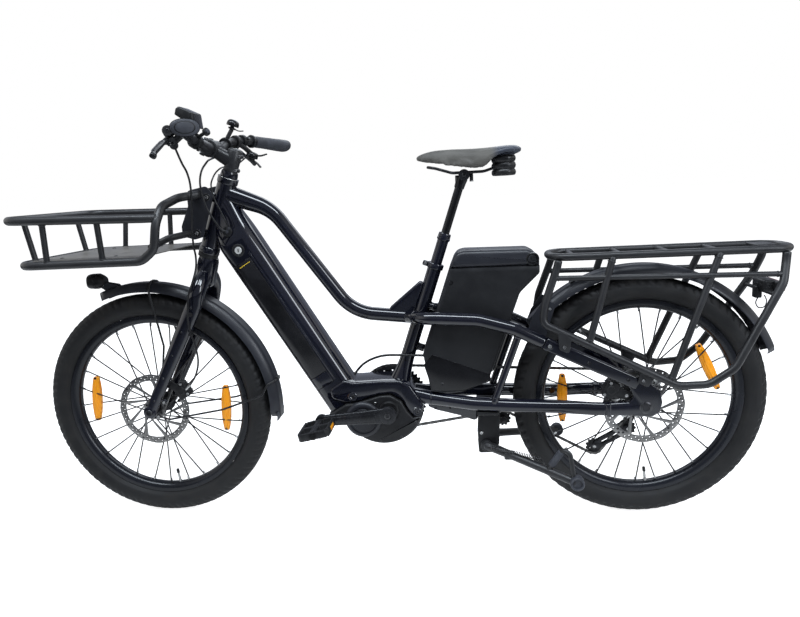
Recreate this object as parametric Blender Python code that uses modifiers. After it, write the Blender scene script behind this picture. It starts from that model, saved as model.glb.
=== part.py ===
"""Electric cargo bike: mid-drive frame, two batteries, front basket, long rear rack.

Metres, +Z up. The bike's front points to -X, its left side to -Y. The origin lies on the
ground under the middle of the overall length. Inside the script, X is counted from the
middle between the two axles, and the empty "bicycle" moves everything to the origin.
"""

import math

import bmesh
import bpy
from mathutils import Matrix, Vector

# Fits
GAP = 0.0003
RUNNING_GAP = 0.0004

# Wheels
WHEELBASE = 1.300
WHEEL_RADIUS = 0.318
TYRE_WIDTH = 0.063
RIM_RADIUS = 0.2585
RIM_DEPTH = 0.0225
RIM_WIDTH = 0.036
SPOKE_COUNT = 28
SPOKE_RADIUS = 0.0013
SPOKE_LEAN = 48.0
HUB_CORE_RADIUS = 0.0170
VALVE_LENGTH = 0.038
VALVE_RADIUS = 0.0030
REFLECTOR_LENGTH = 0.130
REFLECTOR_WIDTH = 0.028
REFLECTOR_THICKNESS = 0.018
REFLECTOR_RADIUS = 0.190
HUB_FLANGE_RADIUS = 0.0290
FRONT_HUB_WIDTH = 0.100
REAR_HUB_WIDTH = 0.148
AXLE_STUB_RADIUS = 0.0075
ROTOR_RADIUS = 0.100
ROTOR_BAND = 0.017
ROTOR_THICKNESS = 0.0020
ROTOR_INSET = 0.0105
ROTOR_ARMS = 5

# Steering
HEAD_ANGLE = 68.5
FORK_RAKE = 0.022
FORK_LENGTH = 0.463
HEAD_TUBE_LENGTH = 0.206
HEAD_TUBE_RADIUS = 0.0245
STEERER_RADIUS = 0.0143
BLADE_DEPTH = 0.046
BLADE_THICKNESS = 0.028
BLADE_TIP_DEPTH = 0.032
BLADE_TIP_THICKNESS = 0.019
CROWN_RADIUS = 0.0275
CROWN_SETBACK = 0.010
SHOULDER_SETBACK = 0.018
STEM_RADIUS = 0.0185
STEM_REACH = 0.0593
STEM_RISE = 0.0557
BAR_RADIUS = 0.0159
BAR_GRIP_RADIUS = 0.0111
BAR_HALF_WIDTH = 0.352
BAR_RISE = 0.0512
GRIP_LENGTH = 0.137
GRIP_RADIUS = 0.0168

# Frame
CRANK_SETBACK = 0.644
CRANK_HEIGHT = 0.309
CRANK_REST_TURN = -4.0
DOWN_TUBE_DEPTH = 0.106
DOWN_TUBE_WIDTH = 0.084
DOWN_TUBE_CORNER = 0.020
TOP_TUBE_RADIUS = 0.0178
SEAT_ANGLE = 70.8
SEAT_TUBE_RADIUS = 0.0180
SEAT_TUBE_LENGTH = 0.361
TWIN_TUBE_RADIUS = 0.0165
STAY_RADIUS = 0.0170
STRUT_RADIUS = 0.0090
DROPOUT_THICKNESS = 0.010
MOTOR_RADIUS = 0.1100
MOTOR_ADVANCE = 0.018
MOTOR_RISE = 0.0126
CLUTCH_RADIUS = 0.049

# Batteries
BATTERY_LENGTH = 0.392
BATTERY_DEPTH = 0.0655
BATTERY_WIDTH = 0.072
REAR_CASE_WIDTH = 0.092
REAR_CASE_WALL = 0.004
LOCK_RADIUS = 0.0095

# Seat
POST_RADIUS = 0.0145
POST_STANDOUT = 0.080
STANCHION_RADIUS = 0.0105
STANCHION_STANDOUT = 0.148
SADDLE_LENGTH = 0.258
SADDLE_WIDTH = 0.178

# Cranks, chain and gears
CRANK_LENGTH = 0.175
CRANK_ARM_OFFSET = 0.088
CRANK_ARM_THICKNESS = 0.015
CHAIN_PITCH = 0.0127
CHAINRING_TEETH = 46
SPROCKET_TEETH = 28
PULLEY_TEETH = 11
SPROCKET_PITCH = 0.0048
CHAIN_LINE = 0.052
CHAIN_WIDTH = 0.0070
CHAIN_HEIGHT = 0.0070
PEDAL_LENGTH = 0.082
PEDAL_WIDTH = 0.096
PEDAL_THICKNESS = 0.021
PEDAL_TILT = -8.0

# Mudguards
GUARD_WIDTH = 0.066
GUARD_THICKNESS = 0.0025
FRONT_GUARD_RADIUS = 0.3500
REAR_GUARD_RADIUS = 0.3500
GUARD_CROWN = 0.016

# Basket
BASKET_TUBE_RADIUS = 0.0105
BASKET_LENGTH = 0.378
BASKET_WIDTH = 0.380
BASKET_FLOOR_WIDTH = 0.360
BASKET_HEIGHT = 0.106
BASKET_RIM_HEIGHT = 0.850
BASKET_REAR = 0.514
FLOOR_THICKNESS = 0.003

# Rack
RACK_TUBE_RADIUS = 0.0095
RACK_HEIGHT = 0.697
RACK_FRONT = 0.427
RACK_LENGTH = 0.562
RACK_WIDTH = 0.116
RACK_SIDE_LEAN = 0.179
RACK_BAR_COUNT = 5

# Centre stand
STAND_PIVOT_X = 0.258
STAND_PIVOT_Z = 0.203
STAND_LEG_RADIUS = 0.0105
STAND_REACH = 0.212
STAND_DROP = 0.043
STAND_SPREAD = 0.168

# Cords
BRAKE_HOSE_RADIUS = 0.0025
CABLE_RADIUS = 0.0020
MOTOR_CABLE_RADIUS = 0.0032

# Faces round a wheel
WHEEL_STEPS = 36

FRONT_AXLE = Vector((-WHEELBASE / 2, 0.0, WHEEL_RADIUS))
REAR_AXLE = Vector((WHEELBASE / 2, 0.0, WHEEL_RADIUS))
CRANK_AXIS = REAR_AXLE + Vector((-CRANK_SETBACK, 0.0, CRANK_HEIGHT - WHEEL_RADIUS))
MOTOR_AXIS = CRANK_AXIS + Vector((-MOTOR_ADVANCE, 0.0, MOTOR_RISE))
STEER_UP = Vector((math.cos(math.radians(HEAD_ANGLE)), 0.0, math.sin(math.radians(HEAD_ANGLE))))
STEER_BACK = Vector((STEER_UP.z, 0.0, -STEER_UP.x))
HEAD_BOTTOM = FRONT_AXLE + STEER_BACK * FORK_RAKE + STEER_UP * FORK_LENGTH
SEAT_UP = Vector((math.cos(math.radians(SEAT_ANGLE)), 0.0, math.sin(math.radians(SEAT_ANGLE))))
SEAT_FOOT = CRANK_AXIS + Vector((0.018, 0.0, 0.038))
SPROCKET_RADIUS = CHAIN_PITCH / 2 / math.sin(math.pi / SPROCKET_TEETH)
CHAINRING_RADIUS = CHAIN_PITCH / 2 / math.sin(math.pi / CHAINRING_TEETH)
PULLEY_RADIUS = CHAIN_PITCH / 2 / math.sin(math.pi / PULLEY_TEETH)
FRONT_END = WHEELBASE / 2 + WHEEL_RADIUS
RACK_BACK = RACK_FRONT + RACK_LENGTH + RACK_TUBE_RADIUS

for old in list(bpy.data.objects):
    bpy.data.objects.remove(old, do_unlink=True)

parts = bpy.data.collections.new("electric_cargo_bike")
cutters = bpy.data.collections.new("cutters")
bpy.context.scene.collection.children.link(parts)
bpy.context.scene.collection.children.link(cutters)
cutters.hide_render = True


# Materials
def make_paint(name, colour, roughness, metallic=0.0):
    paint = bpy.data.materials.new(name)
    paint.use_nodes = True
    shader = paint.node_tree.nodes["Principled BSDF"]
    shader.inputs["Base Color"].default_value = (*colour, 1.0)
    shader.inputs["Roughness"].default_value = roughness
    shader.inputs["Metallic"].default_value = metallic
    paint.diffuse_color = (*colour, 1.0)
    return paint


GLOSS_FRAME = make_paint("gloss_frame_paint", (0.012, 0.014, 0.028), 0.12)
MATTE_BLACK = make_paint("matte_black_paint", (0.022, 0.022, 0.025), 0.45)
SATIN_GUARD = make_paint("satin_guard", (0.025, 0.026, 0.030), 0.50)
RUBBER = make_paint("tyre_rubber", (0.018, 0.018, 0.019), 0.80)
GRIP_RUBBER = make_paint("grip_rubber", (0.045, 0.045, 0.055), 0.75)
RIM_BLACK = make_paint("anodised_rim", (0.015, 0.015, 0.018), 0.30, 0.6)
STEEL = make_paint("brushed_steel", (0.50, 0.49, 0.47), 0.35, 1.0)
DARK_STEEL = make_paint("dark_steel", (0.06, 0.06, 0.065), 0.35, 0.9)
PLASTIC = make_paint("black_plastic", (0.020, 0.020, 0.022), 0.45)
CASE_PLASTIC = make_paint("battery_plastic", (0.040, 0.041, 0.044), 0.42)
FLOOR_BOARD = make_paint("basket_board", (0.20, 0.18, 0.15), 0.35)
SADDLE_SKIN = make_paint("saddle_skin", (0.085, 0.083, 0.078), 0.55)
HOSE_BLACK = make_paint("hose_black", (0.015, 0.015, 0.016), 0.40)
RED_LENS = make_paint("red_lens", (0.25, 0.01, 0.01), 0.20)


# Building tools
def temporary(mesh):
    """A working object that holds this mesh, in the cutters' collection."""
    thing = bpy.data.objects.new("working", mesh)
    thing.hide_render = True
    thing.display_type = "WIRE"
    cutters.objects.link(thing)
    return thing


def from_bmesh(bm):
    mesh = bpy.data.meshes.new("working")
    bm.to_mesh(mesh)
    bm.free()
    return temporary(mesh)


def frozen(thing):
    """The same shape with its modifiers applied, its caps welded and its faces pointing out."""
    bpy.context.view_layer.update()
    graph = bpy.context.evaluated_depsgraph_get()
    mesh = bpy.data.meshes.new_from_object(thing.evaluated_get(graph))
    mesh.transform(thing.matrix_world)
    bm = bmesh.new()
    bm.from_mesh(mesh)
    bmesh.ops.remove_doubles(bm, verts=bm.verts, dist=0.00001)
    open_edges = [edge for edge in bm.edges if edge.is_boundary]
    if open_edges:
        bmesh.ops.holes_fill(bm, edges=open_edges, sides=0)
    bmesh.ops.recalc_face_normals(bm, faces=bm.faces)
    bm.to_mesh(mesh)
    bm.free()
    bpy.data.objects.remove(thing, do_unlink=True)
    return temporary(mesh)


def boolean(thing, others, operation):
    """Joins or cuts the others, all at once, and removes them."""
    group = bpy.data.collections.new("operands")
    bpy.context.scene.collection.children.link(group)
    for other in others:
        group.objects.link(other)
    step = thing.modifiers.new(operation.lower(), "BOOLEAN")
    step.operation = operation
    step.operand_type = "COLLECTION"
    step.collection = group
    result = frozen(thing)
    for other in others:
        bpy.data.objects.remove(other, do_unlink=True)
    bpy.data.collections.remove(group)
    return result


def join(first, *others):
    return boolean(first, others, "UNION")


def cut(thing, *others):
    return boolean(thing, others, "DIFFERENCE")


def common(first, second):
    step = first.modifiers.new("common", "BOOLEAN")
    step.operation = "INTERSECT"
    step.object = second
    result = frozen(first)
    bpy.data.objects.remove(second, do_unlink=True)
    return result


def towards(start, end):
    """The matrix that carries +Z from the origin onto the line between two points."""
    start = Vector(start)
    line = Vector(end) - start
    return Matrix.Translation(start) @ line.to_track_quat("Z", "Y").to_matrix().to_4x4()


def along(start, end, side_axis=(0.0, 1.0, 0.0)):
    """A frame at start: local Z along the line, local Y along side_axis, local X completing it."""
    start = Vector(start)
    up = (Vector(end) - start).normalized()
    side = Vector(side_axis)
    side = (side - up * side.dot(up)).normalized()
    across = side.cross(up)
    turn = Matrix((across, side, up)).transposed().to_4x4()
    return Matrix.Translation(start) @ turn


def box(low, high, frame=None, corner=0.0, segments=2, edges="ALL"):
    """A box between two corners, in an optional local frame, with some edges rounded."""
    low = Vector(low)
    high = Vector(high)
    bm = bmesh.new()
    bmesh.ops.create_cube(bm, size=1.0)
    size = high - low
    middle = (high + low) / 2
    bmesh.ops.scale(bm, vec=size, verts=bm.verts)
    bmesh.ops.translate(bm, vec=middle, verts=bm.verts)
    if corner > 0.0:
        chosen = [
            edge for edge in bm.edges
            if edges == "ALL" or abs((edge.verts[0].co - edge.verts[1].co)["XYZ".index(edges)]) > 1e-6
        ]
        bmesh.ops.bevel(
            bm, geom=chosen, offset=corner, segments=segments, affect="EDGES", profile=0.5, clamp_overlap=True
        )
    if frame is not None:
        bm.transform(frame)
    return from_bmesh(bm)


def rod(start, end, radius, end_radius=None, sides=12):
    """A round bar or cone from one point to another."""
    length = (Vector(end) - Vector(start)).length
    bm = bmesh.new()
    bmesh.ops.create_cone(
        bm, cap_ends=True, segments=sides, radius1=radius,
        radius2=radius if end_radius is None else end_radius, depth=length,
    )
    bmesh.ops.translate(bm, vec=(0.0, 0.0, length / 2), verts=bm.verts)
    bm.transform(towards(start, end))
    return from_bmesh(bm)


def oval_rod(start, end, start_size, end_size, sides=12, side_axis=(0.0, 1.0, 0.0)):
    """A tapered bar of oval section: sizes are (across, along side_axis) at each end."""
    length = (Vector(end) - Vector(start)).length
    bm = bmesh.new()
    bmesh.ops.create_cone(bm, cap_ends=True, segments=sides, radius1=0.5, radius2=0.5, depth=length)
    for vert in bm.verts:
        size = start_size if vert.co.z < 0 else end_size
        vert.co.x *= size[0]
        vert.co.y *= size[1]
    bmesh.ops.translate(bm, vec=(0.0, 0.0, length / 2), verts=bm.verts)
    bm.transform(along(start, end, side_axis))
    return from_bmesh(bm)


def bent(corners, radius, steps=3):
    """The corners of a path with each inner corner rounded to a bend of this radius."""
    points = [Vector(corner) for corner in corners]
    path = [points[0]]
    for before, here, after in zip(points, points[1:], points[2:]):
        into = (before - here).normalized()
        out = (after - here).normalized()
        half = into.angle(out) / 2
        reach = min(radius / math.tan(half), 0.49 * (before - here).length, 0.49 * (after - here).length)
        arc = reach * math.tan(half)
        centre = here + (into + out).normalized() * (arc / math.sin(half))
        first = here + into * reach - centre
        last = here + out * reach - centre
        sweep = first.angle(last)
        for step in range(steps + 1):
            share = step / steps
            path.append(
                centre + (first * math.sin((1 - share) * sweep) + last * math.sin(share * sweep)) / math.sin(sweep)
            )
    path.append(points[-1])
    return path


def looped(corners, radius, steps=3):
    """A closed path with every corner rounded."""
    points = [Vector(corner) for corner in corners]
    path = bent([points[-1], *points, points[0]], radius, steps)
    return path[1:-1]


def smooth(route, spacing):
    """Points at even spacing on a smooth curve through the route's points."""
    points = [Vector(point) for point in route]
    ends = [points[0] * 2 - points[1], *points, points[-1] * 2 - points[-2]]
    fine = []
    for a, b, c, d in zip(ends, ends[1:], ends[2:], ends[3:]):
        for step in range(24):
            t = step / 24
            fine.append(
                0.5 * (2 * b + (c - a) * t + (2 * a - 5 * b + 4 * c - d) * t * t
                       + (3 * b - a - 3 * c + d) * t * t * t)
            )
    fine.append(points[-1])
    length = sum((q - p).length for p, q in zip(fine, fine[1:]))
    count = max(2, round(length / spacing))
    path = [fine[0]]
    travelled = 0.0
    for p, q in zip(fine, fine[1:]):
        travelled += (q - p).length
        if travelled >= len(path) * length / count and len(path) < count:
            path.append(q)
    path.append(fine[-1])
    return path


def tube_curve(name, path, radius, closed=False, resolution=2, radii=None):
    """A round tube along the path, as a curve object."""
    data = bpy.data.curves.new(name, "CURVE")
    data.dimensions = "3D"
    data.bevel_depth = radius
    data.bevel_resolution = resolution
    data.use_fill_caps = not closed
    spline = data.splines.new("POLY")
    spline.points.add(len(path) - 1)
    for index, point in enumerate(path):
        spline.points[index].co = (*point, 1.0)
        spline.points[index].radius = 1.0 if radii is None else radii[index]
    spline.use_cyclic_u = closed
    return bpy.data.objects.new(name, data)


def tube(path, radius, closed=False, resolution=2, radii=None):
    """The same tube as a closed mesh, ready to be joined or cut."""
    thing = tube_curve("working", path, radius, closed, resolution, radii)
    cutters.objects.link(thing)
    return frozen(thing)


def slab(outline, low, high, frame=None, hole=None):
    """A flat outline of (x, z) points, solid between two values of y, with an optional hole."""
    data = bpy.data.curves.new("working", "CURVE")
    data.dimensions = "2D"
    data.fill_mode = "BOTH"
    data.extrude = (high - low) / 2
    for loop in [outline] if hole is None else [outline, hole]:
        spline = data.splines.new("POLY")
        spline.points.add(len(loop) - 1)
        for index, (x, z) in enumerate(loop):
            spline.points[index].co = (x, z, 0.0, 1.0)
        spline.use_cyclic_u = True
    thing = bpy.data.objects.new("working", data)
    thing.matrix_world = Matrix.Translation((0.0, (high + low) / 2, 0.0)) @ Matrix.Rotation(math.pi / 2, 4, "X")
    cutters.objects.link(thing)
    result = frozen(thing)
    if frame is not None:
        result.data.transform(frame)
    return result


def grown(outline, distance):
    """A closed outline of (x, z) points moved outwards by a distance."""
    points = [Vector(point) for point in outline]
    area = sum(a.x * b.y - b.x * a.y for a, b in zip(points, points[1:] + points[:1]))
    sign = 1.0 if area > 0 else -1.0
    moved = []
    for before, here, after in zip(points[-1:] + points[:-1], points, points[1:] + points[:1]):
        into = (here - before).normalized()
        out = (after - here).normalized()
        normals = Vector((into.y + out.y, -into.x - out.x)) * sign
        moved.append(here + normals * (distance * 2 / normals.length_squared))
    return [(point.x, point.y) for point in moved]


def turned(profile, centre, steps=24, sweep=360.0, start=0.0, closed=True):
    """A ring or wheel about the Y axis through centre. The profile is (radius, y) points."""
    bm = bmesh.new()
    verts = [bm.verts.new((radius, 0.0, y)) for radius, y in profile]
    pairs = list(zip(verts, verts[1:]))
    if closed:
        pairs.append((verts[-1], verts[0]))
    for pair in pairs:
        bm.edges.new(pair)
    thing = from_bmesh(bm)
    screw = thing.modifiers.new("turn", "SCREW")
    screw.axis = "Z"
    screw.angle = math.radians(sweep)
    screw.steps = steps
    screw.render_steps = steps
    screw.use_merge_vertices = sweep == 360.0
    screw.merge_threshold = 0.00001
    thing.matrix_world = (
        Matrix.Translation(centre) @ Matrix.Rotation(-math.radians(start), 4, "Y")
        @ Matrix.Rotation(-math.pi / 2, 4, "X")
    )
    return thing


def ring(inner, outer, low, high, centre, steps=24):
    return frozen(turned([(outer, high), (outer, low), (inner, low), (inner, high)], centre, steps))


def part(name, solid, paint, parent, pivot=(0.0, 0.0, 0.0), sharp=35.0):
    """The finished object: named, painted, parented, with its origin at the pivot."""
    pivot = Vector(pivot)
    mesh = solid.data
    mesh.transform(Matrix.Translation(-pivot))
    mesh.name = name
    bpy.data.objects.remove(solid, do_unlink=True)
    thing = bpy.data.objects.new(name, mesh)
    thing.location = pivot
    thing.parent = parent
    mesh.materials.clear()
    mesh.materials.append(paint)
    mesh.shade_smooth()
    mesh.set_sharp_from_angle(angle=math.radians(sharp))
    parts.objects.link(thing)
    return thing


def cord(name, route, radius, paint, parent):
    """A hose or cable along a smooth curve through its route."""
    thing = tube_curve(name, smooth(route, radius * 7.4), radius, resolution=1)
    thing.data.materials.append(paint)
    thing.parent = parent
    parts.objects.link(thing)
    return thing


def empty(name, location, parent=None, turn=0.0):
    thing = bpy.data.objects.new(name, None)
    thing.empty_display_size = 0.05
    thing.location = location
    thing.rotation_euler = (0.0, math.radians(turn), 0.0)
    thing.parent = parent
    parts.objects.link(thing)
    return thing


bicycle = empty("bicycle", ((FRONT_END - RACK_BACK) / 2, 0.0, 0.0))
steering = empty("steering_axis", HEAD_BOTTOM, bicycle, 90.0 - HEAD_ANGLE)
front_axle = empty("front_axle", FRONT_AXLE, bicycle)
rear_axle = empty("rear_axle", REAR_AXLE, bicycle)
crank_axis = empty("crank_axis", CRANK_AXIS, bicycle, CRANK_REST_TURN)


# Wheels
def wheel(end, parent, hub_width, stub_length, reflector_angles):
    """Tyre, rim, laced hub with reflectors and brake disc about the parent's origin."""
    middle = WHEEL_RADIUS - TYRE_WIDTH / 2
    seat = RIM_RADIUS + GAP
    open_angle = math.acos((middle - seat) / (TYRE_WIDTH / 2))
    span = math.pi - open_angle
    section = [
        (middle + TYRE_WIDTH / 2 * math.cos(a), TYRE_WIDTH / 2 * math.sin(a))
        for a in [span - span * step / 3 for step in range(7)]
    ]
    tyre = frozen(turned(section, (0, 0, 0), WHEEL_STEPS))
    part(f"{end}_tyre", tyre, RUBBER, parent)
    half = RIM_WIDTH / 2
    inner = RIM_RADIUS - RIM_DEPTH
    section = [
        (RIM_RADIUS, half), (RIM_RADIUS, -half), (inner + RIM_DEPTH * 0.4, -half),
        (inner, 0.0), (inner + RIM_DEPTH * 0.4, half),
    ]
    lean = math.pi / SPOKE_COUNT
    out = Vector((math.sin(lean), 0.0, -math.cos(lean)))
    valve = rod(out * (inner + 0.004), out * (inner - VALVE_LENGTH), VALVE_RADIUS, sides=6)
    part(f"{end}_rim", join(frozen(turned(section, (0, 0, 0), WHEEL_STEPS)), valve), RIM_BLACK, parent)

    face = hub_width / 2 - GAP
    disc_face = hub_width / 2 - ROTOR_INSET
    flange = disc_face - 0.010
    far_flange = min(flange, 0.030)
    hub = join(
        rod((0, -face, 0), (0, face, 0), HUB_CORE_RADIUS * 0.62, sides=12),
        rod((0, -disc_face - 0.003, 0), (0, far_flange, 0), HUB_CORE_RADIUS, sides=16),
        rod((0, -flange, 0), (0, -flange + 0.005, 0), HUB_FLANGE_RADIUS, sides=16),
        rod((0, far_flange - 0.005, 0), (0, far_flange, 0), HUB_FLANGE_RADIUS, sides=16),
        rod((0, -face - stub_length, 0), (0, face + stub_length, 0), AXLE_STUB_RADIUS, sides=10),
    )
    spokes = []
    hole = HUB_FLANGE_RADIUS - 0.0036
    rim_hole = inner - GAP
    for index in range(SPOKE_COUNT):
        angle = 2 * math.pi * index / SPOKE_COUNT
        lean = math.radians(SPOKE_LEAN) * (1 if index % 4 < 2 else -1)
        y = (-flange + 0.002) if index % 2 else (far_flange - 0.002)
        y += SPOKE_RADIUS if index % 4 < 2 else -SPOKE_RADIUS
        start = (hole * math.cos(angle + lean), y, hole * math.sin(angle + lean))
        facet = 2 * math.pi / WHEEL_STEPS
        reach = (rim_hole + 0.0008) * math.cos(facet / 2) / math.cos(angle % facet - facet / 2)
        spokes.append(rod(start, (reach * math.cos(angle), y * 0.12, reach * math.sin(angle)), SPOKE_RADIUS, sides=3))
    reflectors = []
    for angle in reflector_angles:
        away = Vector((math.cos(math.radians(angle)), 0, math.sin(math.radians(angle))))
        tangent = Vector((-away.z, 0, away.x))
        frame = along(away * REFLECTOR_RADIUS - tangent * REFLECTOR_LENGTH / 2, away * REFLECTOR_RADIUS + tangent * REFLECTOR_LENGTH / 2)
        half = (REFLECTOR_WIDTH / 2, REFLECTOR_THICKNESS / 2)
        reflectors.append(box((-half[0], -half[1], 0), (half[0], half[1], REFLECTOR_LENGTH), frame, 0.009, 1, "Y"))
    part(f"{end}_spokes_hub", join(hub, *spokes, *reflectors), DARK_STEEL, parent)

    low = -disc_face - ROTOR_THICKNESS / 2
    high = -disc_face + ROTOR_THICKNESS / 2
    band = ring(ROTOR_RADIUS - ROTOR_BAND, ROTOR_RADIUS, low, high, (0, 0, 0), 22)
    carrier = ring(HUB_CORE_RADIUS + RUNNING_GAP, HUB_CORE_RADIUS + 0.011, low, high, (0, 0, 0), 16)
    arms = []
    for index in range(ROTOR_ARMS):
        angle = 2 * math.pi * index / ROTOR_ARMS
        start = Vector((math.cos(angle), 0, math.sin(angle))) * (HUB_CORE_RADIUS + 0.006)
        end_angle = angle + math.radians(38)
        stop = Vector((math.cos(end_angle), 0, math.sin(end_angle))) * (ROTOR_RADIUS - ROTOR_BAND / 2)
        frame = along(start, stop)
        arms.append(box((-0.005, low, 0), (0.005, high, (stop - start).length), frame))
    part(f"{end}_brake_disc", join(band, carrier, *arms), STEEL, parent)


wheel("front", front_axle, FRONT_HUB_WIDTH, BLADE_TIP_THICKNESS, (174, -4))
wheel("rear", rear_axle, REAR_HUB_WIDTH, DROPOUT_THICKNESS, (180, 24))


# Fork, in the steering frame: local Z runs up the steering axis, local X to the rear
WHEEL_IN_FORK = Vector((-FORK_RAKE, 0.0, -FORK_LENGTH))
TIP_Y = FRONT_HUB_WIDTH / 2 + GAP + BLADE_TIP_THICKNESS / 2
STEERER_TOP = HEAD_TUBE_LENGTH + 0.068


CROWN_LOW = Vector((CROWN_SETBACK, 0.0, -0.084))
CROWN_HIGH = Vector((CROWN_SETBACK * 0.35, 0.0, -0.010))


def fork_blade(side, margin=0.0):
    """One leg's tapered lower part, moved outwards by the margin."""
    tip = Vector((-FORK_RAKE, side * TIP_Y, -FORK_LENGTH))
    top = Vector((SHOULDER_SETBACK, side * (TIP_Y - 0.001), -0.132))
    low = tip + (tip - top).normalized() * 0.004
    grow = 2 * margin
    return oval_rod(top, low, (BLADE_DEPTH + grow, BLADE_THICKNESS + grow), (BLADE_TIP_DEPTH + grow, BLADE_TIP_THICKNESS + grow))


def fork():
    pieces = [
        rod((0, 0, -0.0125), (0, 0, -GAP), HEAD_TUBE_RADIUS + 0.001, sides=16),
        rod(CROWN_LOW, CROWN_HIGH, CROWN_RADIUS, CROWN_RADIUS - 0.001, sides=16),
    ]
    tools = []
    for side in (-1, 1):
        path = bent(
            [(0.008, 0, -0.056), (0.012, side * 0.032, -0.070), (SHOULDER_SETBACK, side * 0.0580, -0.100),
             (SHOULDER_SETBACK - 0.001, side * (TIP_Y - 0.001), -0.142)], 0.03, 2)
        pieces.append(tube(path, 0.0195, resolution=1))
        pieces.append(fork_blade(side))
        outer = side * (TIP_Y + BLADE_TIP_THICKNESS / 2)
        inner = side * (TIP_Y - BLADE_TIP_THICKNESS / 2)
        pieces.append(rod((-FORK_RAKE, inner, -FORK_LENGTH), (-FORK_RAKE, outer, -FORK_LENGTH), 0.0175, sides=16))
        tools.append(
            rod((-FORK_RAKE, inner - side * 0.01, -FORK_LENGTH), (-FORK_RAKE, outer + side * 0.01, -FORK_LENGTH),
                AXLE_STUB_RADIUS + RUNNING_GAP, sides=12))
        tools.append(
            box((-0.06, min(inner, inner - side * 0.03), -FORK_LENGTH - 0.05),
                (0.06, max(inner, inner - side * 0.03), -FORK_LENGTH + 0.035)))
    steerer = rod((0, 0, -0.03), (0, 0, STEERER_TOP), STEERER_RADIUS, sides=16)
    return cut(join(steerer, *pieces), *tools)


part("fork", fork(), GLOSS_FRAME, steering)


# Stem and handlebar, in the steering frame
BAR_X = -STEM_REACH
BAR_Z = HEAD_TUBE_LENGTH + STEM_RISE


def bar_corner(side):
    """The bar's corners on one side, from the clamp to the tip."""
    return [
        Vector((BAR_X, side * 0.040, BAR_Z)),
        Vector((BAR_X - 0.0145, side * BAR_HALF_WIDTH * 0.37, BAR_Z + BAR_RISE * 0.395)),
        Vector((BAR_X + 0.0082, side * BAR_HALF_WIDTH * 0.568, BAR_Z + BAR_RISE * 0.715)),
        Vector((BAR_X + 0.0724, side * BAR_HALF_WIDTH, BAR_Z + BAR_RISE)),
    ]


def bar_path(shorten=0.0):
    left = bar_corner(-1)
    right = bar_corner(1)
    for corners in (left, right):
        corners[3] += (corners[2] - corners[3]).normalized() * shorten
    path = bent([left[3], left[2], left[1], left[0], right[0], right[1], right[2], right[3]], 0.035, 2)
    centre = Vector((BAR_X, 0.0, BAR_Z))
    thin = BAR_GRIP_RADIUS / BAR_RADIUS
    radii = []
    for point in path:
        out = min(1.0, max(0.0, (abs((point - centre).y) - 0.045) / 0.060))
        radii.append(1.0 + (thin - 1.0) * out)
    return path, radii


def bar_solid(extra, shorten=0.0):
    path, radii = bar_path(shorten)
    scale = (BAR_RADIUS + extra) / BAR_RADIUS
    grown = [(radius * BAR_RADIUS + extra) / (BAR_RADIUS * scale) for radius in radii]
    return tube(path, BAR_RADIUS + extra, resolution=2, radii=grown)


def bar_point(side, y):
    """The bar's centre line at a given distance from the middle."""
    corners = bar_corner(side)
    for low, high in zip(corners, corners[1:]):
        if abs(high.y) >= y:
            share = (y - abs(low.y)) / (abs(high.y) - abs(low.y))
            return low.lerp(high, share), (high - low).normalized()
    return corners[-1], (corners[-1] - corners[-2]).normalized()


part("handlebar", bar_solid(0.0, 0.008), MATTE_BLACK, steering)

stem = cut(
    join(
        rod((0, 0, HEAD_TUBE_LENGTH + GAP), (0, 0, HEAD_TUBE_LENGTH + 0.016), 0.0225, 0.0210, sides=16),
        rod((0, 0, HEAD_TUBE_LENGTH + 0.010), (0, 0, STEERER_TOP + 0.004), STEM_RADIUS, sides=16),
        oval_rod((0, 0, BAR_Z - 0.014), (BAR_X, 0, BAR_Z), (0.036, 0.036), (0.032, 0.040), sides=12),
        rod((BAR_X, -0.024, BAR_Z), (BAR_X, 0.024, BAR_Z), BAR_RADIUS + 0.006, sides=16),
    ),
    rod((0, 0, HEAD_TUBE_LENGTH - 0.01), (0, 0, STEERER_TOP + RUNNING_GAP), STEERER_RADIUS + GAP, sides=16),
    bar_solid(GAP * 1.5),
)
part("stem", stem, MATTE_BLACK, steering)


def grip(side, name):
    """A palm grip: a sleeve on the bar with a flat wing behind its outer end."""
    corners = bar_corner(side)
    tip = corners[3]
    line = (corners[2] - tip).normalized()
    inner = tip + line * GRIP_LENGTH
    sleeve = rod(inner, tip, GRIP_RADIUS - 0.001, GRIP_RADIUS, sides=12)
    collar = rod(inner, inner - line * 0.010, GRIP_RADIUS + 0.0015, sides=12)
    wing_start = tip + line * 0.100 + Vector((0.003, 0.0, 0.0))
    wing_end = tip + Vector((0.002, 0.0, 0.0))
    wing = oval_rod(wing_start, wing_end, (0.034, 0.026), (0.060, 0.036), 14, (-STEER_UP.x, 0.0, STEER_UP.z))
    return cut(join(sleeve, collar, wing), bar_solid(GAP, 0.004))


part("grip_left", grip(-1, "left"), GRIP_RUBBER, steering)
part("grip_right", grip(1, "right"), GRIP_RUBBER, steering)


def clamp(side, y, radius=0.0175, width=0.014):
    """A ring round the bar."""
    centre, line = bar_point(side, y)
    return rod(centre - line * width / 2, centre + line * width / 2, radius, sides=10), centre, line


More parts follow.
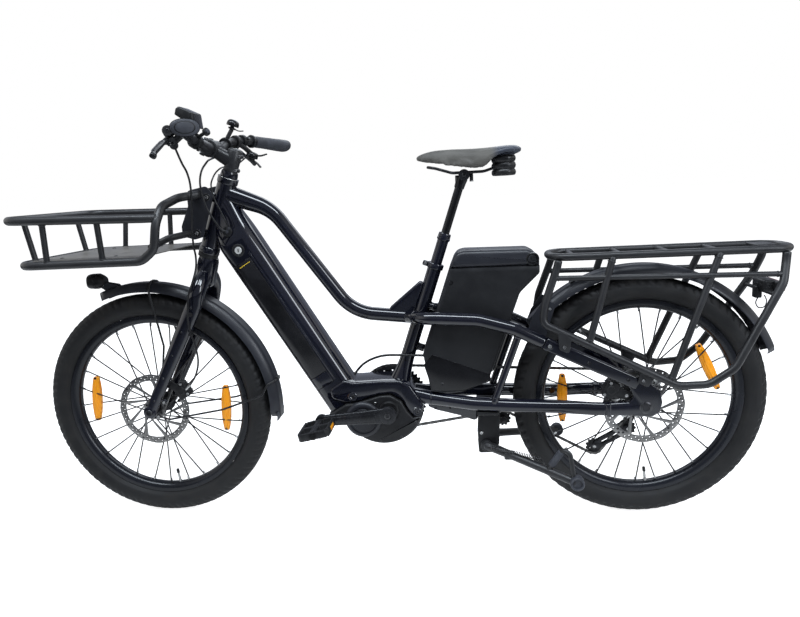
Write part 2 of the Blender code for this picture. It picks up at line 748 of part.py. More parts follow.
# Display with its button stalk, on one clamp left of the stem
display_clamp, display_root, _ = clamp(-1, 0.092, 0.0185, 0.016)
DISPLAY_CENTRE = Vector((BAR_X - 0.034, -0.092, BAR_Z + 0.056))
DISPLAY_HALF = 0.028
DISPLAY_SIDE = [(-0.030, 0.013), (-0.024, 0.022), (0.012, 0.019), (0.028, -0.014), (0.006, -0.010), (-0.006, 0.004)]
STALK_ROOT = display_root + Vector((0.004, -0.004, 0.010))
STALK_TIP = display_root + Vector((0.026, -0.016, 0.030))
STALK_LINE = (STALK_TIP - STALK_ROOT).normalized()
display = cut(
    join(
        slab([(DISPLAY_CENTRE.x + x, DISPLAY_CENTRE.z + z) for x, z in DISPLAY_SIDE],
             DISPLAY_CENTRE.y - DISPLAY_HALF, DISPLAY_CENTRE.y + DISPLAY_HALF),
        rod(display_root, DISPLAY_CENTRE, 0.0065, sides=10),
        display_clamp,
        rod(STALK_ROOT, STALK_TIP, 0.0042, sides=10),
        rod(STALK_TIP - STALK_LINE * 0.004, STALK_TIP + STALK_LINE * 0.005, 0.0095, sides=12),
    ),
    bar_solid(GAP),
    rod(STALK_TIP + STALK_LINE * 0.001, STALK_TIP + STALK_LINE * 0.010, 0.0063, sides=12),
)
part("display", display, PLASTIC, steering)
button = rod(STALK_TIP + STALK_LINE * 0.0035, STALK_TIP + STALK_LINE * 0.0085, 0.0059, sides=12)
part("remote_button", button, GRIP_RUBBER, steering, STALK_TIP)

# Bell on the right of the stem, with its striker lever
bell_clamp, bell_root, _ = clamp(1, 0.105, 0.0180, 0.012)
BELL_CENTRE = bell_root + Vector((0.004, 0.006, 0.056))
bell = cut(
    join(
        rod(bell_root, BELL_CENTRE - Vector((0, 0, 0.0165)), 0.0058, sides=10),
        rod(BELL_CENTRE - Vector((0, 0, 0.0200)), BELL_CENTRE, 0.0058, sides=10),
        bell_clamp,
        rod(BELL_CENTRE - Vector((0, 0, 0.004)), BELL_CENTRE + Vector((0, 0, 0.005)), 0.0165, sides=12),
        rod(BELL_CENTRE + Vector((0, 0, 0.005)), BELL_CENTRE + Vector((0, 0, 0.014)), 0.0165, 0.0080, sides=12),
    ),
    bar_solid(GAP),
)
part("bell", bell, DARK_STEEL, steering)
BELL_PIVOT = BELL_CENTRE + Vector((0.0, 0.0, -0.010))
striker = cut(
    join(
        rod(BELL_PIVOT - Vector((0, 0, 0.0025)), BELL_PIVOT + Vector((0, 0, 0.0025)), 0.0095, sides=12),
        oval_rod(BELL_PIVOT, BELL_PIVOT + Vector((0.030, 0.004, 0.002)), (0.003, 0.006), (0.002, 0.009), sides=6),
    ),
    rod(BELL_PIVOT - Vector((0, 0, 0.01)), BELL_PIVOT + Vector((0, 0, 0.01)), 0.0058 + RUNNING_GAP, sides=12),
)
part("bell_lever", striker, PLASTIC, steering, BELL_PIVOT)

# Brake lever bodies and blades, one for each hand
LEVER_Y = 0.186
LEVER_LENGTH = 0.118
LEVER_DROP = Vector((-0.0225, 0.0, -0.0345))
CYLINDER_DROP = Vector((-0.0380, 0.0, -0.0150))


LEVER_PIN_HALF = 0.0050
EAR_THICKNESS = 0.0032
EAR_OFFSET = LEVER_PIN_HALF + GAP + EAR_THICKNESS / 2


def lever_pivot(side):
    """The lever's pivot point, the bar's line and the pivot's axis."""
    root, line = bar_point(side, LEVER_Y)
    axis = line.cross(Vector((0.365, 0.0, 0.931))).normalized()
    return root + LEVER_DROP + line * 0.0315 + Vector((-0.0090, 0.0, -0.0060)), line, axis


def lever_body(side):
    ring_piece, root, line = clamp(side, LEVER_Y, 0.0172, 0.013)
    bore_start = root + LEVER_DROP - line * 0.036
    bore_end = root + LEVER_DROP + line * 0.018
    pieces = [
        ring_piece,
        oval_rod(root, root + LEVER_DROP, (0.014, 0.012), (0.018, 0.016), sides=8),
        rod(bore_start, bore_end, 0.0100, 0.0085, sides=10),
        rod(root + CYLINDER_DROP - line * 0.014, root + CYLINDER_DROP + line * 0.022, 0.0120, sides=10),
        oval_rod(root, root + CYLINDER_DROP, (0.012, 0.012), (0.016, 0.016), sides=8),
        oval_rod(root + CYLINDER_DROP, root + LEVER_DROP, (0.014, 0.014), (0.014, 0.014), sides=8),
    ]
    pivot, _, axis = lever_pivot(side)
    base = root + LEVER_DROP + line * 0.010
    level = (pivot - base) - axis * axis.dot(pivot - base)
    for way in (-1, 1):
        ear = pivot + axis * way * EAR_OFFSET
        ear_root = ear - level
        pieces.append(rod(base, ear_root + level * 0.05, 0.0040, sides=8))
        pieces.append(box((-0.0050, -EAR_THICKNESS / 2, 0), (0.0050, EAR_THICKNESS / 2, (ear - ear_root).length), along(ear_root, ear, axis)))
        pieces.append(rod(ear - axis * EAR_THICKNESS / 2, ear + axis * EAR_THICKNESS / 2, 0.0062, sides=10))
    return pieces, root, line


def brake_lever(side, name):
    pivot, line, axis = lever_pivot(side)
    blade = [pivot, pivot + line * 0.030 + Vector((-0.004, 0, -0.008)),
             pivot + line * (LEVER_LENGTH - 0.020) + Vector((-0.008, 0, -0.042)),
             pivot + line * LEVER_LENGTH + Vector((-0.006, 0, -0.054))]
    pin = rod(pivot - axis * LEVER_PIN_HALF, pivot + axis * LEVER_PIN_HALF, 0.0062, sides=10)
    arm = tube(bent(blade, 0.03, 2), 0.0048, resolution=1)
    part(name, join(pin, arm), DARK_STEEL, steering, pivot)


pieces, _, _ = lever_body(-1)
part("brake_body_left", cut(join(*pieces), bar_solid(GAP)), PLASTIC, steering)
brake_lever(-1, "brake_lever_left")

pieces, root_right, line_right = lever_body(1)
shift_ring, shift_root, _ = clamp(1, 0.160, 0.0172, 0.012)
POD_CENTRE = shift_root + Vector((0.044, 0.035, -0.025))
BRIDGE = Vector((-0.0145, 0.0, 0.0))
pieces += [
    shift_ring,
    oval_rod(shift_root, POD_CENTRE + Vector((-0.004, 0, 0.005)), (0.014, 0.014), (0.016, 0.016), sides=8),
    rod(POD_CENTRE + Vector((0, 0, -0.006)), POD_CENTRE + Vector((0, 0, 0.010)), 0.0170, 0.0135, sides=12),
    rod(shift_root + BRIDGE, root_right + BRIDGE, 0.0050, sides=8),
    oval_rod(POD_CENTRE + Vector((0.010, 0.002, 0.004)), POD_CENTRE + Vector((0.038, 0.006, 0.018)), (0.006, 0.010), (0.004, 0.018), sides=8),
]
part("brake_body_right", cut(join(*pieces), bar_solid(GAP)), PLASTIC, steering)
brake_lever(1, "brake_lever_right")
SHIFT_PIVOT = POD_CENTRE + Vector((0.0, 0.0, -0.0100))
thumb = join(
    rod(SHIFT_PIVOT - Vector((0, 0, 0.0030)), SHIFT_PIVOT + Vector((0, 0, 0.0030)), 0.0105, sides=12),
    oval_rod(SHIFT_PIVOT, SHIFT_PIVOT + Vector((0.032, 0.004, -0.014)), (0.004, 0.012), (0.004, 0.020), sides=8),
)
part("shift_lever", thumb, PLASTIC, steering, SHIFT_PIVOT)


# Main frame
DOWN_HALF = DOWN_TUBE_DEPTH / 2
DOWN_TUBE_HEAD = HEAD_BOTTOM + STEER_UP * 0.1154
DOWN_TUBE_FOOT = CRANK_AXIS + Vector((-0.151, 0.0, 0.0675))
DOWN_LENGTH = (DOWN_TUBE_FOOT - DOWN_TUBE_HEAD).length
DOWN_OVERRUN = 0.060
NECK_LENGTH = 0.098
NECK_NARROWING = 0.56
BATTERY_START = DOWN_LENGTH - BATTERY_LENGTH - 0.008
LOCK_SEAT = 0.115
BOSS_X = -0.028
BOSS_LOW = 0.047
BOSS_SPACING = 0.0975
BOSS_HALF = 0.0365
TOP_TUBE_HEAD = HEAD_BOTTOM + STEER_UP * 0.163
TOP_TUBE_NECK = TOP_TUBE_HEAD + Vector((0.1214, 0.0, -0.0461))
TOP_TUBE_SEAT = SEAT_FOOT + SEAT_UP * 0.212
TOP_TUBE_STEP = TOP_TUBE_SEAT + Vector((-0.1764, 0.0, 0.0188))
POST_FOOT = 0.106
TWIN_Y = 0.0645
TWIN_END = Vector((0.4080, 0.0685, 0.4870))
CHAINSTAY_END = 0.555
SHELL_LEFT = -0.047
SHELL_RIGHT = 0.0455
SHELL = [
    (-0.150, 0.368), (-0.112, 0.392), (-0.087, 0.385), (-0.015, 0.3885), (0.038, 0.3875), (0.0640, 0.3735),
    (0.086, 0.338), (0.095, 0.309), (0.088, 0.292), (0.070, 0.287), (0.055, 0.306), (0.040, 0.335),
    (0.010, 0.352), (-0.018, 0.351), (-0.049, 0.342), (-0.080, 0.332), (-0.110, 0.328), (-0.150, 0.342),
]

# The down tube's own frame: Z runs down the tube, X points to its lower, front edge
DOWN_FRAME = along(DOWN_TUBE_HEAD, DOWN_TUBE_FOOT)


def steer_point(x, y, z):
    """A point of the steering frame, in the bike's own coordinates."""
    return HEAD_BOTTOM + STEER_BACK * x + Vector((0.0, y, 0.0)) + STEER_UP * z


def in_steering(x, y, z):
    """A point of the bike's own coordinates, in the steering frame."""
    away = Vector((x, 0.0, z)) - HEAD_BOTTOM
    return Vector((away.dot(STEER_BACK), y, away.dot(STEER_UP)))


def down_tube(margin=0.0):
    """The tube's outline as a rounded box, moved outwards by the margin."""
    return box(
        (-DOWN_HALF - margin, -DOWN_TUBE_WIDTH / 2 - margin, NECK_LENGTH),
        (DOWN_HALF + margin, DOWN_TUBE_WIDTH / 2 + margin, DOWN_LENGTH + DOWN_OVERRUN + margin),
        DOWN_FRAME, DOWN_TUBE_CORNER, 3, "Z",
    )


def down_tube_neck():
    """The tube's head end, which narrows towards the head tube."""
    neck = box((-DOWN_HALF, -DOWN_TUBE_WIDTH / 2, -0.050), (DOWN_HALF, DOWN_TUBE_WIDTH / 2, NECK_LENGTH + 0.0001), None, DOWN_TUBE_CORNER, 3, "Z")
    for vert in neck.data.vertices:
        if vert.co.z < 0:
            vert.co.y *= NECK_NARROWING
            vert.co.x = vert.co.x * 0.97
    neck.data.transform(DOWN_FRAME)
    ahead = box((-0.20, -0.10, -0.20), (-0.008, 0.10, 0.40))
    ahead.data.transform(Matrix.Translation(HEAD_BOTTOM) @ Matrix.Rotation(math.radians(90.0 - HEAD_ANGLE), 4, "Y"))
    above = box((-0.20, -0.10, HEAD_TUBE_LENGTH - 0.004), (0.20, 0.10, 0.40))
    above.data.transform(Matrix.Translation(HEAD_BOTTOM) @ Matrix.Rotation(math.radians(90.0 - HEAD_ANGLE), 4, "Y"))
    below = box((-0.20, -0.10, -0.20), (0.030, 0.10, 0.004))
    below.data.transform(Matrix.Translation(HEAD_BOTTOM) @ Matrix.Rotation(math.radians(90.0 - HEAD_ANGLE), 4, "Y"))
    return cut(neck, ahead, above, below)


def battery_room(margin=0.0):
    """The battery's place in the down tube: open to the left and along the lower edge."""
    return box(
        (DOWN_HALF - BATTERY_DEPTH + margin, -DOWN_TUBE_WIDTH / 2 - 0.020, BATTERY_START + margin),
        (DOWN_HALF + 0.020, -DOWN_TUBE_WIDTH / 2 + BATTERY_WIDTH - margin, BATTERY_START + BATTERY_LENGTH - margin),
        DOWN_FRAME,
    )


def main_lock_bore(extra, reach):
    """The lock's cylinder in the tube's left side."""
    left = -DOWN_TUBE_WIDTH / 2
    seat = DOWN_FRAME @ Vector((0.004, left + 0.014, LOCK_SEAT))
    face = DOWN_FRAME @ Vector((0.004, left - reach, LOCK_SEAT))
    return rod(seat + Vector((0, extra, 0)), face, LOCK_RADIUS + extra, sides=16)


def chainstay(side):
    path = bent(
        [(0.062, side * 0.018, 0.343), (0.112, side * 0.024, 0.333), (0.230, side * 0.058, 0.3265),
         (0.330, side * 0.0625, 0.3220), (0.440, side * 0.0640, 0.3180)], 0.15, 2)
    waist = (0.430, side * 0.0638, 0.3184)
    hip = (0.520, side * 0.0765, 0.3155)
    end = (CHAINSTAY_END + 0.010, side * 0.0791, 0.3149)
    full = 2 * STAY_RADIUS
    return [
        tube(path, STAY_RADIUS, resolution=1),
        oval_rod(waist, hip, (full, full), (full, 0.024), sides=12),
        oval_rod(hip, end, (full, 0.024), (full, 0.021), sides=12),
    ]


def twin_tube(side):
    seat = TOP_TUBE_SEAT
    path = bent(
        [seat + Vector((-0.030, side * 0.004, 0.003)), seat + Vector((0.012, side * TWIN_Y * 0.86, 0.008)),
         seat + Vector((0.060, side * TWIN_Y, 0.008)), (0.245, side * (TWIN_Y + 0.002), 0.5495),
         (0.335, side * (TWIN_Y + 0.003), 0.5235), (TWIN_END.x, side * TWIN_END.y, TWIN_END.z)], 0.10, 2)
    return tube(path, TWIN_TUBE_RADIUS, resolution=1)


def main_frame():
    head = rod(HEAD_BOTTOM, steer_point(0, 0, HEAD_TUBE_LENGTH), HEAD_TUBE_RADIUS, sides=16)
    pieces = [
        rod(HEAD_BOTTOM, steer_point(0, 0, 0.016), HEAD_TUBE_RADIUS + 0.002, sides=16),
        rod(steer_point(0, 0, HEAD_TUBE_LENGTH - 0.016), steer_point(0, 0, HEAD_TUBE_LENGTH), HEAD_TUBE_RADIUS + 0.002, sides=16),
        join(down_tube_neck(), down_tube()),
        slab(SHELL, SHELL_LEFT, SHELL_RIGHT),
        rod(SEAT_FOOT + SEAT_UP * 0.022, SEAT_FOOT + SEAT_UP * 0.080, 0.0275, SEAT_TUBE_RADIUS, sides=16),
        rod(SEAT_FOOT + SEAT_UP * 0.040, SEAT_FOOT + SEAT_UP * SEAT_TUBE_LENGTH, SEAT_TUBE_RADIUS, sides=16),
        rod(SEAT_FOOT + SEAT_UP * (SEAT_TUBE_LENGTH - 0.014), SEAT_FOOT + SEAT_UP * SEAT_TUBE_LENGTH, 0.0215, sides=16),
        box((-0.034, -0.009, -0.012), (-0.012, 0.009, -0.001), along(SEAT_FOOT + SEAT_UP * SEAT_TUBE_LENGTH, SEAT_FOOT + SEAT_UP)),
        slab([(0.006, 0.552), (0.018, 0.578), (0.116, 0.657), (0.120, 0.600), (0.096, 0.548)], -0.011, 0.011),
    ]
    neck = bent([TOP_TUBE_HEAD, TOP_TUBE_NECK, TOP_TUBE_STEP, TOP_TUBE_SEAT], 0.12, 3)
    pieces.append(tube(neck, TOP_TUBE_RADIUS, resolution=1, radii=[1.4, 1.22, 1.12, 1.05] + [1.0] * (len(neck) - 4)))
    for z in (BOSS_LOW, BOSS_LOW + BOSS_SPACING):
        pieces.append(rod(steer_point(BOSS_X, -BOSS_HALF, z), steer_point(BOSS_X, BOSS_HALF, z), 0.0115, sides=8))
    for height in (0.135, 0.250):
        foot = SEAT_FOOT + SEAT_UP * height
        pieces.append(rod(foot, foot + SEAT_ACROSS * (CASE_OFFSET - GAP), 0.0100, sides=8))
    for side in (-1, 1):
        pieces += chainstay(side)
        pieces.append(twin_tube(side))
        pieces.append(rod((0.347, side * 0.0690, 0.5180), (0.279, side * 0.0680, 0.3300), STRUT_RADIUS, sides=8))
    pieces.append(rod(DOWN_FRAME @ Vector((0.000, -DOWN_TUBE_WIDTH / 2 - 0.0030, 0.060)),
                      DOWN_FRAME @ Vector((0.000, -DOWN_TUBE_WIDTH / 2 + 0.0080, 0.060)), 0.0120, sides=12))
    solid = join(head, *pieces)
    post_bore = rod(SEAT_FOOT + SEAT_UP * (SEAT_TUBE_LENGTH - POST_FOOT - GAP), SEAT_FOOT + SEAT_UP * (SEAT_TUBE_LENGTH + 0.02),
                    POST_RADIUS + GAP * 1.5, sides=16)
    head_bore = rod(steer_point(0, 0, -0.02), steer_point(0, 0, HEAD_TUBE_LENGTH + 0.02), STEERER_RADIUS + 0.0022, sides=16)
    twin_end = box((TWIN_END.x - 0.0015, -0.1, 0.40), (0.6, 0.1, 0.56))
    stay_end = box((CHAINSTAY_END, -0.12, 0.28), (CHAINSTAY_END + 0.05, 0.12, 0.35))
    return cut(solid, post_bore, head_bore, twin_end, stay_end, battery_room(), main_lock_bore(RUNNING_GAP, 0.010))


# The rear battery's own directions: along the seat tube, and square to it to the rear
SEAT_ACROSS = Vector((SEAT_UP.z, 0.0, -SEAT_UP.x))
CASE_OFFSET = 0.0362
CASE_FRONT = SEAT_FOOT + SEAT_ACROSS * CASE_OFFSET + SEAT_UP * 0.108
SEAM = 0.6780
part("main_frame", main_frame(), GLOSS_FRAME, bicycle)

# Main battery and its lock
part("main_battery", common(down_tube(), battery_room(GAP)), CASE_PLASTIC, bicycle)
lock = cut(
    main_lock_bore(0.0, 0.0012),
    box((-0.0012, -DOWN_TUBE_WIDTH / 2 - 0.010, -0.0045), (0.0012, -DOWN_TUBE_WIDTH / 2 + 0.003, 0.0045),
        Matrix.Translation(DOWN_FRAME @ Vector((0.004, 0.0, LOCK_SEAT)))),
)
part("main_lock", lock, DARK_STEEL, bicycle, DOWN_FRAME @ Vector((0.004, -DOWN_TUBE_WIDTH / 2, LOCK_SEAT)))

# Motor under the arch of the frame
CLUTCH_CENTRE = CRANK_AXIS + Vector((-0.070, 0.0, -0.024))
MOTOR_LEFT = -0.0400
COVER_LEFT = -0.0540


def motor_outline(radius):
    """The motor's round belly, closed by points that lie inside the frame's arch."""
    arc = [
        (MOTOR_AXIS.x + radius * math.cos(math.radians(a)), MOTOR_AXIS.z + radius * math.sin(math.radians(a)))
        for a in range(-10, -151, -14)
    ]
    return arc + [(-0.128, 0.281), (-0.157, 0.290), (-0.166, 0.302), (-0.120, 0.350), (-0.060, 0.375), (0.010, 0.380), (0.058, 0.350)]


def motor():
    casing = join(
        slab(motor_outline(MOTOR_RADIUS), MOTOR_LEFT, SHELL_RIGHT),
        slab(motor_outline(MOTOR_RADIUS - 0.005), COVER_LEFT, MOTOR_LEFT + 0.001),
        rod(CLUTCH_CENTRE + Vector((0, -0.0620, 0)), CLUTCH_CENTRE + Vector((0, -0.0500, 0)), CLUTCH_RADIUS - 0.004, CLUTCH_RADIUS, sides=16),
        rod(CRANK_AXIS + Vector((0, -0.0600, 0)), CRANK_AXIS + Vector((0, -0.0500, 0)), 0.0230, 0.0260, sides=16),
    )
    return cut(
        casing,
        slab(grown(SHELL, GAP), SHELL_LEFT - 0.05, SHELL_RIGHT + 0.05),
        down_tube(GAP),
        rod(CRANK_AXIS + Vector((0, -0.09, 0)), CRANK_AXIS + Vector((0, 0.09, 0)), 0.0128, sides=16),
        rod(CLUTCH_CENTRE + Vector((0, -0.0700, 0)), CLUTCH_CENTRE + Vector((0, -0.0585, 0)), CLUTCH_RADIUS * 0.74, sides=16),
    )


part("motor", motor(), PLASTIC, bicycle)

# Rear battery in its case
def case_point(across, up):
    point = CASE_FRONT + SEAT_ACROSS * across + SEAT_UP * up
    return (point.x, point.z)


CASE_DEPTH = 0.1820
CASE_HALF = REAR_CASE_WIDTH / 2
CASE_SHOULDER = 0.2070
CASE_BACK = 0.4000
seam_front = CASE_FRONT + SEAT_UP * ((SEAM - CASE_FRONT.z) / SEAT_UP.z)
foot_front = (CASE_FRONT.x + 0.024, CASE_FRONT.z - 0.080)
case_outline = [
    foot_front, case_point(0.0, 0.022), (seam_front.x, SEAM - GAP / 2), (CASE_BACK, SEAM - GAP / 2), (CASE_BACK, SEAM - 0.019),
    (CASE_BACK - 0.049, SEAM - 0.067), case_point(CASE_DEPTH + 0.0035, CASE_SHOULDER), case_point(CASE_DEPTH, 0.002),
    (0.203, foot_front[1] - 0.003), (0.156, foot_front[1] - 0.004),
]


def cell_outline(margin):
    """The room for the battery's block, which slides along the seat tube's direction."""
    front = REAR_CASE_WALL + margin
    back = CASE_DEPTH - REAR_CASE_WALL - margin
    floor = 0.018 + margin
    return [case_point(front, floor), case_point(front, 0.330), case_point(back, 0.390), case_point(back, floor)]


case_body = slab(case_outline, -CASE_HALF, CASE_HALF)
front_bevels = [
    box((-0.030, -0.0085, -0.05), (0.030, 0.0085, 0.40),
        along((CASE_FRONT.x, side * CASE_HALF, CASE_FRONT.z),
              (CASE_FRONT.x + SEAT_UP.x, side * CASE_HALF, CASE_FRONT.z + SEAT_UP.z), (-0.7, side * 0.7, 0.0)))
    for side in (-1, 1)
]
case_body = cut(
    case_body, *front_bevels,
    slab(cell_outline(-0.0006), -CASE_HALF + REAR_CASE_WALL, CASE_HALF - REAR_CASE_WALL),
)
rail = slab([case_point(CASE_DEPTH - 0.002, 0.010), case_point(CASE_DEPTH - 0.002, 0.190),
             case_point(CASE_DEPTH + 0.010, 0.185), case_point(CASE_DEPTH + 0.010, 0.030)], -0.012, 0.012)
part("rear_battery_case", join(case_body, rail), CASE_PLASTIC, bicycle)

cap_outline = [
    (seam_front.x, SEAM + GAP / 2), (seam_front.x + 0.013, SEAM + 0.030), (seam_front.x + 0.021, SEAM + 0.040),
    (seam_front.x + 0.034, SEAM + 0.044), (CASE_BACK - 0.026, SEAM + 0.042), (CASE_BACK - 0.008, SEAM + 0.032),
    (CASE_BACK, SEAM + 0.015), (CASE_BACK, SEAM + GAP / 2),
]
cap = slab(cap_outline, -CASE_HALF, CASE_HALF)
top_bevels = [
    box((-0.030, -0.0080, -0.05), (0.030, 0.0080, 0.40),
        along((seam_front.x, side * CASE_HALF, SEAM + 0.0445), (CASE_BACK, side * CASE_HALF, SEAM + 0.0425), (0.0, side * 0.7, 0.7)))
    for side in (-1, 1)
]
REAR_LOCK = Vector((CASE_BACK - 0.017, -CASE_HALF, SEAM + 0.017))
cell = common(
    slab(cell_outline(0.0), -CASE_HALF + REAR_CASE_WALL + 0.0006, CASE_HALF - REAR_CASE_WALL - 0.0006),
    box((0.05, -0.1, 0.30), (0.45, 0.1, SEAM + 0.006)),
)
rear_battery = cut(
    join(cap, cell),
    rod(REAR_LOCK - Vector((0, 0.005, 0)), REAR_LOCK + Vector((0, 0.0144, 0)), LOCK_RADIUS + RUNNING_GAP, sides=16),
    box((seam_front.x + 0.060, -0.030, SEAM + 0.034), (CASE_BACK - 0.060, 0.030, SEAM + 0.060), None, 0.010, 2, "Z"),
    *top_bevels,
)
part("rear_battery", rear_battery, CASE_PLASTIC, bicycle)
lock = cut(
    rod(REAR_LOCK - Vector((0, 0.0012, 0)), REAR_LOCK + Vector((0, 0.0140, 0)), LOCK_RADIUS, sides=16),
    box((-0.0012, -0.010, -0.0045), (0.0012, 0.003, 0.0045), Matrix.Translation(REAR_LOCK)),
)
part("rear_lock", lock, DARK_STEEL, bicycle, REAR_LOCK)


# Rear frame sides: stay, casting and dropout
STAY_START = Vector((TWIN_END.x - 0.0015 + GAP, 0.0, 0.4885))
STAY_END = Vector((0.630, 0.0, 0.3800))
STAY_INNER = 0.0700
STAY_WIDTH = 0.0170
DROP_INNER = REAR_HUB_WIDTH / 2 + GAP


def rear_side(side):
    low = min(side * STAY_INNER, side * (STAY_INNER + STAY_WIDTH))
    stay_frame = along(STAY_START, STAY_END)
    length = (STAY_END - STAY_START).length
    stay = box((-0.016, low, -0.03), (0.016, low + STAY_WIDTH, length), stay_frame, 0.005, 1, "Z")
    inner = min(side * DROP_INNER, side * (DROP_INNER + DROPOUT_THICKNESS))
    plate = slab(
        [(0.618, 0.297), (0.668, 0.2950), (0.684, 0.305), (0.690, 0.330), (0.684, 0.362), (0.655, 0.385),
         (0.600, 0.408), (0.588, 0.392), (0.612, 0.368), (0.622, 0.345), (0.608, 0.330)],
        inner, inner + DROPOUT_THICKNESS)
    arm = oval_rod((CHAINSTAY_END - 0.010, side * 0.0785, 0.3150), (0.640, side * 0.0795, 0.3145), (0.034, 0.021), (0.036, 0.0100), sides=12)
    bolt = rod((0.4175, side * (STAY_INNER + 0.002), 0.4820), (0.4175, side * (STAY_INNER + STAY_WIDTH + 0.003), 0.4820), 0.0080, sides=12)
    solid = join(stay, plate, arm, bolt)
    tools = [
        rod((REAR_AXLE.x, side * 0.05, REAR_AXLE.z), (REAR_AXLE.x, side * 0.12, REAR_AXLE.z), AXLE_STUB_RADIUS + RUNNING_GAP, sides=12),
        box((0.3, -0.2, 0.3), (STAY_START.x, 0.2, 0.6)),
        box((0.60, -DROP_INNER, 0.28), (0.72, DROP_INNER, 0.42)),
        box((CHAINSTAY_END - 0.05, -0.12, 0.28), (CHAINSTAY_END + GAP, 0.12, 0.35)),
    ]
    return cut(solid, *tools)


part("rear_frame_left", rear_side(-1), GLOSS_FRAME, bicycle)
part("rear_frame_right", rear_side(1), GLOSS_FRAME, bicycle)


# Seat post: fixed tube, sliding tube with the saddle's clamp, rails and saddle
def seat_point(height, across=0.0, y=0.0):
    return SEAT_FOOT + SEAT_UP * height + SEAT_ACROSS * across + Vector((0, y, 0))


POST_TOP = SEAT_TUBE_LENGTH + POST_STANDOUT
POST_TRAVEL = 0.120
INNER_FOOT = POST_TOP - 0.052
outer = cut(
    join(
        rod(seat_point(SEAT_TUBE_LENGTH - POST_FOOT), seat_point(POST_TOP), POST_RADIUS, sides=16),
        rod(seat_point(POST_TOP - 0.018), seat_point(POST_TOP), 0.0170, 0.0155, sides=16),
    ),
    rod(seat_point(INNER_FOOT - POST_TRAVEL - 0.002), seat_point(POST_TOP + 0.01), STANCHION_RADIUS + RUNNING_GAP, sides=16),
)
part("seatpost_outer", outer, MATTE_BLACK, bicycle)
HEAD_TOP = POST_TOP + STANCHION_STANDOUT
RAIL_Z = 0.9120
RAIL_Y = 0.0215
RAIL_RADIUS = 0.0035


def rails(extra=0.0):
    half = [(0.338, 0.036, 0.9225), (0.306, 0.032, 0.9225), (0.270, RAIL_Y, RAIL_Z), (0.192, RAIL_Y, RAIL_Z), (0.150, 0.0170, 0.9255),
            (0.132, 0.0090, 0.9290)]
    left = [Vector((x, -y, z)) for x, y, z in half]
    right = [Vector((x, y, z)) for x, y, z in reversed(half)]
    return tube(bent(left + right, 0.03, 2), RAIL_RADIUS + extra, resolution=1)


clamp_centre = seat_point(HEAD_TOP, 0.004)
inner_post = cut(
    join(
        rod(seat_point(INNER_FOOT), seat_point(HEAD_TOP), STANCHION_RADIUS, sides=16),
        rod(seat_point(HEAD_TOP - 0.030), clamp_centre + Vector((0, 0, -0.002)), 0.0125, 0.0150, sides=16),
        rod(clamp_centre + Vector((0, -0.0300, 0.004)), clamp_centre + Vector((0, 0.0300, 0.004)), 0.0140, sides=16),
        rod(clamp_centre + Vector((-0.018, 0.0, -0.014)), clamp_centre + Vector((-0.018, 0.0, 0.004)), 0.0045, sides=10),
    ),
    rails(GAP),
)
part("seatpost_inner", inner_post, DARK_STEEL, bicycle)


def bellows(side):
    """A stack of rubber folds between the rails and the saddle."""
    foot = Vector((0.3185, side * 0.040, 0.8990))
    fold = 0.0160
    profile = [(0.0, 0.0)]
    for index in range(3):
        profile += [(0.0225, index * fold + 0.0004), (0.0275, index * fold + fold / 2), (0.0225, (index + 1) * fold - 0.0004)]
    profile.append((0.0, 3 * fold))
    stack = frozen(turned(profile, (0, 0, 0), 8, closed=False))
    stack.data.transform(Matrix.Translation(foot) @ Matrix.Rotation(math.pi / 2, 4, "X"))
    return stack


part("saddle_rails", join(rails(), bellows(-1), bellows(1)), DARK_STEEL, bicycle)

# Stations of the saddle from nose to tail: x, half width, top, lower edge, underside
SADDLE_STATIONS = [
    (0.000, 0.012, 0.9550, 0.9400, 0.9450),
    (0.012, 0.023, 0.9630, 0.9350, 0.9420),
    (0.045, 0.029, 0.9680, 0.9310, 0.9420),
    (0.095, 0.035, 0.9685, 0.9240, 0.9420),
    (0.140, 0.052, 0.9670, 0.9170, 0.9440),
    (0.172, 0.070, 0.9670, 0.9180, 0.9500),
    (0.194, 0.080, 0.9675, 0.9400, 0.9520),
    (0.222, 0.089, 0.9690, 0.9500, 0.9520),
    (0.248, 0.083, 0.9680, 0.9505, 0.9520),
    (0.258, 0.062, 0.9610, 0.9515, 0.9520),
]
SADDLE_NOSE = 0.1020
SADDLE_RIB = [(0.0, 1.00), (0.50, 0.99), (0.87, 0.84), (1.02, 0.42), (0.94, 0.0)]


def saddle():
    """A coarse cage of stations, smoothed."""
    bm = bmesh.new()
    rings = []
    scale = SADDLE_LENGTH / SADDLE_STATIONS[-1][0]
    wide = SADDLE_WIDTH / 2 / 0.089
    for x, half, top, edge, under in SADDLE_STATIONS:
        right = [(half * wide * out, edge + (top - edge) * up) for out, up in SADDLE_RIB]
        right.append((half * wide * 0.55, under))
        loop = [(y, z) for y, z in right] + [(0.0, under)] + [(-y, z) for y, z in reversed(right[1:])]
        rings.append([bm.verts.new((SADDLE_NOSE + x * scale, y, z)) for y, z in loop])
    for low, high in zip(rings, rings[1:]):
        for index in range(len(low)):
            after = (index + 1) % len(low)
            bm.faces.new((low[index], low[after], high[after], high[index]))
    bm.faces.new(rings[0])
    bm.faces.new(list(reversed(rings[-1])))
    bmesh.ops.recalc_face_normals(bm, faces=bm.faces)
    thing = from_bmesh(bm)
    smoothing = thing.modifiers.new("smooth", "SUBSURF")
    smoothing.levels = 1
    smoothing.render_levels = 1
    return frozen(thing)


part("saddle", saddle(), SADDLE_SKIN, bicycle, sharp=60.0)


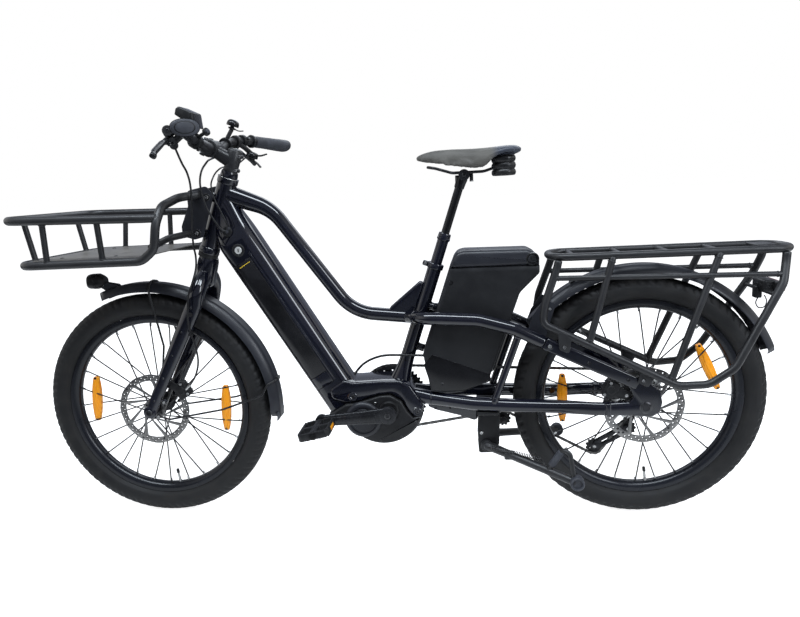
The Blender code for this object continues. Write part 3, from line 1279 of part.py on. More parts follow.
# Brake calipers: a body on each side of the disc
def caliper_frame(axle, distance, angle):
    """A frame at the caliper's middle: local Z points away from the axle at an angle counted from the rear."""
    away = Vector((math.cos(math.radians(angle)), 0.0, math.sin(math.radians(angle))))
    return Matrix.Translation(axle + away * distance) @ Matrix.Rotation(math.radians(90.0 - angle), 4, "Y")


def caliper(frame, distance, disc_y, width_in, width_out, half_height):
    """A body astride the disc, open towards the axle, with its piston cap outside."""
    body = box((-0.0225, disc_y - width_out, -half_height), (0.0225, disc_y + width_in, half_height), frame, 0.0045, 1)
    knob = rod(frame @ Vector((0, disc_y - width_out + 0.001, 0)), frame @ Vector((0, disc_y - width_out - 0.0035, 0)), 0.0110, sides=12)
    slot = box((-0.030, disc_y - 0.0022, -0.030), (0.030, disc_y + 0.0022, ROTOR_RADIUS - distance + 0.0020), frame)
    return cut(join(body, knob), slot)


REAR_DISC_Y = -(REAR_HUB_WIDTH / 2 - ROTOR_INSET)
FRONT_DISC_Y = -(FRONT_HUB_WIDTH / 2 - ROTOR_INSET)
REAR_CALIPER = caliper_frame(REAR_AXLE, 0.0930, 152.0)
caliper_foot = slab([(0.556, 0.352), (0.575, 0.376), (0.618, 0.352), (0.612, 0.334)], -DROP_INNER + GAP, -DROP_INNER + GAP + 0.0050)
part("rear_caliper", join(caliper(REAR_CALIPER, 0.0930, REAR_DISC_Y, 0.0150, 0.0125, 0.0165), caliper_foot), PLASTIC, bicycle)
FRONT_CALIPER = caliper_frame(WHEEL_IN_FORK, 0.1040, 53.0)
front_body = caliper(FRONT_CALIPER, 0.1040, FRONT_DISC_Y, 0.0120, 0.0110, 0.0185)
bracket_low = FRONT_DISC_Y - 0.0110
bracket = box((-0.0120, bracket_low, -0.0100), (0.0120, bracket_low + 0.0070, 0.0600),
              along(FRONT_CALIPER @ Vector((0, 0, 0)), Vector((-0.012, 0.0, -0.372))))
part("front_caliper", cut(join(front_body, bracket), fork_blade(-1, GAP)), PLASTIC, steering)


# Mudguards
def guard(centre, radius, start, sweep, steps):
    """A crowned band round the wheel, from a start angle forwards down by a sweep."""
    half = GUARD_WIDTH / 2
    outer_side = [(radius - GUARD_CROWN, -half), (radius, -half * 0.62), (radius, half * 0.62), (radius - GUARD_CROWN, half)]
    inner_side = [(r - GUARD_THICKNESS, y) for r, y in reversed(outer_side)]
    return frozen(turned(outer_side + inner_side, centre, steps, sweep, start))


def on_wheel(centre, radius, angle, y=0.0):
    """A point at an angle from the hub, counted from the rear upwards."""
    return centre + Vector((radius * math.cos(math.radians(angle)), y, radius * math.sin(math.radians(angle))))


TURN = 90.0 - HEAD_ANGLE
FRONT_BAND_EDGE = FRONT_GUARD_RADIUS - GUARD_CROWN - GUARD_THICKNESS / 2
wire = 0.0022
pieces = []
STAY_OUT = FRONT_GUARD_RADIUS + 0.0012
STAY_SIDE = GUARD_WIDTH / 2 + 0.0035


def stay_loop(angle, foot):
    """A wire that crosses the guard's outer face at an angle and runs down both of its sides to a foot."""
    near = [
        in_steering(*on_wheel(FRONT_AXLE, STAY_OUT, angle, -STAY_SIDE * 0.55)),
        in_steering(*on_wheel(FRONT_AXLE, STAY_OUT - GUARD_CROWN * 0.9, angle - 0.5, -STAY_SIDE)),
        *[in_steering(x, -y, z) for x, y, z in foot],
    ]
    far = [Vector((point.x, -point.y, point.z)) for point in near]
    return tube(bent([*reversed(near), *far], 0.012, 1), wire, resolution=0)


pieces.append(stay_loop(11.5, [(-0.3400, 0.0420, 0.3520), (-0.4500, 0.0520, 0.3180), (-0.5980, 0.0625, 0.2960), (-0.6275, 0.0625, 0.3055)]))
pieces.append(stay_loop(86.0, [(-0.6150, 0.0400, 0.6000), (-0.5965, 0.0450, 0.4980), (-0.6080, 0.0462, 0.4300)]))
clip = box((-0.0050, -0.0120, -0.0030), (0.0050, 0.0120, 0.0060),
           Matrix.Translation(on_wheel(WHEEL_IN_FORK, FRONT_GUARD_RADIUS, 11.5 + TURN)) @ Matrix.Rotation(math.radians(90.0 - 11.5 - TURN), 4, "Y"))
pieces.append(clip)
TAB_ANGLE = 64.0 + TURN
tab = box((-0.0090, -0.0110, -0.0016), (0.0090, 0.0110, 0.0330),
          Matrix.Translation(on_wheel(WHEEL_IN_FORK, FRONT_GUARD_RADIUS, TAB_ANGLE)) @ Matrix.Rotation(math.radians(90.0 - TAB_ANGLE), 4, "Y"))
LAMP_PIVOT = in_steering(-0.7657, 0.0, 0.6638)
CHEEK_INNER = 0.0072
CHEEK_THICKNESS = 0.0028
bracket_side = [(-0.7735, 0.6600), (-0.7700, 0.6708), (-0.7610, 0.6712), (-0.7290, 0.6650), (-0.7220, 0.6592), (-0.7450, 0.6535),
                (-0.7600, 0.6490), (-0.7700, 0.6560)]
bracket_side = [in_steering(x, 0.0, z) for x, z in bracket_side]
lamp_bracket = []
for side in (-1, 1):
    low = min(side * CHEEK_INNER, side * (CHEEK_INNER + CHEEK_THICKNESS))
    lamp_bracket.append(slab([(point.x, point.z) for point in bracket_side], low, low + CHEEK_THICKNESS))
front_guard = guard(WHEEL_IN_FORK, FRONT_GUARD_RADIUS, 111.5 + TURN, 117.5, 13)
front_guard = cut(
    join(front_guard, tab, *lamp_bracket, *pieces),
    rod(CROWN_LOW - (CROWN_HIGH - CROWN_LOW).normalized() * GAP, CROWN_HIGH, CROWN_RADIUS + GAP, sides=16),
    rod(LAMP_PIVOT - Vector((0, 0.02, 0)), LAMP_PIVOT + Vector((0, 0.02, 0)), 0.0030 + RUNNING_GAP, sides=12),
)
part("front_mudguard", front_guard, SATIN_GUARD, steering)


def lamp_point(x, z):
    """A point of the lamp's middle plane, from the bike's own coordinates."""
    return in_steering(x, 0.0, z)


LAMP_UP = (-STEER_UP.x, 0.0, STEER_UP.z)
lamp = join(
    oval_rod(lamp_point(-0.8045, 0.6760), lamp_point(-0.7985, 0.6757), (0.034, 0.044), (0.040, 0.050), 12, (0, 1, 0)),
    oval_rod(lamp_point(-0.7990, 0.6757), lamp_point(-0.7750, 0.6745), (0.040, 0.050), (0.039, 0.048), 12, (0, 1, 0)),
    oval_rod(lamp_point(-0.7755, 0.6745), lamp_point(-0.7615, 0.6750), (0.039, 0.048), (0.024, 0.030), 12, (0, 1, 0)),
    rod(LAMP_PIVOT - Vector((0, 0.0064, 0)), LAMP_PIVOT + Vector((0, 0.0064, 0)), 0.0075, sides=12),
)
cheek_room = [
    rod(LAMP_PIVOT + Vector((0, side * (CHEEK_INNER - 0.0006), 0)), LAMP_PIVOT + Vector((0, side * 0.030, 0)), 0.0150, sides=16)
    for side in (-1, 1)
]
lamp = join(cut(lamp, *cheek_room), rod(LAMP_PIVOT - Vector((0, 0.0115, 0)), LAMP_PIVOT + Vector((0, 0.0115, 0)), 0.0030, sides=12))
part("headlight", lamp, PLASTIC, steering, LAMP_PIVOT)

ears = []
for side in (-1, 1):
    low = min(side * 0.0315, side * 0.0345)
    ears.append(slab([(0.372, 0.519), (0.396, 0.484), (0.412, 0.486), (0.440, 0.577), (0.412, 0.592), (0.385, 0.553)], low, low + 0.0030))
    ears.append(rod((0.4020, side * 0.0320, 0.4930), (0.4020, side * (0.0685 - TWIN_TUBE_RADIUS - GAP), 0.4930), 0.0050, sides=10))
rear_guard = join(guard(REAR_AXLE, REAR_GUARD_RADIUS, 142.0, 122.0, 14), *ears)
part("rear_mudguard", rear_guard, SATIN_GUARD, bicycle)


# Front basket on the head tube's bosses
BASKET_Y = BASKET_WIDTH / 2
BASE_Y = BASKET_FLOOR_WIDTH / 2
BASE_Z = 0.7430
FRONT_X = -(BASKET_REAR + BASKET_LENGTH)
STRUT = 0.0070


def basket_frame():
    rim_z = BASKET_RIM_HEIGHT
    upper = steer_point(BOSS_X, 0, BOSS_LOW + BOSS_SPACING)
    lower = steer_point(BOSS_X, 0, BOSS_LOW)
    rim = bent([(-0.5040, -0.1730, rim_z - 0.006), (-0.5350, -BASKET_Y, rim_z - 0.005), (FRONT_X, -BASKET_Y, rim_z + 0.004),
                (FRONT_X, BASKET_Y, rim_z + 0.004), (-0.5350, BASKET_Y, rim_z - 0.005), (-0.5040, 0.1730, rim_z - 0.006)], 0.045, 2)
    half = [(upper.x - 0.018, 0.0400, upper.z + 0.008), (-0.4900, 0.0800, 0.8880), (-0.5010, 0.1500, 0.8700), (-0.5050, BASE_Y + 0.003, 0.8310),
            (-0.5180, BASE_Y, 0.7700), (-0.5540, BASE_Y, BASE_Z), (FRONT_X + 0.018, BASE_Y, BASE_Z)]
    left = [Vector((x, -y, z)) for x, y, z in half]
    right = [Vector((x, y, z)) for x, y, z in reversed(half)]
    base = bent(left + right, 0.040, 2)
    pieces = [tube(base, BASKET_TUBE_RADIUS, resolution=1)]
    for side in (-1, 1):
        arm = bent([(-0.527, side * (BASE_Y - 0.002), 0.775), (-0.518, side * 0.100, 0.790), (lower.x - 0.018, side * 0.040, lower.z + 0.001)], 0.04, 2)
        pieces.append(tube(arm, 0.0085, resolution=1))
        for top_x, low_x in ((-0.785, -0.795), (-0.647, -0.651)):
            pieces.append(rod((low_x, side * BASE_Y, BASE_Z), (top_x, side * BASKET_Y, rim_z), STRUT, sides=6))
        pieces.append(rod((FRONT_X + 0.018, side * 0.110, BASE_Z), (FRONT_X, side * 0.110, rim_z + 0.006), STRUT, sides=6))
        low = min(side * (BOSS_HALF + GAP), side * (BOSS_HALF + GAP + 0.0035))
        plate = [(upper.x - 0.052, upper.z + 0.018), (upper.x + 0.002, upper.z + 0.028), (upper.x + 0.018, upper.z + 0.004),
                 (lower.x + 0.016, lower.z - 0.010), (lower.x - 0.008, lower.z - 0.016), (lower.x - 0.040, lower.z - 0.006),
                 (lower.x - 0.040, lower.z + 0.020), (upper.x - 0.052, upper.z - 0.020)]
        pieces.append(slab(plate, low, low + 0.0035))
        for seat in (upper, lower):
            out = side * (BOSS_HALF + 0.0020)
            pieces.append(rod((seat.x, out, seat.z), (seat.x, out + side * 0.0060, seat.z), 0.0075, sides=8))
    for x in (-0.795, -0.651):
        pieces.append(rod((x, -BASE_Y, BASE_Z), (x, BASE_Y, BASE_Z), STRUT, sides=6))
    return join(tube(rim, BASKET_TUBE_RADIUS, resolution=1), *pieces)


part("basket_frame", basket_frame(), MATTE_BLACK, bicycle)
FLOOR_LOW = BASE_Z + STRUT + GAP
floor = box((-0.852, -0.165, FLOOR_LOW), (-0.560, 0.165, FLOOR_LOW + FLOOR_THICKNESS), None, 0.020, 2, "Z")
part("basket_floor", floor, FLOOR_BOARD, bicycle)

# Rear rack
RACK_REAR = RACK_FRONT + RACK_LENGTH
RACK_Y = RACK_WIDTH / 2
deck_corners = [(RACK_FRONT, -RACK_Y, RACK_HEIGHT), (RACK_REAR, -RACK_Y, RACK_HEIGHT), (RACK_REAR, RACK_Y, RACK_HEIGHT), (RACK_FRONT, RACK_Y, RACK_HEIGHT)]
pieces = []
for index in range(RACK_BAR_COUNT):
    x = RACK_FRONT + RACK_LENGTH * (0.095 + 0.8 * index / (RACK_BAR_COUNT - 1))
    pieces.append(rod((x, -RACK_Y, RACK_HEIGHT), (x, RACK_Y, RACK_HEIGHT), 0.0065, sides=8))
plate_top = RACK_HEIGHT + 0.0065 + 0.0020
pieces.append(box((RACK_REAR - 0.080, -0.030, plate_top - 0.0032), (RACK_REAR - 0.030, 0.030, plate_top), None, 0.006, 1, "Z"))
deck = join(tube(looped(deck_corners, 0.045, 3), RACK_TUBE_RADIUS, closed=True, resolution=1), *pieces)
part("rack_deck", deck, MATTE_BLACK, bicycle)


def rack_side(side):
    top_z = RACK_HEIGHT
    main = [(0.4430, 0.0610, top_z - 0.002), (0.4390, 0.0610, 0.6720), (0.4090, 0.0690, 0.5870), (0.4020, 0.0760, 0.5370), (0.4300, 0.0800, 0.5235),
            (0.7200, 0.1000, 0.3790), (0.7900, 0.1060, 0.3830), (0.8440, 0.1120, 0.4250), (0.9540, 0.0800, 0.6200), (0.9660, 0.0600, 0.6700),
            (0.9665, 0.0600, top_z - 0.001)]
    path = bent([(x, side * y, z) for x, y, z in main], 0.04, 1)
    low = min(side * 0.0873, side * 0.0915)
    pieces = [
        rod((0.5715, side * 0.0600, top_z - 0.002), (0.5110, side * 0.0852, 0.4835), 0.0085, sides=8),
        rod((0.8180, side * 0.0600, top_z - 0.002), (0.7020, side * 0.0985, 0.3880), 0.0085, sides=8),
        tube([Vector((0.4310, side * 0.0640, 0.6470)), Vector((0.9540, side * 0.0735, 0.6400))], 0.0065, resolution=1),
        slab([(0.436, 0.523), (0.470, 0.506), (0.464, 0.462), (0.440, 0.474)], low, low + 0.0042),
        slab([(0.634, 0.424), (0.672, 0.405), (0.652, 0.372), (0.628, 0.386)], low, low + 0.0042),
    ]
    deck_room = tube(looped(deck_corners, 0.045, 3), RACK_TUBE_RADIUS + GAP, closed=True, resolution=1)
    return cut(join(tube(path, RACK_TUBE_RADIUS, resolution=1), *pieces), deck_room)


part("rack_side_left", rack_side(-1), MATTE_BLACK, bicycle)
part("rack_side_right", rack_side(1), MATTE_BLACK, bicycle)

# Tail light on a bar between the rack's sides
lamp_bar = 0.0860 - RACK_TUBE_RADIUS - 0.0022
tail = join(
    rod((0.9370, -lamp_bar, 0.5920), (0.9370, lamp_bar, 0.5920), 0.0045, sides=10),
    box((0.932, -0.030, 0.588), (0.962, 0.030, 0.618), None, 0.004, 1),
    box((0.955, -0.046, 0.590), (0.978, 0.046, 0.616), None, 0.006, 1),
    box((0.924, -0.010, 0.571), (0.940, 0.010, 0.600), None, 0.003, 1),
)
part("tail_light", tail, PLASTIC, bicycle)

# Cranks, chainring and pedals
ARM_OUT = CRANK_ARM_OFFSET + CRANK_ARM_THICKNESS / 2


def crank_arm(side, reach):
    """An arm along local X from the spindle, with a boss at each end."""
    y = side * CRANK_ARM_OFFSET
    half = CRANK_ARM_THICKNESS / 2
    return [
        oval_rod((0, y, 0), (reach, y, 0), (0.036, CRANK_ARM_THICKNESS), (0.026, CRANK_ARM_THICKNESS * 0.86), sides=12),
        rod((0, y - half, 0), (0, y + half, 0), 0.0195, sides=16),
        rod((reach, y - half, 0), (reach, y + half, 0), 0.0145, sides=16),
        rod((reach, y, 0), (reach, side * (ARM_OUT + PEDAL_WIDTH * 0.80), 0), 0.0045, sides=12),
    ]


left_arm = cut(
    join(*crank_arm(-1, -CRANK_LENGTH)),
    rod((0, -0.20, 0), (0, -0.05, 0), 0.0115 + GAP, sides=16),
)
part("crank_left", left_arm, DARK_STEEL, crank_axis)
RING_SOLID = CHAINRING_RADIUS - CHAIN_HEIGHT / 2 - 0.0014
ring_low = CHAIN_LINE - 0.0015
ring_high = CHAIN_LINE + 0.0015
spider = []
for index in range(4):
    angle = math.radians(40 + 90 * index)
    away = Vector((math.cos(angle), 0, math.sin(angle)))
    frame = along(Vector((0, 0, 0)), away)
    spider.append(box((-0.009, ring_low, 0.010), (0.009, ring_high + 0.004, RING_SOLID - 0.012), frame))
right_arm = join(
    rod((0, -CRANK_ARM_OFFSET - 0.002, 0), (0, CRANK_ARM_OFFSET, 0), 0.0115, sides=16),
    *crank_arm(1, CRANK_LENGTH),
    ring(RING_SOLID - 0.020, RING_SOLID, ring_low, ring_high, (0, 0, 0), 26),
    rod((0, ring_low, 0), (0, CRANK_ARM_OFFSET - 0.002, 0), 0.0240, 0.0190, sides=16),
    *spider,
)
part("crank_right", right_arm, DARK_STEEL, crank_axis)


def pedal(side):
    """A flat pedal about its own axle: two plates and end bars round a bearing tube."""
    low = side * (ARM_OUT + 0.0030)
    high = side * (ARM_OUT + PEDAL_WIDTH)
    near, far = min(low, high), max(low, high)
    half = PEDAL_LENGTH / 2
    thick = PEDAL_THICKNESS / 2
    outline = [(-half, near + 0.012), (-half * 0.8, near), (half * 0.8, near), (half, near + 0.012), (half, far - 0.012),
               (half * 0.8, far), (-half * 0.8, far), (-half, far - 0.012)]
    body = slab(outline, -thick, thick)
    body.data.transform(Matrix.Rotation(-math.pi / 2, 4, "X"))
    windows = []
    for x in (-1, 1):
        for y in (0.30, 0.70):
            centre = near + (far - near) * y
            windows.append(box((x * half * 0.52 - 0.0125, centre - 0.0150, -0.03), (x * half * 0.52 + 0.0125, centre + 0.0150, 0.03)))
    barrel = rod((0, near, 0), (0, far, 0), 0.0110, sides=12)
    bore = rod((0, low - side * 0.01, 0), (0, side * (ARM_OUT + PEDAL_WIDTH * 0.80 + 0.001), 0), 0.0045 + RUNNING_GAP, sides=12)
    whole = cut(join(cut(body, *windows), barrel), bore)
    whole.data.transform(Matrix.Rotation(math.radians(PEDAL_TILT), 4, "Y"))
    return whole


left_axle = empty("pedal_axle_left", (-CRANK_LENGTH, 0, 0), crank_axis)
right_axle = empty("pedal_axle_right", (CRANK_LENGTH, 0, 0), crank_axis)
part("pedal_left", pedal(-1), PLASTIC, left_axle)
part("pedal_right", pedal(1), PLASTIC, right_axle)

# Cassette: sprockets on a bored core
core_bore = HUB_CORE_RADIUS * 0.62 + GAP
sprocket_solid = SPROCKET_RADIUS - CHAIN_HEIGHT / 2 - 0.0014
cassette = [rod((0, 0.0310, 0), (0, 0.0720, 0), 0.0200, sides=16)]
for step, radius, thickness in ((-4, 0.0740, 0.0022), (-2, 0.0640, 0.0022), (0, sprocket_solid, 0.0024), (1.5, 0.0430, 0.0022),
                                (3, 0.0330, 0.0022)):
    y = CHAIN_LINE + step * SPROCKET_PITCH
    cassette.append(rod((0, y - thickness / 2, 0), (0, y + thickness / 2, 0), radius, sides=20 if step < 1 else 14))
part("cassette", cut(join(*cassette), rod((0, 0, 0), (0, 0.1, 0), core_bore, sides=16)), STEEL, rear_axle)


# Chain: a closed band round chainring, sprocket, pulleys and guide roller
UPPER_PULLEY = Vector((0.6420, 0.2100))
LOWER_PULLEY = Vector((0.5530, 0.1590))
ROLLER = Vector((0.3080, 0.2420))
ROLLER_RADIUS = 0.0220
wheels_of_chain = [
    (Vector((CRANK_AXIS.x, CRANK_AXIS.z)), CHAINRING_RADIUS, -1, 11),
    (Vector((REAR_AXLE.x, REAR_AXLE.z)), SPROCKET_RADIUS, -1, 9),
    (UPPER_PULLEY, PULLEY_RADIUS, 1, 5),
    (LOWER_PULLEY, PULLEY_RADIUS, -1, 6),
    (ROLLER, ROLLER_RADIUS, 1, 3),
]


def chain_path():
    """Tangents and arcs: 1 turns to the left seen from the left side, -1 to the right."""
    angles = []
    count = len(wheels_of_chain)
    for index in range(count):
        here, r0, s0, _ = wheels_of_chain[index]
        there, r1, s1, _ = wheels_of_chain[(index + 1) % count]
        line = there - here
        normal = math.atan2(line.y, line.x) + math.acos((r1 * s1 - r0 * s0) / line.length)
        angles.append(normal)
    path = []
    for index, (centre, radius, turn, steps) in enumerate(wheels_of_chain):
        # The wheel's centre lies on the path's left for turn 1, so the touching point is opposite
        enter = angles[index - 1] + (math.pi if turn > 0 else 0.0)
        leave = angles[index] + (math.pi if turn > 0 else 0.0)
        sweep = (leave - enter) % (2 * math.pi) if turn > 0 else -((enter - leave) % (2 * math.pi))
        for step in range(steps + 1):
            a = enter + sweep * step / steps
            path.append((centre.x + radius * math.cos(a), centre.y + radius * math.sin(a)))
    return path


belt = chain_path()
chain = slab(grown(belt, CHAIN_HEIGHT / 2), CHAIN_LINE - CHAIN_WIDTH / 2, CHAIN_LINE + CHAIN_WIDTH / 2, None, grown(belt, -CHAIN_HEIGHT / 2))
part("chain", chain, DARK_STEEL, bicycle)

# Derailleur: hanger and link, and the cage with its pulleys
CAGE_INNER = CHAIN_LINE - CHAIN_WIDTH / 2 - 0.0015
CAGE_OUTER = CHAIN_LINE + CHAIN_WIDTH / 2 + 0.0015
pivot = Vector((UPPER_PULLEY.x, 0, UPPER_PULLEY.y))
derailleur = join(
    slab([(0.648, 0.2940), (0.682, 0.2940), (0.684, 0.266), (0.668, 0.256), (0.654, 0.266)], 0.0750, 0.0820),
    rod((0.669, 0.0700, 0.2720), (0.669, 0.0920, 0.2720), 0.0140, sides=16),
    oval_rod((0.669, 0.0840, 0.2720), (0.6440, 0.0690, 0.2140), (0.026, 0.014), (0.026, 0.018), sides=10),
    rod((pivot.x, CAGE_OUTER + 0.0026, pivot.z), (pivot.x, 0.0790, pivot.z), 0.0150, sides=16),
)
part("derailleur_body", derailleur, PLASTIC, bicycle)
lower = Vector((LOWER_PULLEY.x, 0, LOWER_PULLEY.y))
pulley_solid = PULLEY_RADIUS - CHAIN_HEIGHT / 2 - 0.0010
cage_frame = along(pivot, lower)
reach = (lower - pivot).length
cage = []
for low, high in ((CAGE_INNER - 0.0022, CAGE_INNER), (CAGE_OUTER, CAGE_OUTER + 0.0022)):
    cage.append(box((-0.0090, low, -0.0130), (0.0090, high, reach + 0.0130), cage_frame, 0.0060, 1, "Y"))
for wheel_centre in (pivot, lower):
    cage.append(rod((wheel_centre.x, CHAIN_LINE - 0.0024, wheel_centre.z), (wheel_centre.x, CHAIN_LINE + 0.0024, wheel_centre.z), pulley_solid, sides=12))
    cage.append(rod((wheel_centre.x, CAGE_INNER - 0.0010, wheel_centre.z), (wheel_centre.x, CAGE_OUTER + 0.0010, wheel_centre.z), 0.0050, sides=10))
part("derailleur_cage", join(*cage), PLASTIC, bicycle, pivot)

# Centre stand and its bracket
STAND_PIVOT = Vector((STAND_PIVOT_X, 0.0, STAND_PIVOT_Z))
cheeks = []
for side in (-1, 1):
    low = min(side * 0.0280, side * 0.0340)
    cheeks.append(slab([(0.241, 0.2990), (0.296, 0.2990), (0.292, 0.205), (0.282, 0.180), (0.238, 0.1790), (0.236, 0.215)], low, low + 0.0060))
bracket = cut(
    join(
        box((0.236, -0.0700, 0.2970), (0.290, 0.0700, 0.3062), None),
        box((0.240, -0.0300, 0.2250), (0.290, 0.0300, 0.3000), None, 0.004, 1),
        rod((ROLLER.x, CHAIN_LINE - 0.0024, ROLLER.y), (ROLLER.x, CHAIN_LINE + 0.0024, ROLLER.y), ROLLER_RADIUS - CHAIN_HEIGHT / 2 - 0.0005, sides=12),
        rod((ROLLER.x, 0.0320, ROLLER.y), (ROLLER.x, CHAIN_LINE, ROLLER.y), 0.0060, sides=10),
        slab([(0.280, 0.250), (0.280, 0.230), (0.312, 0.233), (0.318, 0.243), (0.312, 0.251)], 0.0330, 0.0370),
        *cheeks,
    ),
    rod(STAND_PIVOT - Vector((0, 0.1, 0)), STAND_PIVOT + Vector((0, 0.1, 0)), 0.0105 + RUNNING_GAP, sides=16),
)
part("stand_bracket", bracket, PLASTIC, bicycle)


def stand():
    foot_x = STAND_PIVOT_X + STAND_REACH
    foot_z = STAND_PIVOT_Z - STAND_DROP
    pieces = []
    for side in (-1, 1):
        leg = bent([STAND_PIVOT + Vector((0, side * 0.0400, 0)), STAND_PIVOT + Vector((0.018, side * 0.0500, -0.003)),
                    Vector((foot_x, side * (STAND_SPREAD - 0.002), foot_z))], 0.03, 2)
        pieces.append(tube(leg, STAND_LEG_RADIUS, resolution=1))
        pieces.append(rod((foot_x, side * (STAND_SPREAD - 0.012), foot_z), (foot_x, side * (STAND_SPREAD + 0.010), foot_z), 0.0175, sides=12))
        pieces.append(rod(STAND_PIVOT + Vector((0, side * 0.0350, 0)), STAND_PIVOT + Vector((0, side * 0.0480, 0)), 0.0145, sides=12))
    tang = bent([(0.4050, -0.1310, foot_z + 0.016), (0.4400, -0.1450, foot_z + 0.078), (0.4560, -0.1560, foot_z + 0.070), (0.4640, -0.1640, foot_z + 0.004)], 0.012, 2)
    pieces.append(tube(tang, 0.0055, resolution=0))
    return join(rod(STAND_PIVOT - Vector((0, 0.0440, 0)), STAND_PIVOT + Vector((0, 0.0440, 0)), 0.0105, sides=16), *pieces)


part("stand", stand(), MATTE_BLACK, bicycle, STAND_PIVOT)

# Hoses and cables
PORT = DOWN_FRAME @ Vector((0.000, -DOWN_TUBE_WIDTH / 2 - 0.0030, 0.060))
left_bore = bar_point(-1, LEVER_Y)[0] + LEVER_DROP - bar_point(-1, LEVER_Y)[1] * 0.0390
right_bore = bar_point(1, LEVER_Y)[0] + LEVER_DROP - bar_point(1, LEVER_Y)[1] * 0.0390


def from_bar(local):
    """A point of the steering frame with the bars straight, in the bike's own coordinates."""
    return steer_point(local.x, local.y, local.z)


hose_end = FRONT_CALIPER @ Vector((0.0040, FRONT_DISC_Y - 0.0080, 0.0205))
front_hose = [
    left_bore, Vector((-0.0640, -0.1480, 0.2200)), Vector((-0.0590, -0.1150, 0.1960)), Vector((-0.0550, -0.0840, 0.1600)),
    Vector((-0.0430, -0.0650, 0.0934)), Vector((-0.0316, -0.0620, 0.0490)), Vector((-0.0216, -0.0600, 0.0172)),
    Vector((-0.0103, -0.0580, -0.0067)), Vector((-0.0012, -0.0600, -0.0365)), Vector((0.0039, -0.0720, -0.0694)),
    Vector((0.0062, -0.0825, -0.1053)), Vector((0.0136, -0.0840, -0.1382)), Vector((0.0212, -0.0810, -0.1695)),
    Vector((0.0359, -0.0790, -0.2015)), Vector((0.0575, -0.0750, -0.2379)), Vector((0.0704, -0.0670, -0.2765)),
    Vector((0.0700, -0.0580, -0.3202)), hose_end,
]
cord("front_brake_hose", front_hose, BRAKE_HOSE_RADIUS, HOSE_BLACK, steering)
rear_hose = [
    from_bar(right_bore), steer_point(-0.0800, 0.1000, 0.2400), steer_point(-0.0720, 0.0300, 0.2300), steer_point(-0.0560, -0.0250, 0.2260),
    steer_point(-0.0529, -0.0500, 0.2050), steer_point(-0.0467, -0.0560, 0.1757), steer_point(-0.0307, -0.0540, 0.1419),
    steer_point(-0.0084, -0.0510, 0.1122), PORT + Vector((-0.014, -0.0060, 0.010)), PORT + Vector((-0.0010, -0.0030, 0.0010)),
]
cord("rear_brake_hose", rear_hose, BRAKE_HOSE_RADIUS, HOSE_BLACK, bicycle)
shift_start = from_bar(POD_CENTRE + Vector((-0.004, -0.0195, 0.0)))
shift_route = [
    shift_start, steer_point(-0.0300, 0.1200, 0.2330), steer_point(-0.0300, 0.0600, 0.2240), steer_point(-0.0270, 0.0100, 0.2235),
    steer_point(-0.0235, -0.0300, 0.2120), steer_point(-0.0220, -0.0470, 0.1950), steer_point(-0.0190, -0.0510, 0.1760),
    steer_point(-0.0011, -0.0510, 0.1464), steer_point(0.0223, -0.0520, 0.1227), PORT + Vector((0.006, -0.0080, 0.020)),
    PORT + Vector((0.0030, -0.0021, 0.0075)),
]
cord("shift_cable", shift_route, CABLE_RADIUS, HOSE_BLACK, bicycle)
motor_route = [
    Vector((-0.0865, -0.020, 0.3990)), Vector((-0.0780, -0.020, 0.4110)), Vector((-0.0600, -0.022, 0.4290)), Vector((-0.0361, -0.024, 0.4426)),
    Vector((-0.0032, -0.026, 0.4519)), Vector((0.0393, -0.026, 0.4523)), Vector((CASE_FRONT.x + 0.0075, -0.024, 0.4490)),
]
cord("motor_cable", motor_route, MOTOR_CABLE_RADIUS, HOSE_BLACK, bicycle)
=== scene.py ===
import math

import bmesh
import bpy
import numpy as np
from mathutils import Matrix, Vector


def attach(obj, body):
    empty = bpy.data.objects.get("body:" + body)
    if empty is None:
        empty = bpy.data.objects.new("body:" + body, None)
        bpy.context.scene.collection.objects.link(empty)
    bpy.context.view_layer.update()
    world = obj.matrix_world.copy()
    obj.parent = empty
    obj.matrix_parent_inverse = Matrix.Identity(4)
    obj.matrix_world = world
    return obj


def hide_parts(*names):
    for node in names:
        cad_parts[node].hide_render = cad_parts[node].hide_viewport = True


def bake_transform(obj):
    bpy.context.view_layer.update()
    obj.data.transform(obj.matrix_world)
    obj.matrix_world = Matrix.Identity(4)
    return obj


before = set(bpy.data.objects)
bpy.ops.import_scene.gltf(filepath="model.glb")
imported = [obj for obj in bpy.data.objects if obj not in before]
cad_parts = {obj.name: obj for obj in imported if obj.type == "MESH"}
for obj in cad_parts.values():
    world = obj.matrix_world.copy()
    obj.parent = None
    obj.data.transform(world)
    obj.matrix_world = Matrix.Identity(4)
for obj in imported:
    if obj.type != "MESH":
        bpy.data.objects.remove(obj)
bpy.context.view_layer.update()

print("frame loaded:", len(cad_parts), "nodes")

# X below is counted from the middle between the axles, and the frame's origin lies a little behind it
workShift = np.array([-0.01525, 0.0, 0.0])
left, right = -1, 1


# Directions and frames
def vec(*values):
    return np.array(values, float)


def unit(v):
    v = np.asarray(v, float)
    return v / np.linalg.norm(v, axis=-1, keepdims=True)


def frameFrom(origin, along, side=(0, 1, 0)):
    # local Z runs along the direction, local Y lies as near to side as it can, X completes them
    up = unit(along)
    y = unit(np.array(side, float) - up * np.dot(up, side))
    out = np.eye(4)
    out[:3, 0], out[:3, 1], out[:3, 2], out[:3, 3] = np.cross(y, up), y, up, origin
    return out


def facing(origin, side):
    # local Z points to the left or the right, so that a lathe's heights are values of y
    return frameFrom(origin, (0, side, 0), (0, 0, 1))


def crossing(direction):
    # the Y axis, or X where the direction is nearly Y itself
    return (0, 1, 0) if abs(unit(direction)[1]) < 0.9 else (1, 0, 0)


def shifted(origin):
    out = np.eye(4)
    out[:3, 3] = origin
    return out


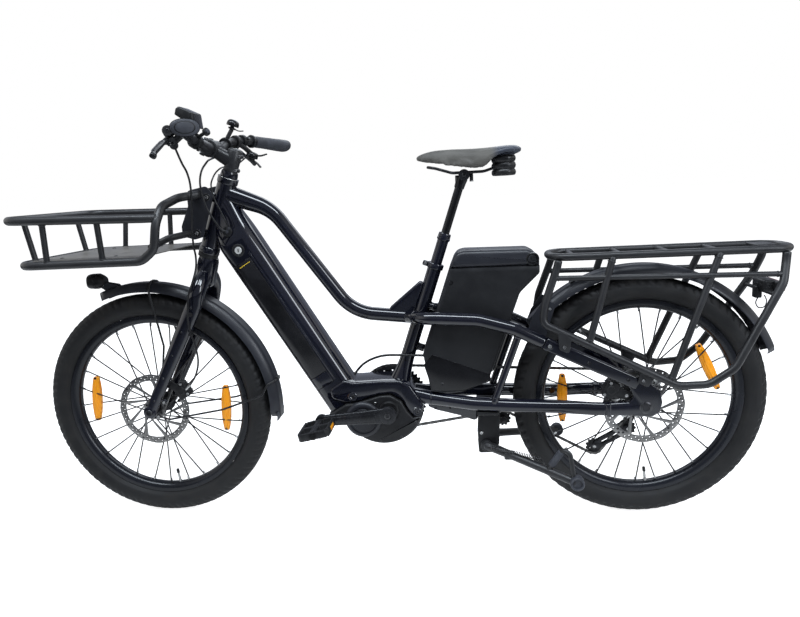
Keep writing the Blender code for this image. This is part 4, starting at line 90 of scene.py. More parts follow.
def frameTo(start, end, side=(0, 1, 0)):
    return frameFrom(start, np.asarray(end, float) - start, side)


def moved(points, place):
    return np.asarray(points, float) @ place[:3, :3].T + place[:3, 3]


def placed(place, *xyz):
    return moved([xyz], place)[0]


def polar(angle, radius=1.0, y=0.0):
    # in the bike's side view, the angle from +X towards +Z
    return vec(radius * math.cos(angle), y, radius * math.sin(angle))


def turnAboutY(degrees, centre=(0, 0, 0)):
    # turns +X towards -Z by the angle, as a positive turn about Y does
    a = math.radians(degrees)
    out = np.eye(4)
    out[:3, :3] = [[math.cos(a), 0, math.sin(a)], [0, 1, 0], [-math.sin(a), 0, math.cos(a)]]
    out[:3, 3] = centre
    return out


# The bike's own lines
bike = {
    "wheelRadius": 0.318, "wheelbase": 1.3, "headAngle": 68.5, "seatAngle": 70.8, "rake": 0.022,
    "forkLength": 0.463, "headLength": 0.206
}
frontAxle = vec(-bike["wheelbase"] / 2, 0, bike["wheelRadius"])
rearAxle = vec(bike["wheelbase"] / 2, 0, bike["wheelRadius"])
crankAxis = vec(0.006, 0, 0.309)
steerUp = polar(math.radians(bike["headAngle"]))
steerBack = vec(steerUp[2], 0, -steerUp[0])
headBottom = frontAxle + steerBack * bike["rake"] + steerUp * bike["forkLength"]
seatUp = polar(math.radians(bike["seatAngle"]))
seatAcross = vec(seatUp[2], 0, -seatUp[0])
seatFoot = crankAxis + vec(0.018, 0, 0.038)
steerFrame = frameFrom(headBottom, steerUp)
downHead = headBottom + steerUp * 0.1154
downFoot = crankAxis + vec(-0.151, 0, 0.0675)
downFrame = frameTo(downHead, downFoot)
downLength = float(np.linalg.norm(downFoot - downHead))
straightUp = (-steerUp[0], 0.0, steerUp[2])     # the world's up, in the steering frame


def steer(*points):
    return moved(points, steerFrame)


def steered(point):
    return steer(point)[0]


def steerWay(direction):
    return unit(steered(direction) - headBottom)


def seatPoint(height, across=0.0, y=0.0):
    return seatFoot + seatUp * height + seatAcross * across + vec(0, y, 0)


# Paths
def rounded(corners, radius, steps=8, loop=False):
    # every inner corner becomes an arc of the radius, from the turned radius vector between both tangents
    points = np.asarray(corners, float)
    if loop:
        points = np.vstack([points[-1], points, points[0]])
    path = [points[0]]
    for before, here, after in zip(points, points[1:], points[2:]):
        into, out = unit(before - here), unit(after - here)
        half = math.acos(np.clip(into @ out, -1, 1)) / 2
        if half > math.pi / 2 - 1e-3:
            path.append(here)
            continue
        longest = 0.49 * min(np.linalg.norm(before - here), np.linalg.norm(after - here))
        reach = min(radius / math.tan(half), longest)
        centre = here + unit(into + out) * (reach / math.cos(half))
        first, last = here + into * reach - centre, here + out * reach - centre
        sweep = math.pi - 2 * half
        share = np.linspace(0, 1, steps + 1)[:, None]
        path.extend(centre + (
            first * np.sin((1 - share) * sweep) + last * np.sin(share * sweep)
        ) / math.sin(sweep))
    path.append(points[-1])
    return np.array(path[1:-1] if loop else path)


def smoothLine(route, spacing):
    # the Catmull-Rom curve through the route's points, then points at even spacing on it
    p = np.asarray(route, float)
    ends = np.vstack([2 * p[0] - p[1], p, 2 * p[-1] - p[-2]])
    t = np.linspace(0, 1, 24, endpoint=False)[None, :, None]
    a, b, c, d = (ends[i:len(ends) - 3 + i][:, None, :] for i in range(4))
    fine = 0.5 * (
        2 * b + (c - a) * t + (2 * a - 5 * b + 4 * c - d) * t ** 2 + (3 * b - a - 3 * c + d) * t ** 3
    )
    return spaced(np.vstack([fine.reshape(-1, 3), p[-1]]), spacing)


def lengthOf(path):
    return float(np.linalg.norm(np.diff(path, axis=0), axis=1).sum())


def apart(start, end):
    return float(np.linalg.norm(np.asarray(end, float) - start))


def spaced(path, spacing):
    path = np.asarray(path, float)
    far = np.concatenate([[0], np.cumsum(np.linalg.norm(np.diff(path, axis=0), axis=1))])
    at = np.linspace(0, far[-1], max(2, round(far[-1] / spacing)) + 1)
    return np.stack([np.interp(at, far, path[:, i]) for i in range(path.shape[1])], 1)


def onCircle(radius, angles, centre=(0.0, 0.0)):
    return np.stack([centre[0] + radius * np.cos(angles), centre[1] + radius * np.sin(angles)], 1)


def ring2d(radius, count, start=0.0, centre=(0.0, 0.0)):
    return onCircle(radius, np.linspace(0, 2 * math.pi, count, endpoint=False) + start, centre)


def arc2d(centre, radius, start, end, steps=8):
    return onCircle(radius, np.radians(np.linspace(start, end, steps + 1)), centre)


def flat3(points):
    return np.hstack([np.asarray(points, float), np.zeros((len(points), 1))])


def outlined(points, radius, steps):
    # a closed outline of (x, z) points with rounded corners
    return rounded(flat3(points), radius, steps, True)[:, :2]


def acrossAlso(half):
    # a route from the left side's points to the right side's
    return [(x, -y, z) for x, y, z in half] + list(reversed(half))


def bothWays(half):
    # a profile of (radius, height) and its mirror image
    return half + [(radius, -height) for radius, height in reversed(half)]


def taper(start, end, share):
    return np.array(start) * (1 - share) + np.array(end) * share


def ease(x):
    x = np.clip(x, 0, 1)
    return x * x * (3 - 2 * x)


# Materials
class Socket:
    # one output socket: arithmetic on it adds Math nodes
    def __init__(self, owner, plug):
        self.owner, self.plug = owner, plug

    def maths(self, operation, *values):
        return self.owner.node("ShaderNodeMath", {"operation": operation}, dict(enumerate(values)))

    def __abs__(self):
        return self.maths("ABSOLUTE", self)

    def orMore(self, other):
        return self.maths("MAXIMUM", self, other)

    def __add__(self, other):
        return self.maths("ADD", self, other)

    def __sub__(self, other):
        return self.maths("SUBTRACT", self, other)

    def __mul__(self, other):
        return self.maths("MULTIPLY", self, other)

    def __radd__(self, other):
        return self.maths("ADD", other, self)

    def __rsub__(self, other):
        return self.maths("SUBTRACT", other, self)

    def __rmul__(self, other):
        return self.maths("MULTIPLY", other, self)

    def ramp(self, low, high, start=0.0, end=1.0):
        settings = {"interpolation_type": "SMOOTHSTEP"}
        sockets = {"Value": self, "From Min": low, "From Max": high, "To Min": start, "To Max": end}
        return self.owner.node("ShaderNodeMapRange", settings, sockets)


class Nodes:
    # a node tree, with the coordinates that its textures read
    def __init__(self, tree, coordinates):
        self.tree = tree
        self.place = self.node("ShaderNodeTexCoord", {}, {}, coordinates)

    def node(self, kind, settings, sockets, output=0):
        made = self.tree.nodes.new(kind)
        for name, value in settings.items():
            setattr(made, name, value)
        for name, value in sockets.items():
            self.feed(made.inputs[name], value)
        return Socket(self, made.outputs[output])

    def feed(self, plug, value):
        if isinstance(value, Socket):
            self.tree.links.new(value.plug, plug)
        else:
            plug.default_value = value

    def ray(self, kind):
        return self.node("ShaderNodeLightPath", {}, {}, f"Is {kind} Ray")

    def part(self, axis):
        return self.node("ShaderNodeSeparateXYZ", {}, {"Vector": self.place}, axis)

    def noise(self, scale, detail=3.0, vector=None):
        return self.node("ShaderNodeTexNoise", {}, {
            "Vector": vector or self.place, "Scale": scale, "Detail": detail
        })

    def cells(self, scale, feature="F1", vector=None):
        return self.node(
            "ShaderNodeTexVoronoi", {"feature": feature}, {"Vector": vector or self.place, "Scale": scale}
        )

    def stretched(self, x, y, z, turn=(0.0, 0.0, 0.0), vector=None):
        return self.node("ShaderNodeMapping", {}, {
            "Vector": vector or self.place, "Scale": (x, y, z), "Rotation": turn
        })

    def blend(self, low, high, share):
        low, high = (value if isinstance(value, Socket) else (*value, 1.0) for value in (low, high))
        return self.node("ShaderNodeMix", {"data_type": "RGBA"}, {0: share, 6: low, 7: high}, 2)

    def bump(self, height, strength, distance):
        return self.node("ShaderNodeBump", {}, {
            "Height": height, "Strength": strength, "Distance": distance
        })


finishes = {}


class Paint(Nodes):
    def __init__(self, name, slot):
        finishes[name] = self
        self.material = bpy.data.materials.new(name)
        self.material.use_nodes = True
        self.slot = slot
        super().__init__(self.material.node_tree, "Object")
        self.shader = self.tree.nodes["Principled BSDF"]

    def edges(self):
        geometry = self.node("ShaderNodeNewGeometry", {}, {}, "Pointiness")
        return geometry.ramp(0.515, 0.6)

    def set(self, **sockets):
        for name, value in sockets.items():
            value = (*value, 1.0) if isinstance(value, tuple) and len(value) == 3 else value
            self.feed(self.shader.inputs[name.replace("_", " ")], value)
        return self


def finish(name, slot, look):
    # a painted, moulded or machined surface: two tones in soft patches, a roughness that varies,
    # fine grain as bump, and edges that have lost a little of their coat
    paint = Paint(name, slot)
    patches = paint.noise(look["patch"], 4.0)
    smears = paint.noise(look["patch"] * 5.3, 5.0).ramp(0.35, 0.7)
    grain = paint.noise(look["grain"], 2.0)
    tone = paint.blend(look["dark"], look["light"], patches.ramp(0.35, 0.68))
    worn = paint.edges() * smears * look.get("wear", 0.4)
    low, high = look["rough"]
    paint.set(
        Base_Color=paint.blend(tone, look["edge"], worn),
        Roughness=low + smears * (high - low) + worn * 0.1, Metallic=look.get("metal", 0.0),
        Normal=paint.bump(grain, look["bump"], look.get("depth", 0.0004)),
        Specular_IOR_Level=look.get("specular", 0.5), Coat_Weight=look.get("coat", 0.0),
        Coat_Roughness=look.get("coatRough", 0.05), Coat_IOR=look.get("coatIor", 1.5)
    )


looks = {
    "glossPaint": ("gloss_frame", {
        "dark": (0.0028, 0.0032, 0.0064), "light": (0.005, 0.0058, 0.012), "edge": (0.02, 0.024, 0.04),
        "rough": (0.14, 0.22), "patch": 3.0, "grain": 900.0, "bump": 0.008, "coat": 1.0, "coatRough": 0.03,
        "coatIor": 1.5, "specular": 0.1, "wear": 0.04
    }),
    "mattePaint": ("matte_black", {
        "dark": (0.0105, 0.0106, 0.0115), "light": (0.018, 0.0182, 0.02), "edge": (0.05, 0.05, 0.055),
        "rough": (0.34, 0.46), "patch": 6.0, "grain": 1400.0, "bump": 0.16, "wear": 0.25, "specular": 0.42
    }),
    "satinGuard": ("satin_guard", {
        "dark": (0.011, 0.0116, 0.015), "light": (0.019, 0.0204, 0.0262), "edge": (0.05, 0.052, 0.062),
        "rough": (0.32, 0.42), "patch": 5.0, "grain": 1800.0, "bump": 0.1, "specular": 0.34, "wear": 0.2
    }),
    "casePlastic": ("case_plastic", {
        "dark": (0.008, 0.0083, 0.0094), "light": (0.0125, 0.013, 0.0145), "edge": (0.05, 0.05, 0.055),
        "rough": (0.4, 0.52), "patch": 7.0, "grain": 1100.0, "bump": 0.4, "wear": 0.25, "specular": 0.26
    }),
    "blackPlastic": ("plastic", {
        "dark": (0.006, 0.0061, 0.0066), "light": (0.011, 0.0111, 0.012), "edge": (0.05, 0.05, 0.05),
        "rough": (0.34, 0.48), "patch": 12.0, "grain": 1500.0, "bump": 0.28, "specular": 0.28
    }),
    "glossPlastic": ("plastic", {
        "dark": (0.004, 0.004, 0.0046), "light": (0.0075, 0.0075, 0.0088), "edge": (0.03, 0.03, 0.03),
        "rough": (0.12, 0.2), "patch": 9.0, "grain": 1300.0, "bump": 0.04, "coat": 0.35, "coatIor": 1.4,
        "specular": 0.22, "wear": 0.2
    }),
    "rimBlack": ("rim_black", {
        "dark": (0.0055, 0.0062, 0.0085), "light": (0.0095, 0.0108, 0.015), "edge": (0.05, 0.05, 0.055),
        "rough": (0.22, 0.28), "patch": 2.5, "grain": 1200.0, "bump": 0.04, "metal": 0.15, "specular": 0.34,
        "wear": 0.1
    }),
    "darkSteel": ("dark_steel", {
        "dark": (0.026, 0.026, 0.028), "light": (0.048, 0.048, 0.051), "edge": (0.22, 0.22, 0.22),
        "rough": (0.26, 0.38), "patch": 14.0, "grain": 1600.0, "bump": 0.12, "metal": 0.85
    }),
    "brightSteel": ("steel", {
        "dark": (0.34, 0.34, 0.335), "light": (0.5, 0.5, 0.49), "edge": (0.7, 0.7, 0.69),
        "rough": (0.22, 0.36), "patch": 18.0, "grain": 1400.0, "bump": 0.1, "metal": 1.0
    }),
    "satinNickel": ("steel", {
        "dark": (0.5, 0.5, 0.485), "light": (0.66, 0.66, 0.645), "edge": (0.8, 0.8, 0.79),
        "rough": (0.3, 0.42), "patch": 40.0, "grain": 1600.0, "bump": 0.1, "metal": 0.35
    }),
    "darkAlloy": ("dark_alloy", {
        "dark": (0.01, 0.0104, 0.0118), "light": (0.019, 0.0195, 0.022), "edge": (0.12, 0.12, 0.125),
        "rough": (0.22, 0.32), "patch": 10.0, "grain": 1500.0, "bump": 0.08, "metal": 0.4, "wear": 0.3,
        "specular": 0.4
    }),
    "gripRubber": ("rubber", {
        "dark": (0.026, 0.028, 0.035), "light": (0.042, 0.045, 0.056), "edge": (0.1, 0.1, 0.115),
        "rough": (0.5, 0.66), "patch": 20.0, "grain": 900.0, "bump": 0.45, "specular": 0.4
    }),
    "hoseRubber": ("rubber", {
        "dark": (0.0055, 0.0055, 0.0062), "light": (0.01, 0.01, 0.0112), "edge": (0.03, 0.03, 0.03),
        "rough": (0.3, 0.44), "patch": 22.0, "grain": 1500.0, "bump": 0.1, "specular": 0.35
    }),
    "chainSteel": ("dark_steel", {
        "dark": (0.045, 0.043, 0.041), "light": (0.095, 0.091, 0.087), "edge": (0.3, 0.3, 0.29),
        "rough": (0.26, 0.46), "patch": 60.0, "grain": 1400.0, "bump": 0.1, "metal": 0.9
    })
}
for name, (slot, look) in looks.items():
    finish(name, slot, look)


def tyreRubber():
    # rubber in two dark tones, with pale dust in patches
    paint = Paint("tyreRubber", "tyre")
    dust = paint.noise(26.0, 6.0).ramp(0.42, 0.72)
    fine = paint.noise(700.0, 3.0)
    radial = paint.noise(5.0, 2.0)
    tone = paint.blend((0.0045, 0.0045, 0.005), (0.009, 0.009, 0.0096), radial.ramp(0.3, 0.7))
    paint.set(
        Base_Color=paint.blend(tone, (0.03, 0.0285, 0.0265), dust * 0.35), Roughness=0.6 + dust * 0.2,
        Normal=paint.bump(fine, 0.4, 0.0006), Specular_IOR_Level=0.3
    )


def brushedDisc():
    # a stainless disc with fine streaks, and patches that heat has darkened
    paint = Paint("brushedDisc", "steel")
    streaks = paint.noise(420.0, 3.0, paint.stretched(1.0, 8.0, 1.0))
    heat = paint.noise(9.0, 3.0).ramp(0.4, 0.7)
    tone = paint.blend((0.15, 0.147, 0.143), (0.3, 0.295, 0.288), streaks)
    paint.set(
        Base_Color=paint.blend(tone, (0.12, 0.114, 0.105), heat * 0.4), Metallic=1.0,
        Roughness=0.24 + streaks * 0.16, Normal=paint.bump(streaks, 0.12, 0.0003)
    )


def saddleSkin():
    # grained vinyl: small cells with rounded tops, and a smoother blue-grey panel towards the tail
    paint = Paint("saddleSkin", "saddle_skin")
    cells = paint.cells(760.0)
    fine = paint.noise(2400.0, 2.0)
    soft = paint.noise(16.0, 4.0)
    tail = paint.part("X").ramp(0.268, 0.292)
    tone = paint.blend((0.063, 0.06, 0.054), (0.096, 0.092, 0.083), soft.ramp(0.3, 0.7))
    paint.set(
        Base_Color=paint.blend(tone, (0.034, 0.04, 0.056), tail), Roughness=0.54 - tail * 0.2 + soft * 0.08,
        Normal=paint.bump(cells * 0.7 + fine * 0.3, 0.55, 0.0007), Specular_IOR_Level=0.4
    )


def boardTop():
    # a resin-faced board: long faint fibres, small pores, scuffs
    paint = Paint("boardTop", "floor_board")
    fibres = paint.noise(60.0, 5.0, paint.stretched(1.0, 14.0, 1.0))
    pores = paint.cells(420.0).ramp(0.0, 0.16)
    scuffs = paint.noise(12.0, 6.0).ramp(0.45, 0.72)
    tone = paint.blend((0.1, 0.092, 0.082), (0.165, 0.152, 0.136), fibres.ramp(0.3, 0.7))
    tone = paint.blend((0.06, 0.055, 0.05), tone, pores * 0.6 + 0.4)
    paint.set(
        Base_Color=paint.blend(tone, (0.21, 0.2, 0.185), scuffs * 0.3), Roughness=0.34 + scuffs * 0.2,
        Normal=paint.bump(pores * 0.6 + fibres * 0.4, 0.25, 0.0004)
    )


def moulded(name, slot, colour, deep, rough, ribs):
    # a clear-coloured lens: prisms behind the face as a grid of fine waves
    paint = Paint(name, slot)
    sockets = {"Vector": paint.place, "Scale": ribs, "Distortion": 0.0}
    rows, columns = (
        paint.node("ShaderNodeTexWave", {"wave_type": "BANDS", "bands_direction": axis}, sockets, "Fac")
        for axis in ("Z", "X")
    )
    prisms = rows * 0.5 + columns * 0.5
    paint.set(
        Base_Color=paint.blend(deep, colour, prisms.ramp(0.2, 0.8)), Roughness=rough + prisms * 0.08,
        Normal=paint.bump(prisms, 0.22, 0.0008), Coat_Weight=0.3, Coat_Roughness=0.06,
        Specular_IOR_Level=0.3
    )


def frontGlass():
    # the lamp's clear cover, with faint moulded lines
    paint = Paint("frontGlass", "glass")
    lines = paint.noise(300.0, 1.0, paint.stretched(1.0, 6.0, 0.2))
    paint.set(
        Base_Color=(0.62, 0.65, 0.68), Roughness=0.05 + lines * 0.08,
        Normal=paint.bump(lines, 0.15, 0.0004), Coat_Weight=0.7, Metallic=0.55
    )


def screenGlass():
    paint = Paint("screenGlass", "glass")
    smear = paint.noise(90.0, 4.0).ramp(0.4, 0.7)
    paint.set(
        Base_Color=(0.01, 0.011, 0.013), Roughness=0.06 + smear * 0.12, Coat_Weight=0.5,
        Normal=paint.bump(smear, 0.04, 0.0002)
    )


tyreRubber()
brushedDisc()
saddleSkin()
boardTop()
moulded("amberLens", "plastic", (0.98, 0.42, 0.008), (0.86, 0.25, 0.003), 0.24, 110.0)
moulded("redLens", "lamp_red", (0.34, 0.008, 0.006), (0.12, 0.003, 0.003), 0.14, 90.0)
moulded("clearLens", "glass", (0.42, 0.43, 0.44), (0.24, 0.25, 0.26), 0.18, 140.0)
moulded("warmLine", "case_plastic", (0.62, 0.44, 0.03), (0.5, 0.33, 0.02), 0.35, 200.0)
frontGlass()
screenGlass()
print("finishes ready:", len(finishes))


# Pieces
class Piece:
    # gathers closed surfaces as arrays, then makes one object of them in the frame's own place
    def __init__(self, name, body, main, replaces=(), sharp=32.0):
        self.name, self.body, self.main, self.replaces, self.sharp = name, body, main, replaces, sharp
        self.points, self.faces, self.tones, self.names, self.count = [], [], [], [main], 0

    def add(self, points, faces, tone=None):
        # faces turn round if the closed surface they make would face inwards
        points = np.asarray(points, float).reshape(-1, 3)
        volume, centre = 0.0, points.mean(0)
        quads = np.array([f for f in faces if len(f) == 4])
        if len(quads):
            p = points[quads] - centre
            cross = np.cross(p[:, 1], p[:, 2]) + np.cross(p[:, 2], p[:, 3])
            volume += np.einsum("ij,ij->i", p[:, 0], cross).sum()
        for f in faces:
            if len(f) != 4:
                p = points[list(f)] - centre
                volume += np.einsum("j,ij->i", p[0], np.cross(p[1:-1], p[2:])).sum()
        if volume < 0:
            faces = [tuple(reversed(f)) for f in faces]
        if tone is not None and tone not in self.names:
            self.names.append(tone)
        index = self.names.index(tone or self.main)
        self.points.append(points)
        self.faces.extend(tuple(i + self.count for i in f) for f in faces)
        self.tones.extend([index] * len(faces))
        self.count += len(points)
        return self

    def grid(self, points, loop=False, tone=None):
        # closed rings of points: quads between neighbours, and a cap on each end or a closed loop
        points = np.asarray(points, float)
        n, m = points.shape[:2]
        i, j = np.meshgrid(np.arange(n if loop else n - 1), np.arange(m), indexing="ij")
        a, b = i * m + j, i * m + (j + 1) % m
        c, d = ((i + 1) % n) * m + (j + 1) % m, ((i + 1) % n) * m + j
        faces = np.stack([a, b, c, d], -1).reshape(-1, 4).tolist()
        if not loop:
            faces += [list(range(m))[::-1], list(range((n - 1) * m, n * m))]
        return self.add(points, [tuple(f) for f in faces], tone)

    def sweep(self, path, size, sides=20, side=None, power=2.0, ends=0.22, loop=False, tone=None):
        # a superellipse |a|^p + |b|^p = 1 of half sizes (across, along the side), carried along the path
        # on a frame that turns as little as it can. Ends are drawn in by a share of the size
        path = np.asarray(path, float)
        size = np.asarray(size, float)
        if size.ndim == 1 and len(size) == len(path):
            size = size[:, None]
        size = np.broadcast_to(size, (len(path), 2)).copy()
        steps = unit(np.diff(np.vstack([path, path[:1]]) if loop else path, axis=0))
        opening = steps[:1] + (steps[-1:] if loop else 0)
        tangent = unit(np.vstack([opening, steps[:-1] + steps[1:], steps[-1:]])[:len(path)])
        if not loop:
            tangent[-1] = steps[-1]
        reference = np.array(crossing(tangent[0]) if side is None else side, float)
        y = [unit(reference - tangent[0] * (reference @ tangent[0]))]
        for before, t in zip(tangent, tangent[1:]):
            axis = np.cross(before, t)
            turn = y[-1] + np.cross(axis, y[-1]) + np.cross(axis, np.cross(axis, y[-1])) / (1 + before @ t)
            y.append(unit(turn - t * (turn @ t)))
        y = np.array(y)
        x = np.cross(y, tangent)
        if ends and not loop:
            cut = ends * size[[0, -1]].min()
            path = np.vstack([
                path[:1], path[:1] + tangent[:1] * cut * 0.35, path[:1] + tangent[:1] * cut, path[1:-1],
                path[-1:] - tangent[-1:] * cut, path[-1:] - tangent[-1:] * cut * 0.35, path[-1:]
            ])
            first, last = size[0], size[-1]
            size = np.vstack([
                first - cut, first - cut * 0.35, first, size[1:-1], last, last - cut * 0.35, last - cut
            ])
            x = np.vstack([x[[0, 0, 0]], x[1:-1], x[[-1, -1, -1]]])
            y = np.vstack([y[[0, 0, 0]], y[1:-1], y[[-1, -1, -1]]])
        a = np.linspace(0, 2 * math.pi, sides, endpoint=False)
        c, s = np.cos(a), np.sin(a)
        c, s = np.sign(c) * np.abs(c) ** (2 / power), np.sign(s) * np.abs(s) ** (2 / power)
        wide, deep = (size[:, :1] * c)[..., None], (size[:, 1:] * s)[..., None]
        rings = path[:, None] + x[:, None] * wide + y[:, None] * deep
        return self.grid(rings, loop, tone)

    def lathe(self, profile, place, steps=40, loop=False, tone=None):
        # points (radius, height) turned about the frame's Z axis
        profile = np.asarray(profile, float)
        a = np.linspace(0, 2 * math.pi, steps, endpoint=False)
        rings = np.stack([
            profile[:, :1] * np.cos(a), profile[:, :1] * np.sin(a),
            np.broadcast_to(profile[:, 1:], (len(profile), steps))
        ], -1)
        return self.grid(moved(rings, place), loop, tone)

    def rod(self, start, end, radius, endRadius=None, edge=0.0008, steps=28, tone=None):
        # a turned bar or cone with eased edges
        length = apart(start, end)
        last = radius if endRadius is None else endRadius
        e = min(edge, radius * 0.4, last * 0.4, length * 0.4)
        profile = [
            (radius - e, 0), (radius - e * 0.3, e * 0.3), (radius, e), (last, length - e),
            (last - e * 0.3, length - e * 0.3), (last - e, length)
        ]
        side = crossing(np.asarray(end, float) - start)
        return self.lathe(profile, frameTo(np.asarray(start, float), end, side), steps, False, tone)

    def prism(self, outline, low, high, bevel=0.001, place=None, tone=None, inset=None):
        # an outline of (x, z) points between two values of y: rings set in by a quarter circle at each edge
        p = np.asarray(outline, float)
        into, out = unit(p - np.roll(p, 1, 0)), unit(np.roll(p, -1, 0) - p)
        area = (p[:, 0] * np.roll(p[:, 1], -1) - np.roll(p[:, 0], -1) * p[:, 1]).sum()
        normal = np.stack([into[:, 1] + out[:, 1], -into[:, 0] - out[:, 0]], 1) * np.sign(area)
        normal = normal * (2 / np.maximum((normal ** 2).sum(1, keepdims=True), 1.2))
        turn = np.linspace(0, math.pi / 2, 4)
        inset, rise = (inset or bevel) * (1 - np.sin(turn)), bevel * (1 - np.cos(turn))
        inset = np.concatenate([inset, inset[::-1]])
        y = np.concatenate([low + rise, high - rise[::-1]])
        rings = p[None] - normal[None] * inset[:, None, None]
        points = np.stack([rings[..., 0], np.broadcast_to(y[:, None], rings.shape[:2]), rings[..., 1]], -1)
        return self.grid(points if place is None else moved(points, place), False, tone)

    def block(self, low, high, corner=0.003, bevel=0.001, place=None, tone=None):
        # a rounded box: a rectangle with rounded corners in X and Z, between two values of y
        (x0, y0, z0), (x1, y1, z1) = low, high
        outline = outlined([(x0, z0), (x1, z0), (x1, z1), (x0, z1)], corner, 4)
        return self.prism(outline, y0, y1, min(bevel, (y1 - y0) * 0.4), place, tone)

    def holed(self, loops, low, high, bevel=0.0003, place=None, tone=None):
        # a flat filled curve of an outer loop and its holes, extruded and eased, taken as a mesh
        data = bpy.data.curves.new("flat", "CURVE")
        data.dimensions, data.fill_mode = "2D", "BOTH"
        data.bevel_depth, data.offset, data.bevel_resolution = bevel, -bevel, 1
        data.extrude = (high - low) / 2 - bevel
        for loop in loops:
            spline = data.splines.new("POLY")
            spline.points.add(len(loop) - 1)
            flat = np.hstack([np.asarray(loop, float), np.zeros((len(loop), 1)), np.ones((len(loop), 1))])
            spline.points.foreach_set("co", flat.astype(np.float32).ravel())
            spline.use_cyclic_u = True
        thing = bpy.data.objects.new("flat", data)
        bpy.context.scene.collection.objects.link(thing)
        bpy.context.view_layer.update()
        mesh = bpy.data.meshes.new_from_object(thing.evaluated_get(bpy.context.evaluated_depsgraph_get()))
        bm = bmesh.new()
        bm.from_mesh(mesh)
        bmesh.ops.remove_doubles(bm, verts=bm.verts, dist=0.00001)
        bmesh.ops.recalc_face_normals(bm, faces=bm.faces)
        points = np.array([v.co for v in bm.verts], float)
        faces = [tuple(v.index for v in f.verts) for f in bm.faces]
        bm.free()
        bpy.data.objects.remove(thing, do_unlink=True)
        bpy.data.meshes.remove(mesh)
        bpy.data.curves.remove(data)
        points = np.stack([points[:, 0], points[:, 2] + (low + high) / 2, points[:, 1]], 1)
        return self.add(points if place is None else moved(points, place), faces, tone)

    def bolt(self, centre, direction, radius=0.0045, height=0.003, tone="darkSteel"):
        # a socket-head bolt: a rounded head with its hexagon recess as a darker well
        place = frameFrom(
            np.asarray(centre, float), direction, (0, 0, 1) if abs(unit(direction)[2]) < 0.9 else (1, 0, 0)
        )
        r, h = radius, height
        self.lathe([
            (r * 0.96, 0), (r, h * 0.15), (r, h * 0.7), (r * 0.86, h), (r * 0.56, h), (r * 0.52, h * 0.82),
            (r * 0.5, h * 0.35), (r * 0.08, h * 0.3)
        ], place, 18, False, tone)
        return self

    def done(self):
        mesh = bpy.data.meshes.new(self.name)
        points = np.vstack(self.points) + workShift
        mesh.from_pydata(points.tolist(), [], self.faces)
        mesh.polygons.foreach_set("material_index", np.array(self.tones, np.int32))
        for name in self.names:
            mesh.materials.append(finishes[name].material)
        mesh.shade_smooth()
        mesh.set_sharp_from_angle(angle=math.radians(self.sharp))
        mesh.update()
        thing = bpy.data.objects.new(self.name, mesh)
        bpy.context.scene.collection.objects.link(thing)
        if self.body:
            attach(thing, self.body)
        if self.replaces:
            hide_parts(*self.replaces)
        return thing


def flank(piece, outline, side, near, far, bevel, tone=None, inset=None):
    # a plate between two distances from the middle, on one side
    low, high = sorted((side * near, side * far))
    piece.prism(outline, low, high, bevel, None, tone, inset)


# Camera, floor and light
view = {
    "place": (0.20310888, -1.59096535, 0.89477332), "lens": 27.935, "yaw": -6.28886881,
    "pitch": 11.41450927, "roll": -3.09134504
}
yaw, pitch, roll = (math.radians(view[k]) for k in ("yaw", "pitch", "roll"))
ahead = vec(math.sin(yaw) * math.cos(pitch), math.cos(yaw) * math.cos(pitch), -math.sin(pitch))
level = vec(math.cos(yaw), -math.sin(yaw), 0)
above = np.cross(level, ahead)
rightWay = level * math.cos(roll) + above * math.sin(roll)
upWay = above * math.cos(roll) - level * math.sin(roll)
lens = bpy.data.cameras.new("camera")
lens.lens, lens.sensor_width = view["lens"], 36.0
lens.clip_start, lens.clip_end = 0.05, 100.0
camera = bpy.data.objects.new("camera", lens)
place = np.eye(4)
place[:3, 0], place[:3, 1], place[:3, 2], place[:3, 3] = rightWay, upWay, -ahead, view["place"]
camera.matrix_world = Matrix(place.tolist())
bpy.context.scene.collection.objects.link(camera)
bpy.context.scene.camera = camera
bpy.context.scene.view_settings.view_transform = "Standard"

studio = {
    "floorHalf": 30.0, "floorTone": (0.82, 0.82, 0.82), "floorLift": 0.86, "worldLight": 0.36,
    "ceiling": (0.3, 0.33, 0.4), "longWall": (0.26, 0.28, 0.34), "floorMirror": 0.25,
    "roomFloor": (0.16, 0.165, 0.18), "sheetEdge": (0.5, 1.2), "ceilingEdge": (0.46, 0.8),
    "wallEdge": (0.35, 0.85)
}


def studioFloor():
    half, below = studio["floorHalf"], -0.0006
    mesh = bpy.data.meshes.new("floor")
    corners = [(x * half, y * half, below) for x, y in ((-1, -1), (1, -1), (1, 1), (-1, 1))]
    mesh.from_pydata(corners, [], [(0, 1, 2, 3)])
    floor = bpy.data.objects.new("floor", mesh)
    bpy.context.scene.collection.objects.link(floor)
    paint = Paint("paleFloor", None)
    camera, glossy, transmission = (paint.ray(kind) for kind in ("Camera", "Glossy", "Transmission"))
    # in reflections the pale sheet is as wide as the bike's surroundings, and the floor beyond it is dimmer
    beyond = abs(paint.part("Y")).ramp(*studio["sheetEdge"]) * glossy
    seen = camera.orMore(glossy * studio["floorMirror"]).orMore(transmission) * (1.0 - beyond)
    sheet = paint.blend(studio["floorTone"], (0.84, 0.84, 0.84), paint.noise(1.3, 2.0))
    paint.set(
        Base_Color=paint.blend(sheet, studio["roomFloor"], beyond), Roughness=0.85, Specular_IOR_Level=0.1,
        Emission_Color=paint.blend((0, 0, 0), (1, 1, 1), seen), Emission_Strength=studio["floorLift"])
    mesh.materials.append(paint.material)


